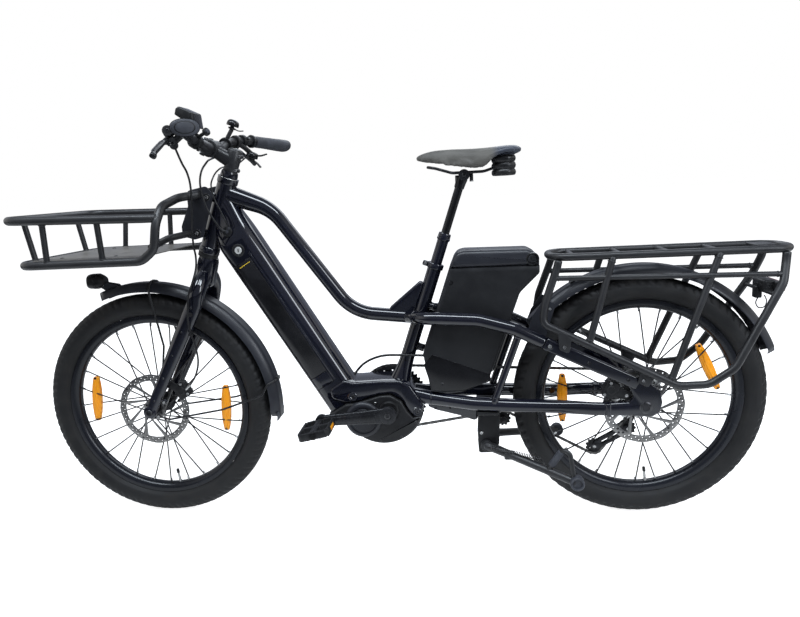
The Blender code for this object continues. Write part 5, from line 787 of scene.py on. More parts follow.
def studioWorld():
    world = bpy.data.worlds.new("studio")
    world.use_nodes = True
    nodes = Nodes(world.node_tree, "Generated")
    camera, glossy, transmission = (nodes.ray(kind) for kind in ("Camera", "Glossy", "Transmission"))
    # full strength where it is seen or mirrored, and less as light on the bike
    sockets = {
        "Value": camera.orMore(glossy).orMore(transmission), "To Min": studio["worldLight"], "To Max": 1.0
    }
    strength = nodes.node("ShaderNodeMapRange", {}, sockets)
    # white near the horizon, a dimmer ceiling that the camera never reaches, and in reflections
    # a dimmer wall along each of the bike's sides
    around = nodes.blend((1, 1, 1), studio["ceiling"], nodes.part("Z").ramp(*studio["ceilingEdge"]))
    aside = abs(nodes.part("Y")).ramp(*studio["wallEdge"]) * glossy
    background = nodes.tree.nodes["Background"]
    nodes.feed(background.inputs["Strength"], strength)
    nodes.feed(background.inputs["Color"], nodes.blend(around, studio["longWall"], aside))
    bpy.context.scene.world = world


def softbox(name, place, target, size, power, tone=(1, 1, 1)):
    light = bpy.data.lights.new(name, "AREA")
    light.shape, light.size, light.size_y = "RECTANGLE", *size
    light.energy, light.color = power, tone
    thing = bpy.data.objects.new(name, light)
    thing.location = place
    thing.rotation_euler = (Vector(target) - Vector(place)).to_track_quat("-Z", "Y").to_euler()
    bpy.context.scene.collection.objects.link(thing)


studioFloor()
studioWorld()
softbox("fillLight", (2.7, -2.1, 1.9), (0.2, 0, 0.5), (0.7, 1.9), 46.0, (0.86, 0.92, 1.0))
softbox("rimLight", (0.4, 2.5, 2.7), (0, 0, 0.6), (3.2, 1.4), 36.0, (0.88, 0.94, 1.0))
softbox("topLight", (-0.2, -1.25, 3.15), (0, 0, 0.5), (3.8, 0.62), 126.0, (0.84, 0.92, 1.0))


# The handlebar's line, which the cords start from
bar = {
    "back": -0.0593, "height": 0.2617, "half": 0.352, "rise": 0.0512, "radius": 0.0159,
    "gripRadius": 0.0111, "leverAt": 0.186, "leverDrop": (-0.0225, 0.0, -0.0345),
    "cylinderDrop": (-0.038, 0.0, -0.015), "boreReach": 0.039, "caliperAt": 53.0
}


def barCorners(side):
    x, z, half, rise = bar["back"], bar["height"], bar["half"], bar["rise"]
    return np.array([
        (x, side * 0.04, z), (x - 0.0145, side * half * 0.37, z + rise * 0.395),
        (x + 0.0082, side * half * 0.568, z + rise * 0.715), (x + 0.0724, side * half, z + rise)
    ])


def barPoint(side, y):
    # the bar's centre and direction at a distance from the middle, in the steering frame
    corners = barCorners(side)
    for low, high in zip(corners, corners[1:]):
        if abs(high[1]) >= y:
            share = (y - abs(low[1])) / (abs(high[1]) - abs(low[1]))
            return low + (high - low) * share, unit(high - low)
    return corners[-1], unit(corners[-1] - corners[-2])


# Cords: the routes repeat the source's, in metres
cords = {"brakeHose": 0.0025, "shiftCable": 0.002, "motorCable": 0.0032}
port = placed(downFrame, 0.0, -0.045, 0.06)
leverDrop = vec(*bar["leverDrop"])
leftLine, rightLine = barPoint(left, bar["leverAt"]), barPoint(right, bar["leverAt"])
leftBore = leftLine[0] + leverDrop - leftLine[1] * bar["boreReach"]
rightBore = rightLine[0] + leverDrop - rightLine[1] * bar["boreReach"]
frontCaliperPlace = steerFrame @ turnAboutY(
    90.0 - bar["caliperAt"], vec(-0.022, 0, -0.463) + 0.104 * polar(math.radians(bar["caliperAt"]))
)
frontDiscY, rearDiscY = -0.0395, -0.0635
shiftPod = barPoint(right, 0.16)[0] + vec(0.044, 0.035, -0.025)
caseFront = seatFoot + seatAcross * 0.0362 + seatUp * 0.108


def cord(name, body, route, radius, node, bends=None):
    path = smoothLine(route, radius * 1.8)
    piece = Piece(name, None if bends else body, "hoseRubber", (node,))
    piece.sweep(path, radius, 14, ends=0)
    thing = piece.done()
    if bends:
        tuple(bends[0] + workShift)
        tuple(bends[1] + workShift)
        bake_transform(thing)


frontHose = np.vstack([steer(
    leftBore, (-0.064, -0.148, 0.22), (-0.059, -0.115, 0.196), (-0.055, -0.084, 0.16),
    (-0.043, -0.065, 0.0934), (-0.0316, -0.062, 0.049), (-0.0216, -0.06, 0.0172),
    (-0.0103, -0.058, -0.0067), (-0.0012, -0.06, -0.0365), (0.0039, -0.072, -0.0694),
    (0.0062, -0.0825, -0.1053), (0.0136, -0.084, -0.1382), (0.0212, -0.081, -0.1695),
    (0.0359, -0.079, -0.2015), (0.0575, -0.075, -0.2379), (0.0704, -0.067, -0.2765), (0.07, -0.058, -0.3202)
), moved([(0.004, frontDiscY - 0.008, 0.0205)], frontCaliperPlace)])
rearHose = np.vstack([steer(
    rightBore, (-0.08, 0.1, 0.24), (-0.072, 0.03, 0.23), (-0.056, -0.025, 0.226), (-0.0529, -0.05, 0.205),
    (-0.0467, -0.056, 0.1757), (-0.0307, -0.054, 0.1419), (-0.0084, -0.051, 0.1122)
), port + vec(-0.014, -0.006, 0.01), port + vec(-0.001, -0.003, 0.001)])
shiftRoute = np.vstack([steer(
    shiftPod + vec(-0.004, -0.0195, 0.0), (-0.03, 0.12, 0.233), (-0.03, 0.06, 0.224),
    (-0.027, 0.01, 0.2235), (-0.0235, -0.03, 0.212), (-0.022, -0.047, 0.195), (-0.019, -0.051, 0.176),
    (-0.0011, -0.051, 0.1464), (0.0223, -0.052, 0.1227)
), port + vec(0.006, -0.008, 0.02), port + vec(0.003, -0.0021, 0.0075)])
motorRoute = np.array([
    (-0.0865, -0.02, 0.399), (-0.078, -0.02, 0.411), (-0.06, -0.022, 0.429), (-0.0361, -0.024, 0.4426),
    (-0.0032, -0.026, 0.4519), (0.0393, -0.026, 0.4523), (caseFront[0] + 0.0075, -0.024, 0.449)
])
cord("front_hose", "steering", frontHose, cords["brakeHose"], "front_brake_hose")
cord(
    "rear_hose", "frame", rearHose, cords["brakeHose"], "rear_brake_hose",
    (steered((-0.05, -0.052, 0.2)), port + vec(-0.012, -0.004, 0.012))
)
cord(
    "gear_cable", "frame", shiftRoute, cords["shiftCable"], "shift_cable",
    (steered((-0.021, -0.048, 0.19)), port + vec(0.004, -0.005, 0.014))
)
cord("battery_cable", "frame", motorRoute, cords["motorCable"], "motor_cable")
print("cords ready")


# Wheels
wheelLook = {
    "tyreWidth": 0.063, "rimSeat": 0.2588, "rimBase": 0.2585, "discInset": 0.0105, "rimDepth": 0.0225,
    "around": 720, "section": 34, "tread": {"front": (90, 0.0017, 1.46), "rear": (80, 0.003, 1.22)},
    "spokes": 28, "spokeRadius": 0.0018, "spokeLean": 48.0, "flange": 0.029, "core": 0.017,
    "discRadius": 0.1, "discArms": 9, "discThick": 0.002, "discWaves": 12, "discBolts": 6, "discHoles": 32,
    "reflectorAt": 0.19, "reflectorLength": 0.13
}


def tyre(end, body, centre):
    w = wheelLook
    blocks, blockDepth, reach = w["tread"][end]
    tube = w["tyreWidth"] / 2
    middle = bike["wheelRadius"] - tube
    span = math.pi - math.acos((middle - w["rimSeat"]) / tube)
    angle = np.linspace(0, 2 * math.pi, w["around"], endpoint=False)[:, None]
    across = np.linspace(-span, span, w["section"] * 2 + 1)[None, :]
    # grooves between the blocks, staggered from side to side and deeper on the shoulder
    away = np.abs(across)
    pitch = angle * blocks / (2 * math.pi) + 0.5 * (across > 0) + away * 0.5
    pitch = np.abs(pitch % 1.0 - 0.5) * 2
    lateral = ease((pitch - 0.52) / 0.22)
    crown = ease((0.46 - away) / 0.06)
    shoulder = ease((away - 0.52) / 0.06) * ease((reach - away) / 0.12)
    lengthwise = ease((0.6 - np.abs(away - 0.49) * 10))
    beads = 0.0005 * np.exp(-((away - 1.35) / 0.03) ** 2) + 0.0006 * np.exp(-((away - 2.2) / 0.04) ** 2)
    depth = blockDepth * (lateral * (0.55 * crown + shoulder) + 0.6 * lengthwise * (away < 0.6))
    depth = np.minimum(depth, blockDepth) * (1 - 0.45 * ease((away - 1.05) / 0.25)) - beads
    step = 0.0007 * ease((away - 1.1) / 0.05)
    r = middle + (tube - depth - step) * np.cos(across)
    y = np.broadcast_to((tube - depth - step) * np.sin(across), r.shape)
    points = np.stack([centre[0] + r * np.cos(angle), y, centre[2] + r * np.sin(angle)], -1)
    Piece(f"{end}_tyre_tread", body, "tyreRubber", (f"{end}_tyre",), 50).grid(points, True).done()


def rim(end, body, centre):
    w = wheelLook
    inner = w["rimBase"] - w["rimDepth"]
    half = [
        (0.2588, 0.015), (0.2592, 0.0168), (0.259, 0.0178), (0.2572, 0.0181), (0.25, 0.0179),
        (0.246, 0.017), (0.242, 0.0142), (0.2385, 0.01), (0.2366, 0.0055), (inner, 0.002)
    ]
    profile = bothWays(half)
    piece = Piece(f"{end}_rim_hoop", body, "rimBlack", (f"{end}_rim",), 40)
    piece.lathe(profile, facing(centre, 1), 240, True)
    lean = math.pi / w["spokes"]
    out = vec(math.sin(lean), 0, -math.cos(lean))
    foot = centre + out * (inner + 0.003)
    piece.rod(foot, centre + out * (inner - 0.0035), 0.0048, tone="brightSteel")
    piece.rod(centre + out * (inner - 0.003), centre + out * (inner - 0.026), 0.003, tone="brightSteel")
    piece.lathe(
        [(0.0037, 0), (0.004, 0.001), (0.004, 0.009), (0.0034, 0.0115), (0.002, 0.0125), (0.0004, 0.0127)],
        frameFrom(centre + out * (inner - 0.0253), -out), 16, False, "blackPlastic"
    )
    for index in range(w["spokes"]):
        a = 2 * math.pi * index / w["spokes"]
        away = polar(a)
        piece.rod(
            centre + away * (inner + 0.002), centre + away * (inner - 0.0095), 0.0028, 0.0021, steps=10,
            tone="brightSteel"
        )
    piece.done()


def spokesAndHub(end, body, centre, hubWidth, stub):
    w = wheelLook
    face = hubWidth / 2 - 0.0003
    discFace = hubWidth / 2 - w["discInset"]
    flange = discFace - 0.01
    far = min(flange, 0.03)
    inner = w["rimBase"] - w["rimDepth"]
    piece = Piece(f"{end}_hub", body, "darkSteel", (f"{end}_spokes_hub",), 30)
    core, f = w["core"], w["flange"]
    waist = core * 0.86
    profile = [
        (0.004, -face - stub), (0.0066, -face - stub + 0.0006), (0.0074, -face - stub + 0.002),
        (0.0074, -face), (0.01, -face), (0.0105, -face + 0.001), (0.0105, -discFace - 0.004),
        (0.015, -discFace - 0.0032), (core - 0.0006, -discFace - 0.0028),
        (core - 0.0002, -discFace + 0.004), (waist, -flange - 0.002), (f - 0.003, -flange - 0.0002),
        (f - 0.0006, -flange + 0.0008), (f, -flange + 0.0024), (f - 0.0006, -flange + 0.0042),
        (f - 0.003, -flange + 0.005), (waist, -flange + 0.0065), (waist * 0.92, 0.0), (waist, far - 0.0065),
        (f - 0.003, far - 0.005), (f - 0.0006, far - 0.0042), (f, far - 0.0024), (f - 0.0006, far - 0.0008),
        (f - 0.003, far), (core * 0.72, far + 0.001), (0.0105, far + 0.004), (0.0105, face - 0.001),
        (0.01, face), (0.0074, face), (0.0074, face + stub - 0.002), (0.0066, face + stub - 0.0006),
        (0.004, face + stub)
    ]
    piece.lathe(profile, facing(centre, 1), 56)
    for index in range(w["spokes"]):
        a = 2 * math.pi * index / w["spokes"]
        lean = math.radians(w["spokeLean"]) * (1 if index % 4 < 2 else -1)
        y = (-flange + 0.0025) if index % 2 else (far - 0.0025)
        outside = 0.0034 if index % 4 < 2 else -0.0034
        hole = f - 0.0042
        head = centre + polar(a + lean, hole, y + outside)
        start = centre + polar(a + lean * 0.96, hole + 0.001, y + outside)
        stop = centre + polar(a, inner - 0.002, y * 0.12)
        piece.sweep([
            head - vec(0, outside * 1.4, 0), head - vec(0, outside * 0.25, 0), start, stop
        ], w["spokeRadius"], 8, ends=0, tone="hoseRubber")
        piece.lathe(
            [(0.0024, 0), (0.0024, 0.0006), (0.0014, 0.0012), (0.0003, 0.0014)],
            facing(head - vec(0, outside * 1.5, 0), -np.sign(outside)), 10
        )
    piece.done()


def reflectors(end, body, centre, angles):
    w = wheelLook
    piece = Piece(f"{end}_reflectors", body, "amberLens", (), 40)
    half = w["reflectorLength"] / 2
    for angle in angles:
        away = polar(math.radians(angle))
        place = frameFrom(centre + away * w["reflectorAt"], (-away[2], 0, away[0]))
        # three lens shapes in one another, widest in the middle
        t = np.linspace(-1, 1, 31)
        for reach, grow, thick, bevel in (
            (1.0, 0.013, 0.007, 0.003), (0.86, 0.0088, 0.0088, 0.0016), (0.7, 0.004, 0.0102, 0.0016)
        ):
            wide = grow * (1 - 0.52 * np.abs(t) ** 2.2)
            sides = np.stack([wide, t * half * reach, 0 * t], 1)
            outline = rounded(np.vstack([sides, (sides * vec(-1, 1, 1))[::-1]]), 0.002, 2, True)[:, :2]
            piece.prism(outline, -thick, thick, bevel, place)
        for z in (-1, 1):
            foot = z * (half - 0.0035)
            piece.block(
                (-0.0034, -0.0074, foot - 0.003), (0.0034, 0.0074, foot + 0.003), 0.0015, 0.0008, place,
                "darkAlloy"
            )
    piece.done()


def brakeDisc(end, body, centre, hubWidth):
    w = wheelLook
    y = -(hubWidth / 2 - w["discInset"])
    turns = np.linspace(0, 2 * math.pi, 240, endpoint=False)
    wave = w["discRadius"] - 0.0007 + 0.0007 * np.cos(turns * w["discWaves"])
    loops = [onCircle(wave, turns), ring2d(w["core"] + 0.0006, 40)]
    for arm in range(w["discArms"]):
        a = 2 * math.pi * arm / w["discArms"]
        step = 2 * math.pi / w["discArms"]
        low = np.linspace(a + 0.14, a + step - 0.14, 8)
        high = np.linspace(a + step + math.radians(46) - 0.06, a + math.radians(46) + 0.06, 14)
        window = np.vstack([onCircle(0.03, low), onCircle(0.0818, high)])
        loops.append(outlined(window, 0.0035, 3))
    half = w["discThick"] / 2
    spots = []
    for slot in range(w["discHoles"]):
        for row, radius in enumerate((0.0872, 0.0935)):
            a = 2 * math.pi * (slot + row * 0.5) / w["discHoles"]
            spots.append((radius * math.cos(a), radius * math.sin(a)))
            loops.append(ring2d(0.002, 10, a, spots[-1]))
    piece = Piece(f"{end}_disc", body, "brushedDisc", (f"{end}_brake_disc",), 30)
    shift = shifted(centre + vec(0, y, 0))
    piece.holed(loops, -half, half, 0.00025, shift)
    # each cooling hole gets a dark ring round it: painted shade of the hole's countersink
    for x, z in spots:
        piece.lathe([
            (0.0019, -half - 0.0001), (0.0031, -half - 0.0001), (0.0031, half + 0.0001),
            (0.0019, half + 0.0001)
        ], facing(centre + vec(x, y, z), 1), 10, True, "darkAlloy")
    for index in range(w["discBolts"]):
        a = 2 * math.pi * (index + 0.5) / w["discBolts"]
        piece.bolt(centre + polar(a, 0.0228, y - half + 0.0002), (0, -1, 0), 0.0042, 0.0022, "darkSteel")
    piece.done()


for end, body, centre, hubWidth, stub, angles in (
    ("front", "front_wheel", frontAxle, 0.1, 0.019, (174, -4)),
    ("rear", "rear_wheel", rearAxle, 0.148, 0.01, (180, 24))
):
    tyre(end, body, centre)
    rim(end, body, centre)
    spokesAndHub(end, body, centre, hubWidth, stub)
    reflectors(end, body, centre, angles)
    brakeDisc(end, body, centre, hubWidth)
print("wheels ready")


# Fork, front caliper, front mudguard and lamp
fork = {
    "tipY": 0.0598, "shoulder": 0.0195, "blade": (0.023, 0.014), "tip": (0.016, 0.0095),
    "crownRadius": 0.0275
}


def forkLegs():
    piece = Piece("fork_legs", "steering", "glossPaint", ("fork",), 40)
    crownLow, crownHigh = steer((0.01, 0, -0.084), (0.0035, 0, -0.01))
    r = fork["crownRadius"]
    length = apart(crownLow, crownHigh)
    piece.lathe([
        (0.01, -0.006), (r - 0.006, -0.004), (r - 0.001, 0.002), (r, 0.01), (r - 0.0005, length - 0.012),
        (r - 0.003, length - 0.002), (r - 0.008, length)
    ], frameTo(crownLow, crownHigh), 48)
    piece.lathe([
        (0.014, -0.014), (0.024, -0.013), (0.0258, -0.0115), (0.0258, -0.002), (0.0246, -0.0008)
    ], steerFrame, 48, False, "blackPlastic")
    piece.rod(*steer((0, 0, -0.02), (0, 0, bike["headLength"] + 0.06)), 0.014, tone="darkSteel")
    for side in (left, right):
        corners = steer(
            (0.008, 0, -0.056), (0.012, side * 0.032, -0.068), (0.0175, side * 0.0565, -0.096),
            (0.018, side * 0.059, -0.132), (-0.0225, side * fork["tipY"], -0.467)
        )
        path = spaced(rounded(corners, 0.045, 8), 0.006)
        z = (path - headBottom) @ steerUp
        toBlade, toTip = ease((-0.095 - z) / 0.05)[:, None], ease((-0.13 - z) / 0.34)[:, None]
        size = taper(np.full((len(path), 2), fork["shoulder"]), fork["blade"], toBlade)
        size = taper(size, fork["tip"], toTip)
        piece.sweep(path, size, 32, (0, 1, 0), 2.2)
        tip = steered((-0.022, 0, -0.463))
        inner, outer = side * (fork["tipY"] - 0.0095), side * (fork["tipY"] + 0.0095)
        piece.rod(tip + vec(0, inner, 0), tip + vec(0, outer, 0), 0.0175, edge=0.002, steps=40)
        piece.bolt(tip + vec(0, outer, 0), (0, side, 0), 0.0095, 0.0045, "darkAlloy")
        for share in (0.26, 0.42, 0.58, 0.74, 0.9):
            index = int(share * len(path))
            spot = path[index] + vec(0, side * (size[index][1] - 0.0004), 0)
            piece.bolt(spot, (0, side, 0), 0.003, 0.0016, "darkSteel")
        eyelet = steered((0.0095, side * 0.0645, -0.42))
        piece.rod(eyelet - vec(0, side * 0.006, 0), eyelet + vec(0, side * 0.003, 0), 0.006)
        piece.bolt(eyelet + vec(0, side * 0.003, 0), (0, side, 0), 0.0042, 0.0028, "brightSteel")
    for x, z, turn in ((0.0215, -0.155, 12), (0.036, -0.205, 25)):
        clip = steered((x, -0.0745, z))
        piece.block(
            (-0.0045, -0.0095, -0.0045), (0.0045, 0.0045, 0.0045), 0.002, 0.001, turnAboutY(turn, clip),
            "blackPlastic"
        )
    piece.done()


def caliperPiece(piece, place, discY, inward, outward, half, bridgeLow):
    piece.block((-0.0225, discY - outward, -half), (0.0225, discY - 0.0022, half), 0.0065, 0.0022, place)
    piece.block((-0.0225, discY + 0.0022, -half), (0.0225, discY + inward, half), 0.0065, 0.0022, place)
    piece.block(
        (-0.0205, discY - outward + 0.001, bridgeLow), (0.0205, discY + inward - 0.001, half), 0.004,
        0.0015, place
    )
    knob = facing(placed(place, 0, discY - outward + 0.001, 0), -1)
    piece.lathe([
        (0.0118, 0), (0.0118, 0.0012), (0.0108, 0.002), (0.0106, 0.0036), (0.0085, 0.0042),
        (0.0082, 0.0034), (0.002, 0.0034)
    ], knob, 32)
    for x in (-0.0165, 0.0165):
        piece.bolt(
            placed(place, x, discY - outward + 0.0004, half * 0.55), (0, -1, 0), 0.004, 0.0026,
            "brightSteel"
        )
    for fin in (-0.012, -0.006, 0.0, 0.006, 0.012):
        piece.block(
            (fin - 0.001, discY - outward + 0.002, half - 0.001),
            (fin + 0.001, discY + inward - 0.002, half + 0.0028), 0.0004, 0.0004, place, "darkAlloy"
        )


def frontCaliper():
    piece = Piece("front_brake", "steering", "blackPlastic", ("front_caliper",))
    caliperPiece(piece, frontCaliperPlace, frontDiscY, 0.012, 0.011, 0.0185, -0.002)
    start = placed(frontCaliperPlace, 0, frontDiscY - 0.008, 0)
    stop = steered((-0.012, frontDiscY - 0.008, -0.372))
    piece.sweep(spaced([start, stop], 0.01), (0.011, 0.0035), 20, (0, 1, 0), 3.5)
    hose = placed(frontCaliperPlace, 0.004, frontDiscY - 0.008, 0.0205)
    piece.rod(
        placed(frontCaliperPlace, 0.004, frontDiscY - 0.008, 0.014), hose + (frontHose[-2] - hose) * 0.3,
        0.0046, 0.0033, tone="brightSteel"
    )
    piece.done()


guards = {"width": 0.066, "radius": 0.35, "crown": 0.021, "thick": 0.0022}


def onWheel(centre, radius, angle, y=0.0):
    return centre + polar(math.radians(angle), radius, y)


def guardBand(piece, centre, start, sweep):
    # outer and inner arcs of the section, flat in the middle and falling to the lips, rounded ends in plan
    g = guards
    angle = np.radians(np.linspace(start, start - sweep, 150))[:, None]
    run = np.abs(angle - angle[0]) * g["radius"]
    run = np.minimum(run, run[::-1])
    plan = np.sqrt(np.clip(1 - (1 - np.minimum(run / 0.02, 1)) ** 2, 0.3, 1))
    across = np.linspace(-1, 1, 25)
    drop = np.clip((np.abs(across) - 0.4) / 0.6, 0, 1) ** 1.9 * g["crown"]
    lip = np.exp(-((np.abs(across) - 0.97) / 0.03) ** 2) * 0.0006
    y = np.concatenate([across, across[::-1]]) * g["width"] / 2
    r = np.concatenate([g["radius"] - drop, (g["radius"] - drop - g["thick"] - lip)[::-1]])
    points = np.stack([centre[0] + r * np.cos(angle), y * plan, centre[2] + r * np.sin(angle)], -1)
    piece.grid(points)


def stayLoop(piece, angle, foot):
    g = guards
    out, side = g["radius"] + 0.0012, g["width"] / 2 + 0.0035
    near = [
        onWheel(frontAxle, out, angle, -side * 0.55),
        onWheel(frontAxle, out - g["crown"] * 0.9, angle - 0.5, -side)
    ]
    near = np.array(near + [(x, -y, z) for x, y, z in foot])
    path = rounded(np.vstack([near[::-1], near * vec(1, -1, 1)]), 0.012, 5)
    piece.sweep(path, 0.0027, 12, tone="hoseRubber")
    for y in (-1, 1):
        end = near[-1] * vec(1, -y, 1)
        piece.rod(
            end - vec(0, y * 0.003, 0), end + vec(0, y * 0.0035, 0), 0.0052, steps=20, tone="darkSteel"
        )
        piece.bolt(end + vec(0, y * 0.0034, 0), (0, y, 0), 0.004, 0.0026, "brightSteel")


def frontMudguard():
    piece = Piece("front_guard", "steering", "satinGuard", ("front_mudguard",), 40)
    guardBand(piece, frontAxle, 111.5, 117.5)
    stayLoop(piece, 11.5, [
        (-0.34, 0.042, 0.352), (-0.45, 0.052, 0.318), (-0.598, 0.0625, 0.296), (-0.6275, 0.0625, 0.3055)
    ])
    stayLoop(piece, 86.0, [(-0.615, 0.04, 0.6), (-0.5965, 0.045, 0.498), (-0.608, 0.0462, 0.43)])
    for angle, size in ((11.5, 0.012), (86.0, 0.01)):
        place = turnAboutY(90 - angle, onWheel(frontAxle, guards["radius"], angle))
        piece.block((-0.0055, -size, -0.001), (0.0055, size, 0.0052), 0.002, 0.0012, place, "blackPlastic")
        piece.bolt(placed(place, 0, 0, 0.005), place[:3, 2], 0.0036, 0.0018, "brightSteel")
    tab = turnAboutY(90 - 64.0, onWheel(frontAxle, guards["radius"], 64.0))
    piece.block((-0.0016, -0.011, -0.0016), (0.0016, 0.011, 0.033), 0.001, 0.001, tab, "darkSteel")
    cheek = np.array([
        (-0.7735, 0.66), (-0.77, 0.6708), (-0.761, 0.6712), (-0.729, 0.665), (-0.722, 0.6592),
        (-0.745, 0.6535), (-0.76, 0.649), (-0.77, 0.656)
    ])
    cheek = outlined(cheek, 0.003, 3)
    for side in (left, right):
        flank(piece, cheek, side, 0.0072, 0.01, 0.0006)
        piece.bolt(vec(-0.7657, side * 0.01, 0.6638), (0, side, 0), 0.004, 0.0024, "brightSteel")
    flapPlace = turnAboutY(90 + 5.2, onWheel(frontAxle, 0.3455, -5.2))
    piece.block((-0.012, -0.03, -0.0014), (0.012, 0.03, 0.0014), 0.0008, 0.0008, flapPlace, "gripRubber")
    piece.done()


def headLamp():
    piece = Piece("lamp_shell", "lamp", "blackPlastic", ("headlight",), 40)
    path = [
        (-0.8045, 0, 0.676), (-0.8036, 0, 0.676), (-0.801, 0, 0.6758), (-0.7985, 0, 0.6757),
        (-0.788, 0, 0.6751), (-0.777, 0, 0.6746), (-0.7725, 0, 0.6745), (-0.767, 0, 0.6747),
        (-0.7615, 0, 0.675)
    ]
    size = [
        (0.0178, 0.0228), (0.0188, 0.0238), (0.0197, 0.0247), (0.02, 0.025), (0.02, 0.0248),
        (0.0192, 0.0238), (0.0175, 0.0218), (0.015, 0.0185), (0.0115, 0.0145)
    ]
    piece.sweep(path, np.array(size), 44, (0, 1, 0), 2.7, 0.1)
    for x in (-0.79, -0.786, -0.782):
        piece.sweep(
            [(x, 0, 0.6752), (x + 0.0016, 0, 0.6752)], np.array([(0.0206, 0.0255)] * 2), 44, (0, 1, 0), 2.7,
            0.03, tone="darkAlloy"
        )
    piece.sweep(
        [(-0.804, 0, 0.676), (-0.8052, 0, 0.676), (-0.806, 0, 0.676), (-0.8064, 0, 0.676)],
        np.array([(0.0158, 0.0205), (0.015, 0.0196), (0.011, 0.0145), (0.003, 0.004)]), 40, (0, 1, 0), 2.5,
        0, tone="frontGlass"
    )
    piece.rod(vec(-0.7657, -0.0066, 0.6638), vec(-0.7657, 0.0066, 0.6638), 0.0075, tone="darkAlloy")
    piece.block((-0.772, -0.006, 0.656), (-0.7595, 0.006, 0.67), 0.003, 0.002)
    piece.done()


forkLegs()
frontCaliper()
frontMudguard()
headLamp()
print("fork, front mudguard and lamp ready")


# Handlebar, stem, grips, display, bell and levers
cockpit = {
    "stemCone": ((0.0225, 0.2063), (0.021, 0.222)), "stemRadius": 0.0185, "stemTop": 0.278,
    "barClamp": 0.0219, "display": (-0.0933, -0.092, 0.3177), "displayHalf": 0.028, "displayClamp": 0.092,
    "bellClamp": 0.105, "shifterClamp": 0.16
}
stemMiddle = vec(bar["back"], 0, bar["height"])


def turned(direction, origin):
    # a frame in the bike's own coordinates, from an origin and a direction of the steering frame
    side = (0, 0, 1) if abs(unit(direction)[2]) < 0.8 else (0, 1, 0)
    return frameTo(
        steered(origin), steered(np.asarray(origin, float) + direction), steered(side) - headBottom
    )


def ringOnBar(piece, side, y, radius, width, tone=None, boltAt=None):
    centre, line = barPoint(side, y)
    place = turned(line, centre - line * width / 2)
    e = 0.0012
    piece.lathe([
        (radius - 0.004, 0), (radius - e, 0), (radius - e * 0.3, e * 0.3), (radius, e), (radius, width - e),
        (radius - e * 0.3, width - e * 0.3), (radius - e, width), (radius - 0.004, width)
    ], place, 40, False, tone)
    if boltAt is not None:
        ear = np.asarray(boltAt, float)
        piece.sweep(
            spaced(steer(centre + ear * (radius - 0.003), centre + ear * (radius + 0.005)), 0.002),
            (0.0048, width * 0.42), 16, steerWay(line), 3.0, tone=tone
        )
        piece.bolt(
            steered(centre + ear * (radius + 0.0046)), steered(ear) - headBottom, 0.0032, 0.0018,
            "brightSteel"
        )
    return centre, line


def handlebar():
    piece = Piece("bar_tube", "steering", "mattePaint", ("handlebar",))
    ends = [barCorners(left)[::-1], barCorners(right)]
    for corners, tip in ((ends[0], 0), (ends[1], 3)):
        inward = unit(corners[1 if tip == 0 else 2] - corners[tip])
        corners[tip] = corners[tip] + inward * 0.008
    path = spaced(rounded(np.vstack([ends[0], ends[1]]), 0.045, 10), 0.006)
    out = ease((np.abs(path[:, 1]) - 0.045) / 0.06)
    piece.sweep(moved(path, steerFrame), bar["radius"] + (bar["gripRadius"] - bar["radius"]) * out, 32)
    piece.done()


def stem():
    piece = Piece("stem_body", "steering", "mattePaint", ("stem",), 40)
    (r0, z0), (r1, z1) = cockpit["stemCone"]
    r, top = cockpit["stemRadius"], cockpit["stemTop"]
    piece.lathe([
        (0.015, z0), (r0 - 0.0012, z0), (r0, z0 + 0.0012), (r0 - 0.0002, z0 + 0.006),
        (r1 + 0.0004, z1 - 0.003), (r1 - 0.0008, z1), (0.016, z1)
    ], steerFrame, 48, False, "glossPaint")
    piece.lathe([
        (0.015, z1 - 0.001), (r - 0.0008, z1 - 0.0006), (r, z1 + 0.0004), (r, z1 + 0.009),
        (r - 0.0006, z1 + 0.0096), (r - 0.0006, z1 + 0.0104), (r, z1 + 0.011), (r + 0.0004, top - 0.0016),
        (r - 0.0008, top), (0.015, top), (0.0148, top + 0.0014), (0.012, top + 0.0026), (0.005, top + 0.003)
    ], steerFrame, 48)
    piece.bolt(steered((0, 0, top + 0.0026)), steerUp, 0.0048, 0.0016, "brightSteel")
    extension = spaced(steer(
        (0.004, 0, bar["height"] - 0.015), (bar["back"] * 0.45, 0, bar["height"] - 0.009), stemMiddle
    ), 0.003)
    share = np.linspace(0, 1, len(extension))[:, None]
    piece.sweep(extension, taper((0.0185, 0.0185), (0.0155, 0.0205), ease(share)), 36, (0, 1, 0), 3.0)
    centre = steered(stemMiddle)
    r = cockpit["barClamp"]
    piece.lathe(bothWays([
        (r - 0.007, -0.0235), (r - 0.0015, -0.024), (r - 0.0003, -0.0232), (r, -0.022)
    ]), facing(centre, 1), 48)
    face = frameFrom(steered(stemMiddle + vec(-0.012, 0, 0.0)), -steerBack, (0, 1, 0))
    for up in (-1, 1):
        for out in (-1, 1):
            bossPlace = placed(face, up * 0.0185, out * 0.0155, -0.001)
            piece.rod(bossPlace, bossPlace - steerBack * 0.01, 0.0052, 0.0046, tone="mattePaint", steps=20)
            piece.bolt(bossPlace - steerBack * 0.0099, -steerBack, 0.0036, 0.0026, "brightSteel")
    for z in (0.229, 0.266):
        low = steer((0.0165, -0.0105, z), (0.0165, 0.0105, z))
        piece.rod(low[0], low[1], 0.0055, steps=20)
        piece.bolt(low[0], (0, -1, 0), 0.004, 0.003, "brightSteel")
        piece.bolt(low[1], (0, 1, 0), 0.0034, 0.001, "brightSteel")
    piece.done()


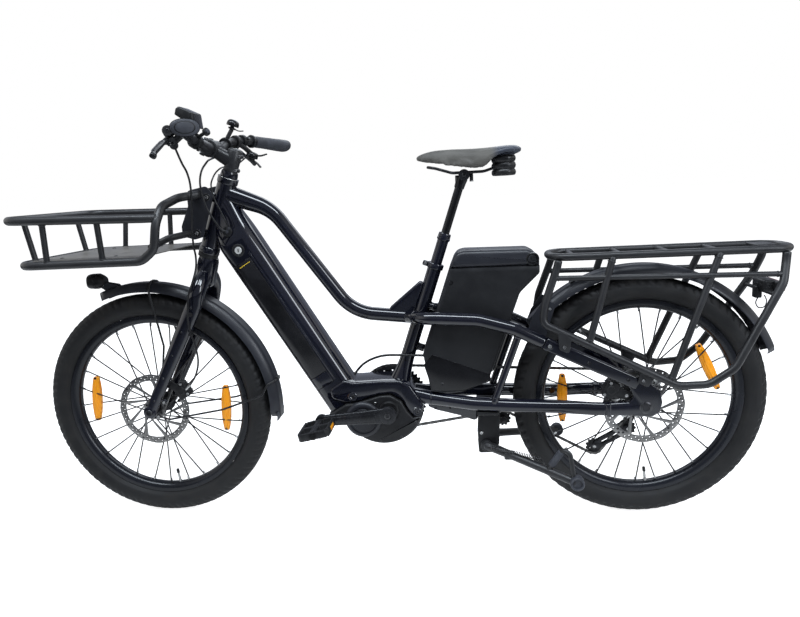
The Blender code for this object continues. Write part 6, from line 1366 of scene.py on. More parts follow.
def grip(side, name, node):
    # from a round sleeve to an egg-shaped palm end, with a ring on its face
    piece = Piece(name, "steering", "gripRubber", (node,), 45)
    corners = barCorners(side)
    tip, line = corners[3], unit(corners[2] - corners[3])
    t = np.linspace(0, 1, 60)
    path = tip + line * 0.137 * (1 - t)[:, None]
    wide = ease((t - 0.22) / 0.72)
    path = path + np.outer(wide, vec(0.0025, 0, 0))
    ribs = 0.0005 * np.sin(t * 2 * math.pi * 24) * ease((t - 0.05) / 0.05) * ease((0.62 - t) / 0.1)
    size = np.stack([0.0162 + 0.0133 * wide + ribs, 0.016 + 0.0019 * wide + ribs], 1)
    up = steered(straightUp) - headBottom
    piece.sweep(moved(path, steerFrame), size, 44, up, 2.15, 0.3)
    out = steerWay(-line)
    end = steered(path[-1])
    for grow, lift, tone in (
        (0.84, 0.0008, "gripRubber"), (0.7, 0.0013, "blackPlastic"), (0.61, 0.002, "gripRubber")
    ):
        piece.sweep(
            [end - out * 0.004, end + out * lift * 0.7, end + out * lift],
            np.array([(0.0295 * grow, 0.0178 * grow)] * 3), 40, up, 2.1, 0.05, tone=tone
        )
    piece.lathe([
        (0.014, 0), (0.0176, 0), (0.0183, 0.001), (0.0183, 0.0078), (0.0176, 0.0088), (0.014, 0.0088)
    ], turned(line, tip + line * 0.1375), 40, False, "darkAlloy")
    pinch = tip + line * 0.142 + vec(0, 0, -0.0172)
    piece.bolt(steered(pinch), -steerUp, 0.0026, 0.0018, "brightSteel")
    piece.done()


def display():
    piece = Piece("display_unit", "steering", "blackPlastic", ("display",), 35)
    root, _ = ringOnBar(piece, left, cockpit["displayClamp"], 0.0185, 0.016, boltAt=unit(vec(0.6, 0, -0.8)))
    centre, half = np.array(cockpit["display"]), cockpit["displayHalf"]
    side = np.array([
        (-0.0285, 0.001), (-0.0295, 0.015), (-0.024, 0.022), (0.012, 0.019), (0.028, -0.014),
        (0.006, -0.012), (-0.008, -0.004)
    ])
    outline = outlined(side, 0.003, 4) + centre[[0, 2]]
    piece.prism(outline, centre[1] - half, centre[1] + half, 0.0035, steerFrame)
    a, b = vec(-0.0225, 0, 0.0216) + centre, vec(0.011, 0, 0.0188) + centre
    up = unit(np.cross(vec(0, 1, 0), b - a)) * -1
    screen = np.array([a - up * 0.001, b - up * 0.001, b + up * 0.0007, a + up * 0.0007])[:, [0, 2]]
    piece.prism(
        screen, centre[1] - half + 0.0035, centre[1] + half - 0.0035, 0.0005, steerFrame, "screenGlass"
    )
    c, d = vec(0.0135, 0, 0.0166) + centre, vec(0.0262, 0, -0.0108) + centre
    out = unit(np.cross(vec(0, 1, 0), d - c)) * -1
    lower = np.array([c - out * 0.001, d - out * 0.001, d + out * 0.0006, c + out * 0.0006])[:, [0, 2]]
    piece.prism(
        lower, centre[1] - half + 0.004, centre[1] + half - 0.004, 0.0005, steerFrame, "glossPlastic"
    )
    piece.sweep(spaced(steer(
        root, root + (centre - root) * 0.5 + vec(-0.002, 0, 0.001), centre
    ), 0.004), (0.0065, 0.008), 20, (0, 1, 0), 2.6)
    stalkRoot, tip = root + vec(0.004, -0.004, 0.01), root + vec(0.026, -0.016, 0.03)
    way = unit(tip - stalkRoot)
    piece.sweep(spaced(steer(stalkRoot, tip), 0.003), 0.0042, 16)
    cup = turned(way, tip - way * 0.004)
    piece.lathe([
        (0.003, -0.0008), (0.0078, 0.0), (0.0092, 0.0012), (0.0095, 0.003), (0.0095, 0.008), (0.009, 0.009),
        (0.0068, 0.009), (0.0065, 0.008), (0.0064, 0.0055), (0.001, 0.0052)
    ], cup, 32)
    piece.done()
    button = Piece("remote_cap", "remote_key", "gripRubber", ("remote_button",))
    button.lathe([
        (0.001, 0), (0.0052, 0), (0.0058, 0.0008), (0.0059, 0.0036), (0.0054, 0.0046), (0.004, 0.0051),
        (0.0036, 0.0047), (0.0008, 0.0045)
    ], turned(way, tip + way * 0.0035), 28)
    button.done()


def bell():
    piece = Piece("bell_dome", "steering", "glossPlastic", ("bell",), 40)
    root, _ = ringOnBar(
        piece, right, cockpit["bellClamp"], 0.018, 0.012, "blackPlastic", unit(vec(0.3, 0, -0.95))
    )
    centre = root + vec(0.004, 0.006, 0.056)
    piece.sweep(spaced(steer(
        root, root + vec(0.001, 0.001, 0.02), centre + vec(0, 0, -0.015)
    ), 0.004), 0.0056, 20, tone="blackPlastic")
    place = turned(vec(0, 0, 1), centre)
    piece.lathe([
        (0.0045, -0.019), (0.0056, -0.0185), (0.0056, -0.0035), (0.01, -0.0034)
    ], place, 28, False, "blackPlastic")
    piece.lathe([
        (0.004, -0.0022), (0.0148, -0.0034), (0.016, -0.004), (0.0165, -0.0034), (0.0166, 0.001),
        (0.0163, 0.004), (0.0152, 0.0073), (0.013, 0.0102), (0.0098, 0.0122), (0.006, 0.0134),
        (0.002, 0.0139), (0.0003, 0.014)
    ], place, 48)
    piece.bolt(steered(centre + vec(0, 0, 0.0134)), steerUp, 0.0022, 0.0006, "darkAlloy")
    piece.done()
    striker = Piece("bell_striker_arm", "bell_striker", "blackPlastic", ("bell_lever",))
    pivot = centre + vec(0, 0, -0.01)
    striker.lathe(bothWays([
        (0.0062, -0.0022), (0.009, -0.0025), (0.0096, -0.0018)
    ]), turned(vec(0, 0, 1), pivot), 32, True)
    striker.sweep(spaced(rounded(steer(
        pivot + vec(0.0085, 0.001, 0), pivot + vec(0.02, 0.0025, -0.0015), pivot + vec(0.031, 0.004, 0.003)
    ), 0.02), 0.0015), (0.0016, 0.0042), 16, (0, 1, 0), 3.0, 0.4)
    striker.done()


def leverParts(side):
    root, line = barPoint(side, bar["leverAt"])
    axis = unit(np.cross(line, vec(0.365, 0, 0.931)))
    pivot = root + leverDrop + line * 0.0315 + vec(-0.009, 0, -0.006)
    return root, line, axis, pivot


def brakeBody(piece, side):
    root, line, axis, pivot = leverParts(side)
    ringOnBar(piece, side, bar["leverAt"], 0.0172, 0.013, boltAt=unit(vec(0.75, 0, 0.66)))
    cylinder = root + vec(*bar["cylinderDrop"])
    along = steerWay(line)
    piece.sweep(spaced(steer(
        root + leverDrop * 0.1, root + leverDrop
    ), 0.003), (0.0082, 0.007), 24, along, 2.6)
    piece.sweep(spaced(steer(
        root + vec(*bar["cylinderDrop"]) * 0.2, cylinder
    ), 0.003), (0.0072, 0.007), 24, along, 2.6)
    piece.sweep(spaced(steer(cylinder, root + leverDrop), 0.003), (0.0074, 0.0074), 24, along, 2.4)
    bore = root + leverDrop
    piece.lathe([
        (0.005, 0), (0.0092, 0), (0.01, 0.001), (0.0101, 0.014), (0.0096, 0.0152), (0.01, 0.0164),
        (0.0096, 0.04), (0.0086, 0.053), (0.0074, 0.0542), (0.004, 0.0542)
    ], turned(line, bore - line * 0.036), 32)
    piece.lathe([
        (0.006, 0), (0.0112, 0), (0.012, 0.0012), (0.0121, 0.009), (0.0114, 0.01), (0.0114, 0.0116),
        (0.0121, 0.0126), (0.012, 0.0345), (0.0112, 0.036), (0.006, 0.036)
    ], turned(line, cylinder - line * 0.014), 36)
    piece.bolt(steered(cylinder + line * 0.0216), along, 0.0046, 0.0014, "darkAlloy")
    piece.rod(steered(bore - line * 0.035), steered(bore - line * 0.043), 0.0052, 0.004, tone="darkAlloy")
    base = root + leverDrop + line * 0.01
    level = (pivot - base) - axis * (axis @ (pivot - base))
    out = steerWay(axis)
    for way in (-1, 1):
        ear = pivot + axis * way * 0.0071
        foot = ear - level * 0.95
        piece.sweep(spaced(steer(
            base + axis * way * 0.002, foot + level * 0.25, ear
        ), 0.002), (0.0054, 0.0016), 20, out, 3.5, 0.2)
        piece.rod(*steer(ear - axis * 0.0016, ear + axis * 0.0016), 0.0062, steps=24)
        piece.bolt(steered(ear + axis * way * 0.0016), out * way, 0.003, 0.001, "brightSteel")


def brakeBlade(side, name, node, body):
    _, line, axis, pivot = leverParts(side)
    piece = Piece(name, body, "darkAlloy", (node,), 40)
    piece.rod(*steer(pivot - axis * 0.005, pivot + axis * 0.005), 0.0062, steps=28)
    route = [
        pivot, pivot + line * 0.03 + vec(-0.004, 0, -0.008), pivot + line * 0.098 + vec(-0.008, 0, -0.042),
        pivot + line * 0.118 + vec(-0.006, 0, -0.054)
    ]
    path = spaced(rounded(route, 0.03, 8), 0.003)
    t = np.linspace(0, 1, len(path))
    # a folded blade: deep at the pivot, slim in the middle, with a ball at the tip
    deep = 0.0062 - 0.001 * ease(t / 0.4) + 0.0012 * np.exp(-((t - 0.96) / 0.05) ** 2)
    thick = 0.0052 + 0.001 * ease(t / 0.5) + 0.0012 * np.exp(-((t - 0.96) / 0.05) ** 2)
    piece.sweep(moved(path, steerFrame), np.stack([deep, thick], 1), 24, steerWay(axis), 2.8, 0.35)
    piece.sweep(
        moved(path[4:-8] + vec(-0.004, 0, -0.0006), steerFrame),
        np.stack([deep[4:-8] * 0.3, thick[4:-8] * 0.72], 1), 14, steerWay(axis), 2.5, tone="brightSteel"
    )
    piece.done()


def leversAndShifter():
    piece = Piece("brake_body_l", "steering", "blackPlastic", ("brake_body_left",), 40)
    brakeBody(piece, left)
    piece.done()
    brakeBlade(left, "brake_blade_l", "brake_lever_left", "left_brake_lever")
    piece = Piece("brake_body_r", "steering", "blackPlastic", ("brake_body_right",), 40)
    brakeBody(piece, right)
    root, _ = ringOnBar(
        piece, right, cockpit["shifterClamp"], 0.0172, 0.012, boltAt=unit(vec(0.2, 0, -0.98))
    )
    piece.sweep(spaced(steer(
        root, root + (shiftPod - root) * 0.55 + vec(0, 0, 0.004), shiftPod + vec(-0.004, 0, 0.005)
    ), 0.003), (0.007, 0.0072), 24)
    pod = turned(vec(0, 0, 1), shiftPod)
    piece.lathe([
        (0.008, -0.006), (0.016, -0.006), (0.017, -0.005), (0.017, -0.001), (0.0163, 0.0045),
        (0.015, 0.0082), (0.0128, 0.01), (0.008, 0.0106), (0.001, 0.0108)
    ], pod, 44, False, "glossPlastic")
    piece.lathe([
        (0.002, 0.0104), (0.007, 0.0108), (0.0074, 0.0102), (0.0074, 0.009)
    ], pod, 30, False, "darkAlloy")
    bridge = vec(-0.0145, 0, 0)
    piece.sweep(spaced(steer(root + bridge, barPoint(right, bar["leverAt"])[0] + bridge), 0.004), 0.005, 18)
    tab = [
        shiftPod + vec(0.008, 0.0015, 0.003), shiftPod + vec(0.024, 0.004, 0.008),
        shiftPod + vec(0.038, 0.006, 0.018)
    ]
    path = spaced(rounded(tab, 0.02), 0.002)
    grow = np.linspace(0, 1, len(path))[:, None]
    piece.sweep(
        moved(path, steerFrame), taper((0.003, 0.005), (0.002, 0.009), grow), 24, (0, 1, 0), 2.6, 0.4
    )
    start = shiftPod + vec(-0.004, -0.016, 0.0)
    piece.rod(*steer(start, start + vec(0, -0.0075, 0)), 0.004, 0.003, tone="darkAlloy")
    piece.done()
    brakeBlade(right, "brake_blade_r", "brake_lever_right", "right_brake_lever")
    thumb = Piece("gear_paddle", "gear_lever", "blackPlastic", ("shift_lever",), 40)
    pivot = shiftPod + vec(0, 0, -0.01)
    thumb.lathe(bothWays([
        (0.003, -0.003), (0.0098, -0.003), (0.0105, -0.0022)
    ]), turned(vec(0, 0, 1), pivot), 36)
    path = spaced(rounded([
        pivot + vec(0.004, 0.0005, -0.001), pivot + vec(0.018, 0.0022, -0.005),
        pivot + vec(0.032, 0.004, -0.014)
    ], 0.02), 0.002)
    grow = np.linspace(0, 1, len(path))[:, None]
    thumb.sweep(
        moved(path, steerFrame), taper((0.002, 0.0058), (0.0022, 0.01), grow), 26, (0, 1, 0), 2.6, 0.4
    )
    for rib in (0.72, 0.8, 0.88):
        spot = path[int(rib * (len(path) - 1))]
        thumb.sweep(moved([
            spot + vec(-0.0012, -0.007, 0.0016), spot + vec(-0.0012, 0.007, 0.0016)
        ], steerFrame), 0.0009, 10)
    thumb.done()


handlebar()
stem()
grip(left, "grip_l", "grip_left")
grip(right, "grip_r", "grip_right")
display()
bell()
leversAndShifter()
print("handlebar and its controls ready")


# Main frame with the battery's place in the down tube
tube = {
    "depth": 0.053, "half": 0.042, "corner": 0.031, "neck": 0.098, "overrun": 0.06, "roomX": -0.0125,
    "roomY": 0.03, "batteryLength": 0.392, "gap": 0.0008, "top": 0.0178, "twin": 0.0165, "stay": 0.017,
    "lip": ((-0.0195, -0.0424), (-0.015, -0.04))
}
batteryStart = downLength - 0.4
alongTube = np.eye(4)[[0, 2, 1, 3]]     # swaps Y and Z, so that a prism runs along Z


def tubeOutline(steps=10):
    d, h, r = tube["depth"], tube["half"], tube["corner"]
    return np.vstack([
        arc2d((d - r, h - r), r, 0, 90, steps), arc2d((r - d, h - r), r, 90, 180, steps),
        arc2d((r - d, r - h), r, 180, 270, steps), arc2d((d - r, r - h), r, 270, 360, steps)
    ])


def column(piece, outline, low, high, bevel, tone=None):
    if bevel:
        piece.prism(outline, low, high, bevel, downFrame @ alongTube, tone)
    else:
        outline = np.asarray(outline)
        rings = np.stack([np.hstack([outline, np.full((len(outline), 1), z)]) for z in (low, high)])
        piece.grid(moved(rings, downFrame), False, tone)


def downTube(piece):
    outline = tubeOutline()
    n = tube["neck"]
    back = float(np.dot(downFrame[:3, 2], steerBack))
    out = float(np.dot(downFrame[:3, 0], steerBack))
    meet = -out * outline[:, 0] / back + 0.004 / back
    share = ease(np.linspace(0, 1, 16))[:, None] * 0.55 + np.linspace(0, 1, 16)[:, None] * 0.45
    z = meet[None] * (1 - share) + n * share
    narrow = 0.54 + 0.46 * ease(share * 1.05)
    slim = 0.93 + 0.07 * ease(share)
    rings = np.stack([outline[None, :, 0] * slim, outline[None, :, 1] * narrow, z], -1)
    piece.grid(moved(rings, downFrame))
    column(piece, outline, n, batteryStart, 0)
    d, h, r, x, y = tube["depth"], tube["half"], tube["corner"], tube["roomX"], tube["roomY"]
    stop = math.degrees(math.asin((y - (h - r)) / r))
    wall = np.vstack([
        arc2d((r - d, h - r), r, 90, 180), arc2d((r - d, r - h), r, 180, 270), [(x, -h), (x, y)],
        arc2d((d - r, h - r), r, stop, 90)
    ])
    column(piece, wall, batteryStart, batteryStart + tube["batteryLength"], 0)
    column(piece, outline, batteryStart + tube["batteryLength"], downLength + tube["overrun"], 0)
    # a raised lip that runs beside the battery's cover
    low, high = tube["lip"]
    lip = outlined([low, (high[0], low[1]), high, (low[0], high[1])], 0.001, 3)
    column(piece, lip, n + 0.036, downLength - 0.01, 0.0006)


def weld(piece, centre, direction, radius, bead):
    # a ring of overlapping beads: the bead's size swells along the ring
    place = frameFrom(np.asarray(centre, float), direction, crossing(direction))
    a = np.linspace(0, 2 * math.pi, 96, endpoint=False)
    ring = moved(np.stack([radius * np.cos(a), radius * np.sin(a), np.zeros(96)], 1), place)
    piece.sweep(ring, bead * (1 + 0.16 * np.sin(a * 24)), 8, unit(np.asarray(direction, float)), loop=True)


def weldedTube(piece, start, end, spacing, radius, sides, gaps, weldRadius, bead):
    # a straight tube with a weld a little way in from each end
    piece.sweep(spaced([start, end], spacing), radius, sides)
    way = unit(end - start)
    weld(piece, start + way * gaps[0], way, weldRadius, bead)
    weld(piece, end - way * gaps[1], way, weldRadius, bead)


def mainFrame():
    piece = Piece("frame_front", "frame", "glossPaint", ("main_frame",), 38)
    length, r = bike["headLength"], 0.0245
    piece.lathe([
        (0.0155, 0), (r + 0.0008, 0), (r + 0.002, 0.0012), (r + 0.002, 0.014), (r + 0.0012, 0.0158),
        (r, 0.0172), (r, length - 0.0172), (r + 0.0012, length - 0.0158), (r + 0.002, length - 0.014),
        (r + 0.002, length - 0.0012), (r + 0.0008, length), (0.0155, length)
    ], steerFrame, 64)
    for z in (0.0005, length - 0.0012):
        piece.lathe([
            (0.016, z - 0.0004), (r + 0.0026, z - 0.0004), (r + 0.0029, z + 0.0003),
            (r + 0.0026, z + 0.001), (0.016, z + 0.001)
        ], steerFrame, 64, False, "brightSteel" if z > 0.1 else "darkSteel")
    downTube(piece)
    topHead = headBottom + steerUp * 0.163
    seat = seatPoint(0.212)
    path = spaced(rounded([
        topHead, topHead + vec(0.1214, 0, -0.0461), seat + vec(-0.1764, 0, 0.0188), seat
    ], 0.125, 14), 0.004)
    run = np.linspace(0, lengthOf(path), len(path))
    grow = 1 + 0.42 * (1 - ease(run / 0.19))
    piece.sweep(path, np.stack([
        tube["top"] * grow, tube["top"] * (1 + (grow - 1) * 0.55)
    ], 1), 40, (0, 1, 0))
    weld(piece, path[4] + vec(-0.001, 0, 0), path[5] - path[3], tube["top"] * 1.16, 0.0016)
    # the shell round the motor, with eased edges
    shell = np.array([
        (-0.15, 0.368), (-0.112, 0.392), (-0.087, 0.385), (-0.015, 0.3885), (0.038, 0.3875),
        (0.064, 0.3735), (0.086, 0.338), (0.095, 0.309), (0.088, 0.292), (0.07, 0.287), (0.055, 0.306),
        (0.04, 0.335), (0.01, 0.352), (-0.018, 0.351), (-0.049, 0.342), (-0.08, 0.332), (-0.11, 0.328),
        (-0.15, 0.342)
    ])
    outline = outlined(shell, 0.016, 5)
    piece.prism(outline, -0.047, 0.0455, 0.006)
    for x, z in ((0.08, 0.301), (-0.0895, 0.347)):
        piece.lathe([
            (0.0095, -0.002), (0.011, 0.0), (0.0115, 0.0016), (0.0105, 0.0024), (0.0072, 0.0024),
            (0.0066, 0.001), (0.001, 0.0008)
        ], facing((x, -0.0462, z), -1), 36)
        piece.bolt((x, -0.047, z), (0, -1, 0), 0.0046, 0.0016, "darkSteel")
    seatPlace = frameFrom(seatFoot, seatUp)
    piece.lathe([
        (0.02, 0.014), (0.03, 0.02), (0.029, 0.03), (0.0258, 0.042), (0.0222, 0.06), (0.0196, 0.08),
        (0.0184, 0.1), (0.018, 0.12), (0.018, 0.344), (0.018, 0.3468), (0.021, 0.3472), (0.0215, 0.3482),
        (0.0215, 0.359), (0.0208, 0.3602), (0.018, 0.3604), (0.017, 0.361), (0.0152, 0.3608),
        (0.0148, 0.3596), (0.0148, 0.242), (0.001, 0.24)
    ], seatPlace, 56)
    clampAt = seatPoint(0.3535)
    piece.block(
        (-0.0335, -0.0085, -0.0058), (-0.017, 0.0085, 0.0058), 0.0035, 0.0015, frameFrom(clampAt, seatUp),
        "darkAlloy"
    )
    piece.bolt(
        clampAt + seatAcross * -0.0265 + vec(0, -0.0085, 0), (0, -1, 0), 0.0042, 0.003, "brightSteel"
    )
    gusset = outlined([
        (0.002, 0.548), (0.0185, 0.578), (0.1155, 0.657), (0.095, 0.6), (0.076, 0.545)
    ], 0.007, 5)
    piece.prism(gusset, -0.011, 0.011, 0.0045)
    for z in (0.047, 0.1445):
        piece.rod(*steer((-0.028, -0.0365, z), (-0.028, 0.0365, z)), 0.0115, edge=0.0015)
        piece.block((-0.03, -0.018, z - 0.0105), (-0.012, 0.018, z + 0.0105), 0.004, 0.002, steerFrame)
    for height in (0.135, 0.25):
        foot = seatPoint(height)
        piece.rod(foot, foot + seatAcross * 0.0359, 0.01)
        weld(piece, foot + seatAcross * 0.0185, seatAcross, 0.0102, 0.0013)
    for side in (left, right):
        stay = spaced(rounded([
            (0.062, side * 0.018, 0.343), (0.112, side * 0.024, 0.333), (0.23, side * 0.058, 0.3265),
            (0.33, side * 0.0625, 0.322), (0.44, side * 0.064, 0.318), (0.52, side * 0.0765, 0.3155),
            (0.555, side * 0.0791, 0.3149)
        ], 0.1, 8), 0.008)
        flat = ease((stay[:, 0] - 0.425) / 0.09)
        tall = tube["stay"] * (1 + 0.1 * ease((0.16 - stay[:, 0]) / 0.08))
        piece.sweep(stay, np.stack([
            tall, tube["stay"] * (1 - 0.34 * flat) - 0.0012 * flat
        ], 1), 36, (0, 1, 0), 2.2)
        twin = spaced(rounded([
            seat + vec(-0.03, side * 0.004, 0.003), seat + vec(0.012, side * 0.0555, 0.008),
            seat + vec(0.06, side * 0.0645, 0.008), (0.245, side * 0.0665, 0.5495),
            (0.335, side * 0.0675, 0.5235), (0.4065, side * 0.0685, 0.487)
        ], 0.1, 8), 0.007)
        piece.sweep(twin, tube["twin"], 36, (0, 1, 0))
        weld(piece, twin[5], twin[6] - twin[4], tube["twin"] + 0.0004, 0.0015)
        top, low = vec(0.347, side * 0.069, 0.518), vec(0.279, side * 0.068, 0.33)
        weldedTube(piece, top, low, 0.008, 0.0092, 28, (0.017, 0.0165), 0.0094, 0.0014)
        weld(piece, stay[np.argmin(np.abs(stay[:, 0] - 0.118))], (1, 0, -0.05), 0.0186, 0.0013)
    portFace = facing(placed(downFrame, 0, -0.034, 0.06), -1)
    piece.lathe([
        (0.0105, 0), (0.0135, 0.007), (0.0128, 0.0092), (0.0118, 0.0106), (0.0095, 0.0112), (0.006, 0.0106),
        (0.001, 0.0104)
    ], portFace, 40, False, "blackPlastic")
    for x, z in ((0, 0), (0.004, 0.007)):
        piece.lathe(
            [(0.002, -0.004), (0.0042, -0.003), (0.0046, 0.0002), (0.0036, 0.0016), (0.0028, 0.0018)],
            facing(port + vec(x, 0.0006, z), -1), 24, False, "gripRubber"
        )
    lockPlace = facing(placed(downFrame, 0.004, -tube["half"], 0.115), -1)
    piece.lathe([
        (0.01, -0.006), (0.0165, -0.001), (0.0168, 0.0004), (0.016, 0.0012), (0.0128, 0.0012),
        (0.0112, 0.0002), (0.0104, -0.0024), (0.01, -0.006)
    ], lockPlace, 48, True, "blackPlastic")
    piece.done()


def lockCylinder(name, body, node, place, reach, tone="satinNickel"):
    # a key cylinder: a bright face inside a raised rim, and its slot as a thin black block on the face,
    # painted shade of the keyway
    piece = Piece(name, body, tone, (node,), 30)
    piece.lathe([
        (0.005, -0.012), (0.0092, -0.012), (0.0094, reach - 0.001), (0.0086, reach), (0.007, reach),
        (0.0066, reach - 0.0006), (0.0002, reach - 0.0006)
    ], place, 40)
    # the slot: a thin black block, painted shade in place of a sunk keyway
    piece.block(
        (-0.0012, reach - 0.0011, -0.0048), (0.0012, reach - 0.0004, 0.0048), 0.0008, 0.0001,
        place @ alongTube, "blackPlastic"
    )
    piece.done()


def mainBattery():
    piece = Piece("tube_battery", "down_tube_battery", "glossPlastic", ("main_battery",), 38)
    d, h, r, g = tube["depth"], tube["half"], tube["corner"], tube["gap"]
    x, y = tube["roomX"] + g, tube["roomY"] - g
    stop = math.degrees(math.asin((y - (h - r)) / r))
    section = np.vstack([
        arc2d((d - r, r - h), r, 270, 360), [(d, 0.0)], arc2d((d - r, h - r), r, 0, stop, 4),
        [(x + 0.001, y), (x, y - 0.001)], [(x, 0.001 - h), (x + 0.001, -h)]
    ])
    low, high = batteryStart + g, batteryStart + tube["batteryLength"] - g
    column(piece, section, low, high - 0.034, 0.0009)
    column(piece, section, high - 0.0332, high, 0.0009, "glossPaint")
    # a yellow line crosses the cover near its upper end
    line = np.array([
        (-0.005, -0.04225), (0.023, -0.04225), (0.0285, -0.0417), (0.0285, -0.041), (-0.005, -0.0416)
    ])
    column(piece, line, low + 0.0085, low + 0.0105, 0, "warmLine")
    for z in (0.03, 0.34):
        piece.rod(
            placed(downFrame, 0.02, y - 0.001, low + z), placed(downFrame, 0.02, y + 0.0004, low + z),
            0.009, tone="darkAlloy"
        )
    piece.done()


mainFrame()
lockCylinder(
    "tube_lock", "down_tube_lock", "main_lock", facing(placed(downFrame, 0.004, -tube["half"], 0.115), -1),
    0.0012
)
mainBattery()
print("main frame and its battery ready")


# Motor under the arch
motorLook = {
    "centre": (-0.012, 0.3216), "radius": 0.11, "left": -0.04, "cover": -0.054, "clutch": (-0.064, 0.285),
    "clutchRadius": 0.049
}


def motorOutline(radius, inset=0.0):
    m = motorLook["centre"]
    under = np.array([
        (-0.128, 0.281), (-0.1555, 0.2905), (-0.159, 0.2975), (-0.112, 0.3265), (-0.08, 0.3308),
        (-0.049, 0.3408), (-0.018, 0.3498), (0.01, 0.3508), (0.0395, 0.3338), (0.054, 0.3055),
        (0.069, 0.286), (0.0865, 0.2905)
    ])
    middle = under.mean(0)
    under = under + unit(middle - under) * inset
    return np.vstack([arc2d(m, radius, -17, -151, 40), under])


def motor():
    piece = Piece("drive_unit", "frame", "blackPlastic", ("motor",), 34)
    m = motorLook
    outline = motorOutline(m["radius"])
    piece.prism(outline, m["left"], 0.0445, 0.005)
    outline = motorOutline(m["radius"] - 0.0045, 0.0012)
    piece.prism(outline, m["cover"], m["left"] + 0.001, 0.0055)
    centre = vec(m["clutch"][0], 0, m["clutch"][1])
    r = m["clutchRadius"]
    face = facing(centre, -1)
    piece.lathe([
        (r - 0.003, 0.048), (r, 0.05), (r + 0.0006, 0.0525), (r - 0.0012, 0.0568), (r - 0.005, 0.0602),
        (r - 0.01, 0.0618), (r - 0.0125, 0.0612), (r - 0.0136, 0.059), (r - 0.014, 0.0584), (0.03, 0.0586),
        (0.0292, 0.0594), (0.015, 0.0597), (0.001, 0.0598)
    ], face, 72, False, "satinGuard")
    crank = facing(crankAxis, -1)
    piece.lathe([
        (0.024, 0.049), (0.0262, 0.05), (0.0268, 0.053), (0.0258, 0.0575), (0.0238, 0.0598), (0.018, 0.06),
        (0.014, 0.0592), (0.0122, 0.056)
    ], crank, 56)
    for x, z in ((-0.096, 0.341), (0.075, 0.31)):
        piece.bolt((x, -0.046, z), (0, -1, 0), 0.004, 0.0022, "brightSteel")
    for angle in (-28, -62, -96, -128):
        a = math.radians(angle)
        spot = vec(
            m["centre"][0] + 0.098 * math.cos(a), m["cover"] + 0.001, m["centre"][1] + 0.098 * math.sin(a)
        )
        piece.bolt(spot, (0, -1, 0), 0.0034, 0.0016, "brightSteel" if angle == -128 else "darkSteel")
    piece.bolt((-0.03, m["cover"] + 0.0006, 0.33), (0, -1, 0), 0.0036, 0.0018, "brightSteel")
    # cooling ribs along the right half of the casing
    for x in np.linspace(-0.085, 0.06, 11):
        z = m["centre"][1] - math.sqrt(max(0.108 ** 2 - (x - m["centre"][0]) ** 2, 0)) + 0.004
        piece.block((x - 0.0016, 0.004, z - 0.0045), (x + 0.0016, 0.04, z + 0.006), 0.001, 0.001)
    piece.done()


motor()
print("motor ready")


# Rear battery in its case
case = {
    "offset": 0.0362, "depth": 0.182, "half": 0.046, "seam": 0.678, "back": 0.4, "wall": 0.01, "gap": 0.001,
    "shoulder": 0.207
}


def casePoint(across, up):
    point = caseFront + seatAcross * across + seatUp * up
    return (point[0], point[2])


def seamAt(across, lift):
    # how far up the seat tube's line the seam lies, at a distance behind the case's front
    return (case["seam"] + lift - caseFront[2] - across * seatAcross[2]) / seatUp[2]


seamFront = caseFront + seatUp * ((case["seam"] - caseFront[2]) / seatUp[2])
footFront = (caseFront[0] + 0.024, caseFront[2] - 0.08)


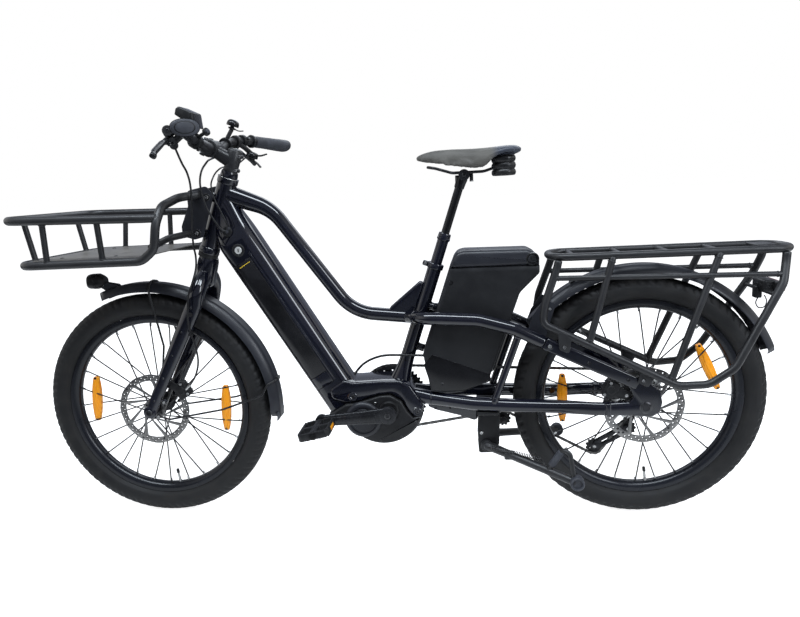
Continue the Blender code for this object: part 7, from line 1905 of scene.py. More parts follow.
def rearCase():
    piece = Piece("case_shell", "frame", "casePlastic", ("rear_battery_case",), 34)
    g = case["gap"] / 2
    outline = [
        footFront, casePoint(0.0, 0.022), (seamFront[0], case["seam"] - g),
        (case["back"], case["seam"] - g), (case["back"], case["seam"] - 0.019),
        (case["back"] - 0.049, case["seam"] - 0.067), casePoint(case["depth"] + 0.0035, case["shoulder"]),
        casePoint(case["depth"], 0.002), (0.203, footFront[1] - 0.003), (0.156, footFront[1] - 0.004)
    ]
    smooth = []
    for index, radius in enumerate((0.006, 0.01, 0, 0, 0.012, 0.03, 0.03, 0.014, 0.006, 0.006)):
        if radius:
            trio = flat3([outline[index - 1], outline[index], outline[(index + 1) % len(outline)]])
            smooth.append(rounded(trio, radius, 5)[1:-1, :2])
        else:
            smooth.append(np.array([outline[index]]))
    outline = np.vstack(smooth)
    w = case["wall"]
    for side in (left, right):
        flank(piece, outline, side, case["half"] - w, case["half"], 0.0046, inset=0.011)
    # between the flanks: the outline again, with the battery's room cut into it from above
    near, floor, back = 0.006, 0.018, case["depth"] - 0.006
    cutIn = [
        casePoint(back, seamAt(back, -g)), casePoint(back, floor), casePoint(near, floor),
        casePoint(near, seamAt(near, -g))
    ]
    start = int(np.argmin(np.abs(outline - np.array([seamFront[0], case["seam"] - g])).sum(1)))
    ring = np.roll(outline, -(start + 1), 0)
    piece.prism(
        np.vstack([ring, cutIn[::-1]]), -case["half"] + w - 0.0002, case["half"] - w + 0.0002, 0.0001
    )
    # the lower cover: a flat plate that stands a little proud of each flank, in a darker and glossier
    # finish than the case: painted shade of the cover's lower facet
    low = footFront[1] - 0.003
    plate = [
        (0.102, 0.43), (0.125, 0.457), (0.272, 0.4), (0.274, 0.383), (0.2, low + 0.004),
        (0.158, low + 0.004), (footFront[0] + 0.004, footFront[1] + 0.004)
    ]
    plate = outlined(plate, 0.004, 3)
    for side in (left, right):
        lowY = side * case["half"] - (0.0009 if side < 0 else -0.0001)
        piece.prism(plate, lowY, lowY + 0.0012, 0.0004, None, "glossPlastic")
        piece.bolt(
            (0.148, side * (case["half"] + 0.0006), 0.377), (0, side, 0), 0.0038, 0.0014, "darkSteel"
        )
        nose = casePoint(0.0135, 0.222)
        piece.bolt(
            (nose[0], side * (case["half"] - 0.003), nose[1]), (0, side, 0), 0.006, 0.003, "darkSteel"
        )
    rail = [
        casePoint(case["depth"] - 0.002, 0.01), casePoint(case["depth"] - 0.002, 0.19),
        casePoint(case["depth"] + 0.01, 0.185), casePoint(case["depth"] + 0.01, 0.03)
    ]
    piece.prism(outlined(rail, 0.004, 3), -0.012, 0.012, 0.002)
    piece.done()


def rearBattery():
    piece = Piece("case_battery", "seat_tube_battery", "satinGuard", ("rear_battery",), 34)
    g, s, back = case["gap"] / 2, case["seam"], case["back"]
    x = seamFront[0]
    cap = [
        (x, s + g), (x + 0.0125, s + 0.03), (x + 0.0215, s + 0.0395), (x + 0.036, s + 0.0435),
        (back - 0.028, s + 0.0415), (back - 0.0095, s + 0.031), (back, s + 0.015), (back, s + g)
    ]
    smooth = [np.array([cap[0]])]
    for index, radius in ((1, 0.03), (2, 0.02), (3, 0.03), (4, 0.025), (5, 0.02), (6, 0.012)):
        smooth.append(rounded(flat3([cap[index - 1], cap[index], cap[index + 1]]), radius, 5)[1:-1, :2])
    smooth.append(np.array([cap[7]]))
    piece.prism(np.vstack(smooth), -case["half"], case["half"], 0.012)
    # a darker gloss strip across the cap's top: painted shade of a groove
    grooveShadeStrip = [
        (x + 0.03, s + 0.0408), (x + 0.038, s + 0.0442), (x + 0.075, s + 0.0433), (x + 0.083, s + 0.0398)
    ]
    piece.prism(outlined(grooveShadeStrip, 0.003, 3), -0.019, 0.019, 0.0016, None, "glossPlastic")
    near, far = 0.0078, case["depth"] - 0.0078
    cell = [
        casePoint(near, 0.02), *(casePoint(a, seamAt(a, 0.012)) for a in (near, far)), casePoint(far, 0.02)
    ]
    cell = outlined(cell, 0.004, 3)
    piece.prism(
        cell, -case["half"] + case["wall"] + 0.0016, case["half"] - case["wall"] - 0.0016, 0.0015, None,
        "blackPlastic"
    )
    lockAt = vec(back - 0.017, -case["half"], s + 0.017)
    piece.lathe([
        (0.0098, -0.008), (0.015, -0.006), (0.0158, -0.001), (0.0158, 0.0002), (0.0146, 0.001),
        (0.012, 0.0008), (0.0106, -0.0008), (0.0098, -0.008)
    ], facing(lockAt, -1), 48, True, "glossPlastic")
    piece.done()
    lockCylinder("case_lock", "seat_tube_lock", "rear_lock", facing(lockAt, -1), 0.001, "darkAlloy")


rearCase()
rearBattery()
print("rear battery ready")


# Rear frame sides
def rearSide(side, name, node):
    piece = Piece(name, "frame", "glossPaint", (node,), 36)
    start, end = vec(0.4068, 0, 0.4885), vec(0.63, 0, 0.38)
    stay = frameTo(start, end)
    low = min(side * 0.07, side * 0.087)
    section = outlined([
        (-0.016, low), (0.016, low), (0.016, low + 0.017), (-0.016, low + 0.017)
    ], 0.0055, 6)
    piece.prism(section, 0.0, apart(start, end), 0.0015, stay @ alongTube)
    plate = [
        (0.618, 0.297), (0.668, 0.295), (0.684, 0.305), (0.69, 0.33), (0.684, 0.362), (0.655, 0.385),
        (0.6, 0.408), (0.588, 0.392), (0.612, 0.368), (0.622, 0.345), (0.608, 0.33)
    ]
    flank(piece, outlined(plate, 0.01, 5), side, 0.0743, 0.0843, 0.0022)
    arm = spaced([(0.555, side * 0.0785, 0.315), (0.64, side * 0.0795, 0.3145)], 0.006)
    t = np.linspace(0, 1, len(arm))[:, None]
    piece.sweep(arm, taper((0.017, 0.0104), (0.0185, 0.0052), t), 36, (0, 1, 0), 2.4)
    piece.block(
        (0.553, min(side * 0.0665, side * 0.09), 0.2985), (0.5665, max(side * 0.0665, side * 0.09), 0.3312),
        0.004, 0.0035
    )
    piece.bolt((0.4175, side * 0.0868, 0.482), (0, side, 0), 0.0048, 0.003, "brightSteel")
    piece.rod((0.4175, side * 0.069, 0.482), (0.4175, side * 0.0872, 0.482), 0.01)
    for x, z in ((0.512, 0.437), (0.606, 0.3915)):
        piece.bolt((x, side * 0.087, z), (0, side, 0), 0.004, 0.0022, "darkSteel")
    axle = rearAxle + vec(0, side * 0.0838, 0)
    piece.lathe([
        (0.0085, 0), (0.015, 0), (0.0152, 0.0014), (0.013, 0.003), (0.009, 0.0032), (0.0085, 0.002)
    ], facing(axle, side), 40, False, "darkSteel")
    piece.done()


rearSide(left, "frame_rear_l", "rear_frame_left")
rearSide(right, "frame_rear_r", "rear_frame_right")
print("rear frame ready")


# Seat post, rails and saddle
seatLook = {
    "outerFoot": 0.255, "outerTop": 0.441, "post": 0.0145, "ring": 0.017, "stanchion": 0.0105,
    "innerFoot": 0.389, "headTop": 0.589, "railRadius": 0.0035, "nose": 0.102, "voxel": 0.003,
    "pressure": 4.0, "frames": 20, "most": 0.0022, "shrink": 0.988, "evenSteps": 10, "quality": 6,
    "stretch": 24.0, "bend": 4.0, "length": 0.258
}


def seatPost():
    s = seatLook
    outer = Piece("post_sleeve", "frame", "glossPaint", ("seatpost_outer",), 38)
    place = frameFrom(seatFoot, seatUp)
    outer.lathe([
        (0.0108, s["outerFoot"]), (s["post"], s["outerFoot"]), (s["post"], s["outerTop"] - 0.019),
        (s["ring"] - 0.0006, s["outerTop"] - 0.018), (s["ring"], s["outerTop"] - 0.0165),
        (s["ring"], s["outerTop"] - 0.012), (s["ring"] - 0.001, s["outerTop"] - 0.011),
        (s["ring"] - 0.0006, s["outerTop"] - 0.0095), (0.0158, s["outerTop"] - 0.0015),
        (0.015, s["outerTop"]), (0.0108, s["outerTop"])
    ], place, 48, True)
    outer.done()
    inner = Piece("post_head", "seat", "glossPlastic", ("seatpost_inner",), 38)
    top = s["headTop"]
    inner.lathe([
        (0.006, s["innerFoot"]), (s["stanchion"], s["innerFoot"] + 0.0006), (s["stanchion"], top - 0.032),
        (0.0124, top - 0.03), (0.013, top - 0.02), (0.0148, top - 0.006), (0.01, top)
    ], place, 48)
    clampAt = seatPoint(top, 0.004)
    barrel = facing(clampAt + vec(0, 0, 0.004), 1)
    inner.lathe(bothWays([
        (0.006, -0.03), (0.0128, -0.03), (0.014, -0.0288), (0.014, -0.015), (0.0128, -0.014)
    ]), barrel, 44, False, "darkAlloy")
    for side in (left, right):
        inner.bolt(clampAt + vec(0, side * 0.03, 0.004), (0, side, 0), 0.005, 0.002, "darkSteel")
    for x in (-0.018, 0.018):
        foot = clampAt + vec(x, 0, -0.014 if x < 0 else -0.01)
        inner.rod(foot, foot + vec(0, 0, 0.018), 0.0045, tone="darkSteel")
        inner.bolt(foot, (0, 0, -1), 0.005, 0.003, "brightSteel")
    inner.done()


def saddleRails():
    piece = Piece("saddle_frame", "seat", "darkSteel", ("saddle_rails",), 38)
    half = [
        (0.338, 0.036, 0.9225), (0.306, 0.032, 0.9225), (0.27, 0.0215, 0.912), (0.192, 0.0215, 0.912),
        (0.15, 0.017, 0.9255), (0.132, 0.009, 0.929)
    ]
    path = rounded(acrossAlso(half), 0.03, 7)
    piece.sweep(spaced(path, 0.004), seatLook["railRadius"], 18, (0, 0, 1))
    for side in (left, right):
        foot = vec(0.3185, side * 0.04, 0.899)
        profile = [(0.015, 0.0), (0.021, 0.0003)]
        for fold in range(3):
            z = fold * 0.016
            profile += [
                (0.0246, z + 0.0008), (0.0262, z + 0.003), (0.0271, z + 0.0056), (0.0275, z + 0.008),
                (0.0271, z + 0.0104), (0.0262, z + 0.013), (0.0246, z + 0.0152), (0.024, z + 0.0158)
            ]
        profile += [(0.0205, 0.0477), (0.015, 0.048)]
        piece.lathe(profile, frameFrom(foot, (0, 0, 1)), 44, False, "hoseRubber")
    piece.block((0.295, -0.038, 0.919), (0.33, 0.038, 0.93), 0.004, 0.003, None, "blackPlastic")
    piece.done()


def saddle():
    # stations from nose to tail: x, half width, top, lower edge, underside
    s = seatLook
    rows = np.array([
        (0.0, 0.01, 0.954, 0.944, 0.9465), (0.012, 0.022, 0.961, 0.9385, 0.943),
        (0.045, 0.029, 0.967, 0.9325, 0.942), (0.095, 0.035, 0.9685, 0.924, 0.942),
        (0.14, 0.052, 0.967, 0.917, 0.944), (0.172, 0.07, 0.967, 0.918, 0.95),
        (0.194, 0.08, 0.9675, 0.94, 0.952), (0.222, 0.089, 0.969, 0.95, 0.952),
        (0.248, 0.083, 0.968, 0.9505, 0.952), (0.258, 0.062, 0.961, 0.9515, 0.952)
    ])
    along = np.linspace(0, 1, 90)
    along = np.concatenate([[0.0005, 0.003, 0.007], along[2:-2], [0.992, 0.998]]) * s["length"]
    fine = np.stack([np.interp(along, rows[:, 0], rows[:, i]) for i in range(5)], 1)
    for _ in range(3):
        padded = np.vstack([fine[:1]] * 2 + [fine] + [fine[-1:]] * 2)
        soft = sum(padded[i:len(fine) + i] * w for i, w in enumerate((0.1, 0.2, 0.4, 0.2, 0.1)))
        soft[:, 0] = fine[:, 0]
        soft[0], soft[-1] = fine[0], fine[-1]
        fine = soft
    rib = np.array([
        (0.0, 1.0), (0.25, 0.998), (0.5, 0.985), (0.7, 0.945), (0.87, 0.84), (0.96, 0.66), (1.0, 0.42),
        (0.985, 0.18), (0.94, 0.02)
    ])
    x, half, top, edge, under = (fine[:, i:i + 1] for i in range(5))
    y = half * rib[:, 0]
    z = edge + (top - edge) * rib[:, 1]
    # a shallow channel runs along the middle of the seat
    z = z - 0.003 * np.exp(-(rib[:, 0] / 0.3) ** 2) * ease((x - 0.07) / 0.05) * ease((0.235 - x) / 0.03)
    inner = np.stack([half[:, 0] * 0.86, half[:, 0] * 0.5], 1)
    rise = np.stack([np.minimum(edge[:, 0] + 0.006, under[:, 0] - 0.001), under[:, 0]], 1)
    rightSide = np.stack([
        np.broadcast_to(x, (len(x), 11)), np.hstack([y, inner]), np.hstack([z, rise])
    ], -1)
    middle = np.stack([x[:, 0], 0 * x[:, 0], under[:, 0]], -1)[:, None]
    leftSide = rightSide[:, :0:-1] * vec(1, -1, 1)
    rings = np.concatenate([rightSide, middle, leftSide], 1)
    centre = np.array([0.13, 0, 0.945])
    rings = centre + (rings - centre) * vec(s["shrink"] + 0.008, s["shrink"], 0.955)
    piece = Piece("saddle_top", "seat", "saddleSkin", ("saddle",), 70)
    shift = vec(s["nose"], 0, 0)
    piece.grid(rings + shift)
    thing = piece.done()
    before = len(thing.data.vertices)
    padSaddle(thing)
    print("saddle:", before, "->", len(thing.data.vertices), "points")


def padSaddle(thing):
    # the skin swells a little under pressure from inside, as stuffing makes it, up to a largest movement
    s = seatLook
    bpy.context.view_layer.objects.active = thing
    thing.select_set(True)
    skin = thing.modifiers.new("skin", "REMESH")
    skin.mode, skin.voxel_size = "VOXEL", s["voxel"]
    bpy.ops.object.modifier_apply(modifier=skin.name)
    even = thing.modifiers.new("even", "SMOOTH")
    even.factor, even.iterations = 0.5, s["evenSteps"]
    bpy.ops.object.modifier_apply(modifier=even.name)
    start = np.empty(len(thing.data.vertices) * 3, np.float32)
    thing.data.vertices.foreach_get("co", start)
    cloth = thing.modifiers.new("pad", "CLOTH")
    cloth.settings.use_pressure = True
    cloth.settings.uniform_pressure_force = s["pressure"]
    cloth.settings.quality = s["quality"]
    cloth.settings.tension_stiffness = cloth.settings.compression_stiffness = s["stretch"]
    cloth.settings.bending_stiffness = s["bend"]
    cloth.settings.effector_weights.gravity = 0.0
    cloth.point_cache.frame_start, cloth.point_cache.frame_end = 1, s["frames"]
    for step in range(1, s["frames"] + 1):
        bpy.context.scene.frame_set(step)
    seen = thing.evaluated_get(bpy.context.evaluated_depsgraph_get())
    end = np.empty_like(start)
    seen.data.vertices.foreach_get("co", end)
    thing.modifiers.remove(cloth)
    bpy.context.scene.frame_set(1)
    start, end = start.reshape(-1, 3), end.reshape(-1, 3)
    move = end - start
    far = np.linalg.norm(move, axis=1, keepdims=True)
    move = np.nan_to_num(move * np.minimum(1, s["most"] / np.maximum(far, 1e-9)))
    thing.data.vertices.foreach_set("co", (start + move).astype(np.float32).ravel())
    thing.data.update()
    smoothing = thing.modifiers.new("smooth", "SUBSURF")
    smoothing.levels = smoothing.render_levels = 1
    bpy.ops.object.modifier_apply(modifier=smoothing.name)
    thing.data.shade_smooth()
    thing.select_set(False)


seatPost()
saddleRails()
saddle()
print("seat ready")


# Rear caliper and rear mudguard
def rearCaliper():
    piece = Piece("rear_brake", "frame", "blackPlastic", ("rear_caliper",), 36)
    angle = 152.0
    place = turnAboutY(90.0 - angle, onWheel(rearAxle, 0.093, angle))
    caliperPiece(piece, place, rearDiscY, 0.015, 0.0125, 0.0165, -0.0015)
    foot = outlined([(0.556, 0.352), (0.575, 0.376), (0.618, 0.352), (0.612, 0.334)], 0.004, 4)
    piece.prism(foot, -0.0738, -0.069, 0.001)
    for x, z in ((0.573, 0.36), (0.606, 0.347)):
        piece.bolt((x, -0.0745, z), (0, -1, 0), 0.004, 0.0006, "brightSteel")
    piece.done()


def rearMudguard():
    piece = Piece("rear_guard", "frame", "satinGuard", ("rear_mudguard",), 40)
    guardBand(piece, rearAxle, 142.0, 122.0)
    ear = outlined([
        (0.372, 0.519), (0.396, 0.484), (0.412, 0.486), (0.44, 0.577), (0.412, 0.592), (0.385, 0.553)
    ], 0.006, 4)
    for side in (left, right):
        flank(piece, ear, side, 0.0315, 0.0345, 0.0007)
        piece.rod((0.402, side * 0.032, 0.493), (0.402, side * 0.0517, 0.493), 0.005)
        piece.bolt((0.425, side * 0.0345, 0.565), (0, side, 0), 0.0038, 0.0022, "brightSteel")
    for angle in (118.0, 62.0):
        place = turnAboutY(90 - angle, onWheel(rearAxle, guards["radius"], angle))
        piece.block((-0.0075, -0.012, 0.0), (0.0075, 0.012, 0.0032), 0.002, 0.0012, place, "blackPlastic")
        piece.bolt(placed(place, 0, 0, 0.0028), place[:3, 2], 0.0036, 0.0018, "brightSteel")
    piece.done()


rearCaliper()
rearMudguard()


# Basket, board, rack and tail light
carry = {"rim": 0.0105, "arm": 0.0085, "strut": 0.007}


def basket():
    piece = Piece("basket_tubes", "frame", "mattePaint", ("basket_frame",), 38)
    upper, lower = steer((-0.028, 0, 0.1445), (-0.028, 0, 0.047))
    rim = rounded([
        (-0.504, -0.173, 0.844), (-0.535, -0.19, 0.845), (-0.892, -0.19, 0.854), (-0.892, 0.19, 0.854),
        (-0.535, 0.19, 0.845), (-0.504, 0.173, 0.844)
    ], 0.045, 10)
    piece.sweep(spaced(rim, 0.009), carry["rim"], 28, (0, 0, 1))
    half = [
        (upper[0] - 0.018, 0.04, upper[2] + 0.008), (-0.49, 0.08, 0.888), (-0.501, 0.15, 0.87),
        (-0.505, 0.183, 0.831), (-0.518, 0.18, 0.77), (-0.554, 0.18, 0.743), (-0.874, 0.18, 0.743)
    ]
    base = rounded(acrossAlso(half), 0.04, 9)
    piece.sweep(spaced(base, 0.008), carry["rim"], 28, (0, 0, 1))
    for side in (left, right):
        arm = rounded([
            (-0.527, side * 0.178, 0.775), (-0.518, side * 0.1, 0.79),
            (lower[0] - 0.018, side * 0.04, lower[2] + 0.001)
        ], 0.04, 8)
        piece.sweep(spaced(arm, 0.008), carry["arm"], 24, (0, 0, 1))
        for topX, lowX in ((-0.785, -0.795), (-0.647, -0.651)):
            top, low = vec(topX, side * 0.19, 0.85), vec(lowX, side * 0.18, 0.743)
            weldedTube(piece, low, top, 0.01, carry["strut"], 22, (0.01, 0.0095), 0.0072, 0.0011)
        top, low = vec(-0.892, side * 0.11, 0.856), vec(-0.874, side * 0.11, 0.743)
        weldedTube(piece, low, top, 0.01, carry["strut"], 22, (0.01, 0.0105), 0.0072, 0.0011)
        plate = [
            (upper[0] - 0.052, upper[2] + 0.018), (upper[0] + 0.002, upper[2] + 0.028),
            (upper[0] + 0.018, upper[2] + 0.004), (lower[0] + 0.016, lower[2] - 0.01),
            (lower[0] - 0.008, lower[2] - 0.016), (lower[0] - 0.04, lower[2] - 0.006),
            (lower[0] - 0.04, lower[2] + 0.02), (upper[0] - 0.052, upper[2] - 0.02)
        ]
        flank(piece, outlined(plate, 0.012, 6), side, 0.0368, 0.0403, 0.001, "satinGuard")
        for washer in (upper, lower):
            piece.lathe(
                [(0.006, 0), (0.01, 0), (0.0104, 0.0008), (0.0098, 0.0014), (0.006, 0.0014)],
                facing((washer[0], side * 0.04, washer[2]), side), 32, False, "darkSteel"
            )
            piece.bolt((washer[0], side * 0.0412, washer[2]), (0, side, 0), 0.0052, 0.0032, "brightSteel")
    for x in (-0.795, -0.651):
        piece.sweep(spaced([(x, -0.178, 0.743), (x, 0.178, 0.743)], 0.012), carry["strut"], 22, (0, 0, 1))
    piece.done()
    board = Piece("basket_board", "frame", "boardTop", ("basket_floor",), 30)
    outline = outlined([(-0.852, -0.165), (-0.56, -0.165), (-0.56, 0.165), (-0.852, 0.165)], 0.02, 8)
    board.prism(outline, 0.7503, 0.7533, 0.0007, alongTube)
    for x in (-0.795, -0.651):
        for y in (-0.12, 0.12):
            board.bolt((x, y, 0.7532), (0, 0, 1), 0.005, 0.0014, "darkSteel")
    board.done()


def rackDeck():
    piece = Piece("rack_top", "frame", "mattePaint", ("rack_deck",), 38)
    corners = [
        (0.427, -0.058, 0.697), (0.9887, -0.058, 0.697), (0.9887, 0.058, 0.697), (0.427, 0.058, 0.697)
    ]
    loop = rounded(corners, 0.045, 12, True)
    piece.sweep(spaced(np.vstack([loop, loop[:1]]), 0.009)[:-1], 0.0095, 30, (0, 0, 1), loop=True)
    for index in range(5):
        x = 0.427 + 0.562 * (0.095 + 0.2 * index)
        piece.sweep(spaced([(x, -0.056, 0.697), (x, 0.056, 0.697)], 0.01), 0.0065, 24, (0, 0, 1))
        for side in (left, right):
            weld(piece, (x, side * 0.0485, 0.697), (0, 1, 0), 0.0067, 0.0011)
    plate = outlined([(0.909, -0.03), (0.959, -0.03), (0.959, 0.03), (0.909, 0.03)], 0.006, 5)
    piece.prism(plate, 0.7023, 0.7055, 0.0008, alongTube)
    for y in (-0.02, 0.02):
        piece.bolt((0.934, y, 0.705), (0, 0, 1), 0.0042, 0.0004, "brightSteel")
    piece.done()


def rackSide(side, name, node):
    piece = Piece(name, "frame", "mattePaint", (node,), 38)
    main = [
        (0.443, 0.061, 0.69), (0.439, 0.061, 0.672), (0.409, 0.069, 0.587), (0.402, 0.076, 0.537),
        (0.43, 0.08, 0.5235), (0.72, 0.1, 0.379), (0.79, 0.106, 0.383), (0.844, 0.112, 0.425),
        (0.954, 0.08, 0.62), (0.966, 0.06, 0.67), (0.9665, 0.06, 0.69)
    ]
    path = rounded([(x, side * y, z) for x, y, z in main], 0.05, 8)
    piece.sweep(spaced(path, 0.008), 0.0095, 28, (0, 1, 0))
    for top, low in (
        ((0.5715, 0.06, 0.694), (0.511, 0.0852, 0.4835)), ((0.818, 0.06, 0.694), (0.702, 0.0985, 0.388))
    ):
        top, low = vec(*top) * vec(1, side, 1), vec(*low) * vec(1, side, 1)
        weldedTube(piece, top, low, 0.01, 0.0085, 26, (0.0115, 0.012), 0.0088, 0.0013)
    a, b = vec(0.431, side * 0.064, 0.647), vec(0.954, side * 0.0735, 0.64)
    piece.sweep(spaced([a, b], 0.012), 0.0065, 24, (0, 0, 1))
    for centre in (a + vec(0.011, 0, 0), b - vec(0.011, 0, 0)):
        weld(piece, centre, (1, 0, 0), 0.0067, 0.0011)
    for plate in (
        [(0.436, 0.523), (0.47, 0.506), (0.464, 0.462), (0.44, 0.474)],
        [(0.634, 0.424), (0.672, 0.405), (0.652, 0.372), (0.628, 0.386)]
    ):
        flank(piece, outlined(plate, 0.006, 5), side, 0.0873, 0.0915, 0.001)
        centre = np.array(plate)[2:].mean(0) + vec(0.0, 0.012)
        piece.bolt((centre[0], side * 0.0914, centre[1]), (0, side, 0), 0.0042, 0.003, "brightSteel")
    piece.done()


def tailLight():
    piece = Piece("tail_lamp", "frame", "blackPlastic", ("tail_light",), 36)
    piece.sweep(spaced([(0.937, -0.0743, 0.592), (0.937, 0.0743, 0.592)], 0.008), 0.0045, 20, (0, 0, 1))
    piece.block((0.932, -0.03, 0.588), (0.96, 0.03, 0.618), 0.005, 0.003)
    piece.block((0.955, -0.046, 0.59), (0.9695, 0.046, 0.616), 0.005, 0.004)
    piece.block((0.969, -0.0445, 0.5915), (0.9776, 0.0445, 0.6145), 0.004, 0.004, None, "redLens")
    piece.block((0.97, -0.015, 0.596), (0.978, 0.015, 0.61), 0.002, 0.002, None, "clearLens")
    piece.block((0.924, -0.01, 0.571), (0.94, 0.01, 0.6), 0.003, 0.002)
    for y in (-0.018, 0.0, 0.018):
        piece.bolt((0.9325, y, 0.605), (-1, 0, 0), 0.0036, 0.0022, "darkSteel")
    for z in (0.5935, 0.6, 0.6065, 0.613):
        piece.block((0.938, -0.0306, z), (0.956, 0.0306, z + 0.0018), 0.0005, 0.0008)
    wire = smoothLine([
        (0.933, -0.006, 0.574), (0.926, -0.01, 0.56), (0.93, -0.018, 0.549), (0.943, -0.02, 0.552),
        (0.948, -0.016, 0.566), (0.944, -0.012, 0.579)
    ], 0.002)
    piece.sweep(wire, 0.0014, 8)
    piece.done()


basket()
rackDeck()
rackSide(left, "rack_l", "rack_side_left")
rackSide(right, "rack_r", "rack_side_right")
tailLight()
print("basket, rack and lamps ready")


# Cranks, pedals, cassette, chain and derailleur
drive = {
    "crank": 0.175, "offset": 0.088, "ringTeeth": 46, "ringPitch": 0.093, "sprocketPitch": 0.0567,
    "chainLine": 0.052, "pulleyPitch": 0.02254, "roller": 0.022, "armTurn": -4.0, "pedalTilt": -8.0,
    "linkPitch": 0.0127, "ringArms": 4, "ringArmAt": 40, "sprocketStep": 0.0046
}
crankPlace = turnAboutY(drive["armTurn"], crankAxis)


def toothed(teeth, pitchRadius, depth):
    # a sprocket's edge: the radius swings between root and tip once a tooth, with flat roots
    a = np.linspace(0, 2 * math.pi, teeth * 8, endpoint=False)
    swing = 0.5 + 0.5 * np.cos(a * teeth)
    r = pitchRadius - depth * 0.6 + depth * ease(swing * 1.15)
    return onCircle(r, a)


def crankArm(piece, side, reach):
    y = side * drive["offset"]
    path = spaced(rounded([
        (0, y, 0), (reach * 0.18, y, 0), (reach * 0.5, y + side * 0.0008, 0), (reach, y, 0)
    ], 0.05), 0.004)
    t = np.abs(path[:, 0] / drive["crank"])[:, None]
    size = taper((0.0215, 0.0078), (0.015, 0.0066), t)
    size[:, 0] -= 0.0012 * np.sin(t[:, 0] * math.pi)
    piece.sweep(moved(path, crankPlace), size, 36, (0, 1, 0), 3.2, 0.3)
    # a long raised rib on the outer face
    rib = path[8:-7] + vec(0, side * 0.0056, 0)
    share = np.linspace(0, 1, len(rib))[:, None]
    piece.sweep(
        moved(rib, crankPlace), taper((0.012, 0.0032), (0.0085, 0.0026), share), 28, (0, 1, 0), 2.2, 0.4
    )
    for x, r in ((0, 0.0225), (reach, 0.0165)):
        place = facing(placed(crankPlace, x, y - side * 0.0078, 0), side)
        piece.lathe([
            (0.006, 0), (r - 0.0012, 0), (r, 0.0012), (r, 0.0138), (r - 0.0006, 0.015),
            (r - 0.0024, 0.0156), (0.01, 0.0156), (0.0094, 0.0146), (0.001, 0.0144)
        ], place, 44)
    piece.bolt(placed(crankPlace, 0, y + side * 0.0066, 0), (0, side, 0), 0.0078, 0.0022, "darkSteel")
    piece.rod(
        placed(crankPlace, reach, y, 0), placed(crankPlace, reach, y + side * 0.082, 0), 0.0045,
        tone="brightSteel"
    )


def cranks():
    piece = Piece("crank_l", "crankset", "darkAlloy", ("crank_left",), 34)
    crankArm(piece, left, -drive["crank"])
    piece.done()
    piece = Piece("crank_r", "crankset", "darkAlloy", ("crank_right",), 34)
    piece.rod(crankAxis + vec(0, -0.089, 0), crankAxis + vec(0, 0.088, 0), 0.0115, tone="darkSteel")
    crankArm(piece, right, drive["crank"])
    line = drive["chainLine"]
    loops = [toothed(drive["ringTeeth"], drive["ringPitch"] - 0.0006, 0.0056)]
    arms = drive["ringArms"]
    armAngles = [math.radians(drive["ringArmAt"] + 360 / arms * index) for index in range(arms)]
    for a in armAngles:
        low = np.linspace(a + 0.3, a + math.pi / 2 - 0.3, 9)
        high = np.linspace(a + math.pi / 2 - 0.17, a + 0.17, 15)
        window = np.vstack([onCircle(0.033, low), onCircle(0.0715, high)])
        loops.append(outlined(window, 0.006, 4))
        for shift in (-0.3, 0.0, 0.3):
            spot = a + math.pi / 4 + shift
            loops.append(ring2d(0.0022, 10, 0, (0.0785 * math.cos(spot), 0.0785 * math.sin(spot))))
    piece.holed(loops, line - 0.0014, line + 0.0014, 0.0004, crankPlace, "darkSteel")
    for a in armAngles:
        piece.bolt(
            moved([polar(a, 0.064, line + 0.0014)], crankPlace)[0], (0, 1, 0), 0.0044, 0.0024, "brightSteel"
        )
    piece.lathe([
        (0.012, 0.049), (0.024, 0.049), (0.0246, 0.052), (0.0236, 0.056), (0.0195, 0.07), (0.0185, 0.08),
        (0.012, 0.0812)
    ], facing(crankAxis, 1), 48)
    piece.done()


def pedal(side, name, node, body):
    piece = Piece(name, body, "blackPlastic", (node,), 34)
    place = crankPlace @ turnAboutY(drive["pedalTilt"], (side * drive["crank"], 0, 0))
    armOut = drive["offset"] + 0.0075
    near, far = armOut + 0.003, armOut + 0.096
    half, thick = 0.041, 0.0105
    outline = outlined([
        (-half, near + 0.012), (-half * 0.8, near), (half * 0.8, near), (half, near + 0.012),
        (half, far - 0.012), (half * 0.8, far), (-half * 0.8, far), (-half, far - 0.012)
    ], 0.006, 4)
    loops = [outline]
    for x in (-1, 1):
        for y in (0.27, 0.73):
            mid = near + (far - near) * y
            w = outlined([
                (x * half * 0.52 - 0.0125, mid - 0.016), (x * half * 0.52 + 0.0125, mid - 0.016),
                (x * half * 0.52 + 0.0125, mid + 0.016), (x * half * 0.52 - 0.0125, mid + 0.016)
            ], 0.004, 4)
            loops.append(w)
    piece.holed(
        loops, -thick + 0.0016, thick - 0.0016, 0.001,
        place @ np.diag([1.0, float(side), 1.0, 1.0]) @ alongTube
    )
    barrel = facing(placed(place, 0, side * near, 0), side)
    length = far - near
    piece.lathe([
        (0.005, 0), (0.01, 0), (0.0108, 0.001), (0.011, 0.004), (0.0098, 0.01), (0.0092, length * 0.5),
        (0.0098, length - 0.01), (0.0108, length - 0.003), (0.0096, length)
    ], barrel, 36)
    for up in (-1, 1):
        for x in (-0.037, -0.016, 0.016, 0.037):
            for y in (0.1, 0.5, 0.9) if abs(x) > 0.03 else (0.045, 0.955):
                foot = placed(place, x, side * (near + (far - near) * y), up * (thick - 0.0022))
                tip = placed(place, x, side * (near + (far - near) * y), up * thick)
                piece.rod(foot, tip, 0.0026, 0.002, 0.0004, 12)
    for x in (-1, 1):
        low, high = side * (near + 0.03), side * (far - 0.03)
        piece.block(
            (x * (half - 0.0012) - 0.0014, min(low, high), -0.0052),
            (x * (half - 0.0012) + 0.0014, max(low, high), 0.0052), 0.001, 0.0008, place, "amberLens"
        )
    piece.done()


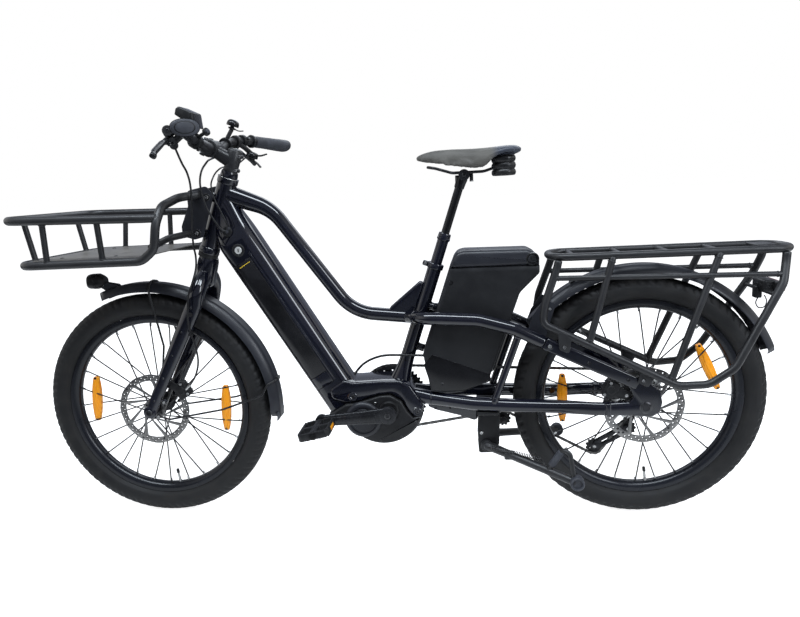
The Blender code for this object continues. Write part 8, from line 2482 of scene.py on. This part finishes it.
def cassette():
    piece = Piece("sprocket_stack", "sprockets", "brightSteel", ("cassette",), 34)
    specs = (
        (-4, 0.074, 36), (-3, 0.069, 33), (-2, 0.064, 31), (-1, 0.0592, 29), (0, 0.0545, 28),
        (0.9, 0.048, 23), (1.8, 0.042, 20), (2.7, 0.036, 17), (3.6, 0.03, 14)
    )
    for step, radius, teeth in specs:
        y = drive["chainLine"] + step * drive["sprocketStep"]
        loops = [toothed(teeth, radius, 0.004)]
        if radius > 0.045:
            for index in range(6):
                a = 2 * math.pi * index / 6 + step * 0.2
                low, high = np.linspace(a + 0.18, a + 0.86, 6), np.linspace(a + 0.9, a + 0.14, 9)
                inner, outer = 0.027, radius - 0.013
                loops.append(np.vstack([onCircle(inner, low), onCircle(outer, high)]))
        loops.append(ring2d(0.0109, 32))
        at = shifted(rearAxle)
        piece.holed(loops, y - 0.0009, y + 0.0009, 0.0002, at)
    piece.lathe([
        (0.0109, 0.031), (0.0196, 0.0312), (0.02, 0.033), (0.02, 0.069), (0.0188, 0.0712), (0.016, 0.072),
        (0.0109, 0.072)
    ], facing(rearAxle, 1), 48, True, "darkSteel")
    piece.done()


def chainPath():
    # tangents and arcs: 1 turns to the left seen from the left side, -1 to the right
    wheels = [
        (crankAxis[[0, 2]], drive["ringPitch"], -1), (rearAxle[[0, 2]], drive["sprocketPitch"], -1),
        (vec(0.642, 0.21), drive["pulleyPitch"], 1), (vec(0.553, 0.159), drive["pulleyPitch"], -1),
        (vec(0.308, 0.242), drive["roller"], 1)
    ]
    angles = []
    for index, (here, r0, s0) in enumerate(wheels):
        there, r1, s1 = wheels[(index + 1) % 5]
        line = there - here
        angles.append(math.atan2(line[1], line[0]) + math.acos((r1 * s1 - r0 * s0) / np.linalg.norm(line)))
    path = []
    for index, (centre, radius, turn) in enumerate(wheels):
        back = math.pi if turn > 0 else 0
        enter, leave = angles[index - 1] + back, angles[index] + back
        sweep = (leave - enter) % (2 * math.pi) if turn > 0 else -((enter - leave) % (2 * math.pi))
        a = enter + sweep * np.linspace(0, 1, 40)
        path.append(np.stack([
            centre[0] + radius * np.cos(a), np.zeros(40), centre[1] + radius * np.sin(a)
        ], 1))
    return np.vstack(path)


def chain():
    # each link is a pair of waisted plates, inner and outer in turn, and a roller stands on every pin
    piece = Piece("chain_links", "frame", "chainSteel", ("chain",), 30)
    path = chainPath()
    closed = np.vstack([path, path[:1]])
    count = round(lengthOf(closed) / drive["linkPitch"] / 2) * 2
    far = np.concatenate([[0], np.cumsum(np.linalg.norm(np.diff(closed, axis=0), axis=1))])
    at = np.arange(count) * far[-1] / count
    pins = np.stack([np.interp(at, far, closed[:, i]) for i in range(3)], 1)
    after = np.roll(pins, -1, 0)
    middle, way = (pins + after) / 2, unit(after - pins)
    up = np.stack([-way[:, 2], np.zeros(count), way[:, 0]], 1)
    reach = np.linalg.norm(after - pins, axis=1)[:, None]
    turn = np.linspace(0, 2 * math.pi, 12, endpoint=False)
    waist = 0.0039 - 0.001 * np.exp(-(np.cos(turn) / 0.42) ** 2)
    lengthwise, high = np.cos(turn), waist * np.sin(turn)
    ends = np.sign(lengthwise) * (reach / 2 + 0.0032 * np.abs(lengthwise)) * (np.abs(lengthwise) > 0.3)
    flat = middle[:, None] + way[:, None] * ends[..., None] + up[:, None] * high[None, :, None]
    sheets = np.where(np.arange(count) % 2, 0.0021, 0.0031)[:, None, None]
    sides = drive["chainLine"]
    face = np.arange(12)
    quads = np.stack([face, (face + 1) % 12, (face + 1) % 12 + 12, face + 12], 1).tolist()
    faces = [tuple(q) for q in quads] + [tuple(range(11, -1, -1)), tuple(range(12, 24))]
    for out in (-1, 1):
        for link in range(count):
            half = sheets[link, 0, 0]
            y0, y1 = sides + out * half - 0.0004, sides + out * half + 0.0004
            sheet = np.vstack([flat[link] + vec(0, y0, 0), flat[link] + vec(0, y1, 0)])
            piece.add(sheet, faces)
    ring = onCircle(0.003, turn[::2])
    for pin in pins:
        low = np.stack([pin[0] + ring[:, 0], np.full(6, sides - 0.0034), pin[2] + ring[:, 1]], 1)
        piece.grid(np.stack([low, low + vec(0, 0.0068, 0)]))
    piece.done()
    print("chain:", count, "links")


def derailleur():
    piece = Piece("derailleur_arm", "frame", "glossPlastic", ("derailleur_body",), 36)
    hanger = outlined([
        (0.648, 0.294), (0.682, 0.294), (0.684, 0.266), (0.668, 0.256), (0.654, 0.266)
    ], 0.006, 5)
    piece.prism(hanger, 0.075, 0.082, 0.0012, None, "darkAlloy")
    piece.lathe([
        (0.006, 0), (0.0132, 0), (0.014, 0.001), (0.014, 0.02), (0.013, 0.0216), (0.009, 0.022),
        (0.0084, 0.0208), (0.001, 0.0206)
    ], facing((0.669, 0.07, 0.272), 1), 44)
    link = spaced([(0.669, 0.084, 0.272), (0.656, 0.0775, 0.243), (0.644, 0.069, 0.214)], 0.004)
    piece.sweep(link, (0.013, 0.0078), 30, (0, 1, 0), 3.0, 0.3)
    piece.sweep(
        link[3:-3] + vec(0.003, 0.0062, 0), (0.008, 0.0022), 24, (0, 1, 0), 2.6, 0.4, tone="darkAlloy"
    )
    piece.lathe([
        (0.006, 0), (0.0142, 0), (0.015, 0.001), (0.015, 0.0165), (0.0138, 0.0178), (0.01, 0.018),
        (0.001, 0.0176)
    ], facing((0.642, 0.0612, 0.21), 1), 44)
    cable = smoothLine([
        (0.66, 0.086, 0.25), (0.685, 0.09, 0.26), (0.695, 0.088, 0.285), (0.675, 0.085, 0.305),
        (0.65, 0.083, 0.31)
    ], 0.003)
    piece.sweep(cable, 0.0022, 12, tone="hoseRubber")
    piece.done()
    cage = Piece("derailleur_cage_plates", "chain_arm", "darkAlloy", ("derailleur_cage",), 34)
    top, low = vec(0.642, 0, 0.21), vec(0.553, 0, 0.159)
    length = apart(top, low)
    place = frameTo(top, low)
    for y in (0.0459, 0.0581):
        plate = np.vstack([arc2d((0, 0), 0.012, 180, 360, 12), arc2d((0, length), 0.0115, 0, 180, 12)])
        loops = [plate, outlined([
            (-0.0045, 0.022), (0.0045, 0.022), (0.0045, length - 0.022), (-0.0045, length - 0.022)
        ], 0.004, 4)]
        cage.holed(loops, y - 0.001, y + 0.001, 0.0003, place)
    for centre in (top, low):
        at = shifted(centre)
        holes = [ring2d(0.0024, 10, 0, middle) for middle in ring2d(0.011, 5)]
        pulley = [toothed(11, drive["pulleyPitch"] - 0.002, 0.004), ring2d(0.0035, 16), *holes]
        cage.holed(pulley, 0.0498, 0.0542, 0.0003, at, "blackPlastic")
        cage.rod(centre + vec(0, 0.0442, 0), centre + vec(0, 0.06, 0), 0.0046, tone="darkSteel")
        cage.bolt(centre + vec(0, 0.0445, 0), (0, -1, 0), 0.0046, 0.0012, "brightSteel")
    cage.done()


cranks()
pedal(left, "pedal_l", "pedal_left", "left_pedal")
pedal(right, "pedal_r", "pedal_right", "right_pedal")
cassette()
chain()
derailleur()
print("drive ready")


# Centre stand and its bracket
standLook = {"pivot": (0.258, 0.0, 0.203), "leg": 0.0105, "springTurns": 30}


def stand():
    bracket = Piece("stand_mount", "frame", "blackPlastic", ("stand_bracket",), 36)
    bracket.block((0.236, -0.07, 0.297), (0.29, 0.07, 0.3062), 0.003, 0.003)
    bracket.block((0.24, -0.03, 0.225), (0.29, 0.03, 0.3), 0.006, 0.004)
    cheek = outlined([
        (0.241, 0.299), (0.296, 0.299), (0.292, 0.205), (0.282, 0.18), (0.238, 0.179), (0.236, 0.215)
    ], 0.006, 5)
    for side in (left, right):
        flank(bracket, cheek, side, 0.028, 0.034, 0.0016)
        for x, z in ((0.252, 0.288), (0.282, 0.288), (0.246, 0.236)):
            bracket.bolt(
                (x, side * 0.034, z), (0, side, 0), 0.0046, 0.0026,
                "darkSteel" if z > 0.25 else "brightSteel"
            )
    # a curved web runs forward from the bracket, under the chainstays, to the motor's shell
    web = outlined([
        (0.09, 0.308), (0.15, 0.312), (0.238, 0.305), (0.238, 0.256), (0.19, 0.274), (0.13, 0.29)
    ], 0.01, 6)
    bracket.prism(web, -0.006, 0.006, 0.002, None, "glossPaint")
    for x in (0.125, 0.165, 0.205):
        bracket.bolt((x, -0.006, 0.296), (0, -1, 0), 0.0034, 0.0018, "darkSteel")
    at = shifted((0.308, 0, 0.242))
    bracket.holed([toothed(11, 0.0196, 0.0036), ring2d(0.0035, 16)], 0.0498, 0.0542, 0.0003, at)
    bracket.rod((0.308, 0.032, 0.242), (0.308, 0.056, 0.242), 0.006, tone="darkSteel")
    arm = outlined([(0.28, 0.25), (0.28, 0.23), (0.312, 0.233), (0.318, 0.243), (0.312, 0.251)], 0.004, 4)
    bracket.prism(arm, 0.033, 0.037, 0.001)
    bracket.done()
    piece = Piece("stand_legs", "centre_stand", "mattePaint", ("stand",), 38)
    pivot = vec(*standLook["pivot"])
    piece.rod(pivot - vec(0, 0.044, 0), pivot + vec(0, 0.044, 0), 0.0105)
    for side in (left, right):
        leg = rounded([
            pivot + vec(0, side * 0.04, 0), pivot + vec(0.018, side * 0.05, -0.003),
            vec(0.47, side * 0.166, 0.16)
        ], 0.03, 8)
        path = spaced(leg, 0.008)
        t = np.linspace(0, 1, len(path))
        piece.sweep(path, standLook["leg"] * (1 + 0.12 * ease((0.3 - t) / 0.2)), 26, (0, 1, 0))
        foot = facing((0.47, side * 0.156, 0.16), side)
        piece.lathe([
            (0.01, 0), (0.0162, 0), (0.0172, 0.0012), (0.0175, 0.003), (0.0175, 0.019), (0.0172, 0.0206),
            (0.016, 0.022), (0.013, 0.022), (0.0122, 0.0206), (0.0118, 0.017), (0.001, 0.0168)
        ], foot, 44, False, "gripRubber")
        piece.rod(pivot + vec(0, side * 0.035, 0), pivot + vec(0, side * 0.048, 0), 0.0145, edge=0.0015)
        piece.bolt(pivot + vec(0, side * 0.048, 0), (0, side, 0), 0.0075, 0.003, "darkSteel")
    tang = rounded([
        (0.405, -0.131, 0.176), (0.44, -0.145, 0.238), (0.456, -0.156, 0.23), (0.464, -0.164, 0.164)
    ], 0.014, 8)
    piece.sweep(spaced(tang, 0.004), 0.0055, 22, (0, 1, 0))
    rest = spaced([(0.413, -0.134, 0.19), (0.437, -0.144, 0.231)], 0.003)
    piece.sweep(rest, (0.0085, 0.006), 24, (0, 1, 0), 3.0, 0.4, tone="gripRubber")
    # the return spring lies beside the near leg
    start, stop = vec(0.268, -0.062, 0.208), vec(0.39, -0.1105, 0.196)
    turns = standLook["springTurns"]
    t = np.linspace(0, 1, turns * 10)
    place = frameTo(start, stop)
    coil = np.stack([
        0.0046 * np.cos(t * turns * 2 * math.pi), 0.0046 * np.sin(t * turns * 2 * math.pi),
        t * apart(start, stop)
    ], 1)
    piece.sweep(moved(coil, place), 0.0011, 6, (0, 1, 0), tone="darkSteel")
    piece.rod(start - vec(0.01, -0.006, -0.002), start, 0.0015, tone="darkSteel", steps=10)
    piece.rod(stop, stop + vec(0.01, 0.002, -0.014), 0.0015, tone="darkSteel", steps=10)
    piece.block((0.302, -0.082, 0.18), (0.33, -0.064, 0.199), 0.004, 0.003)
    piece.done()


stand()
print("stand ready")
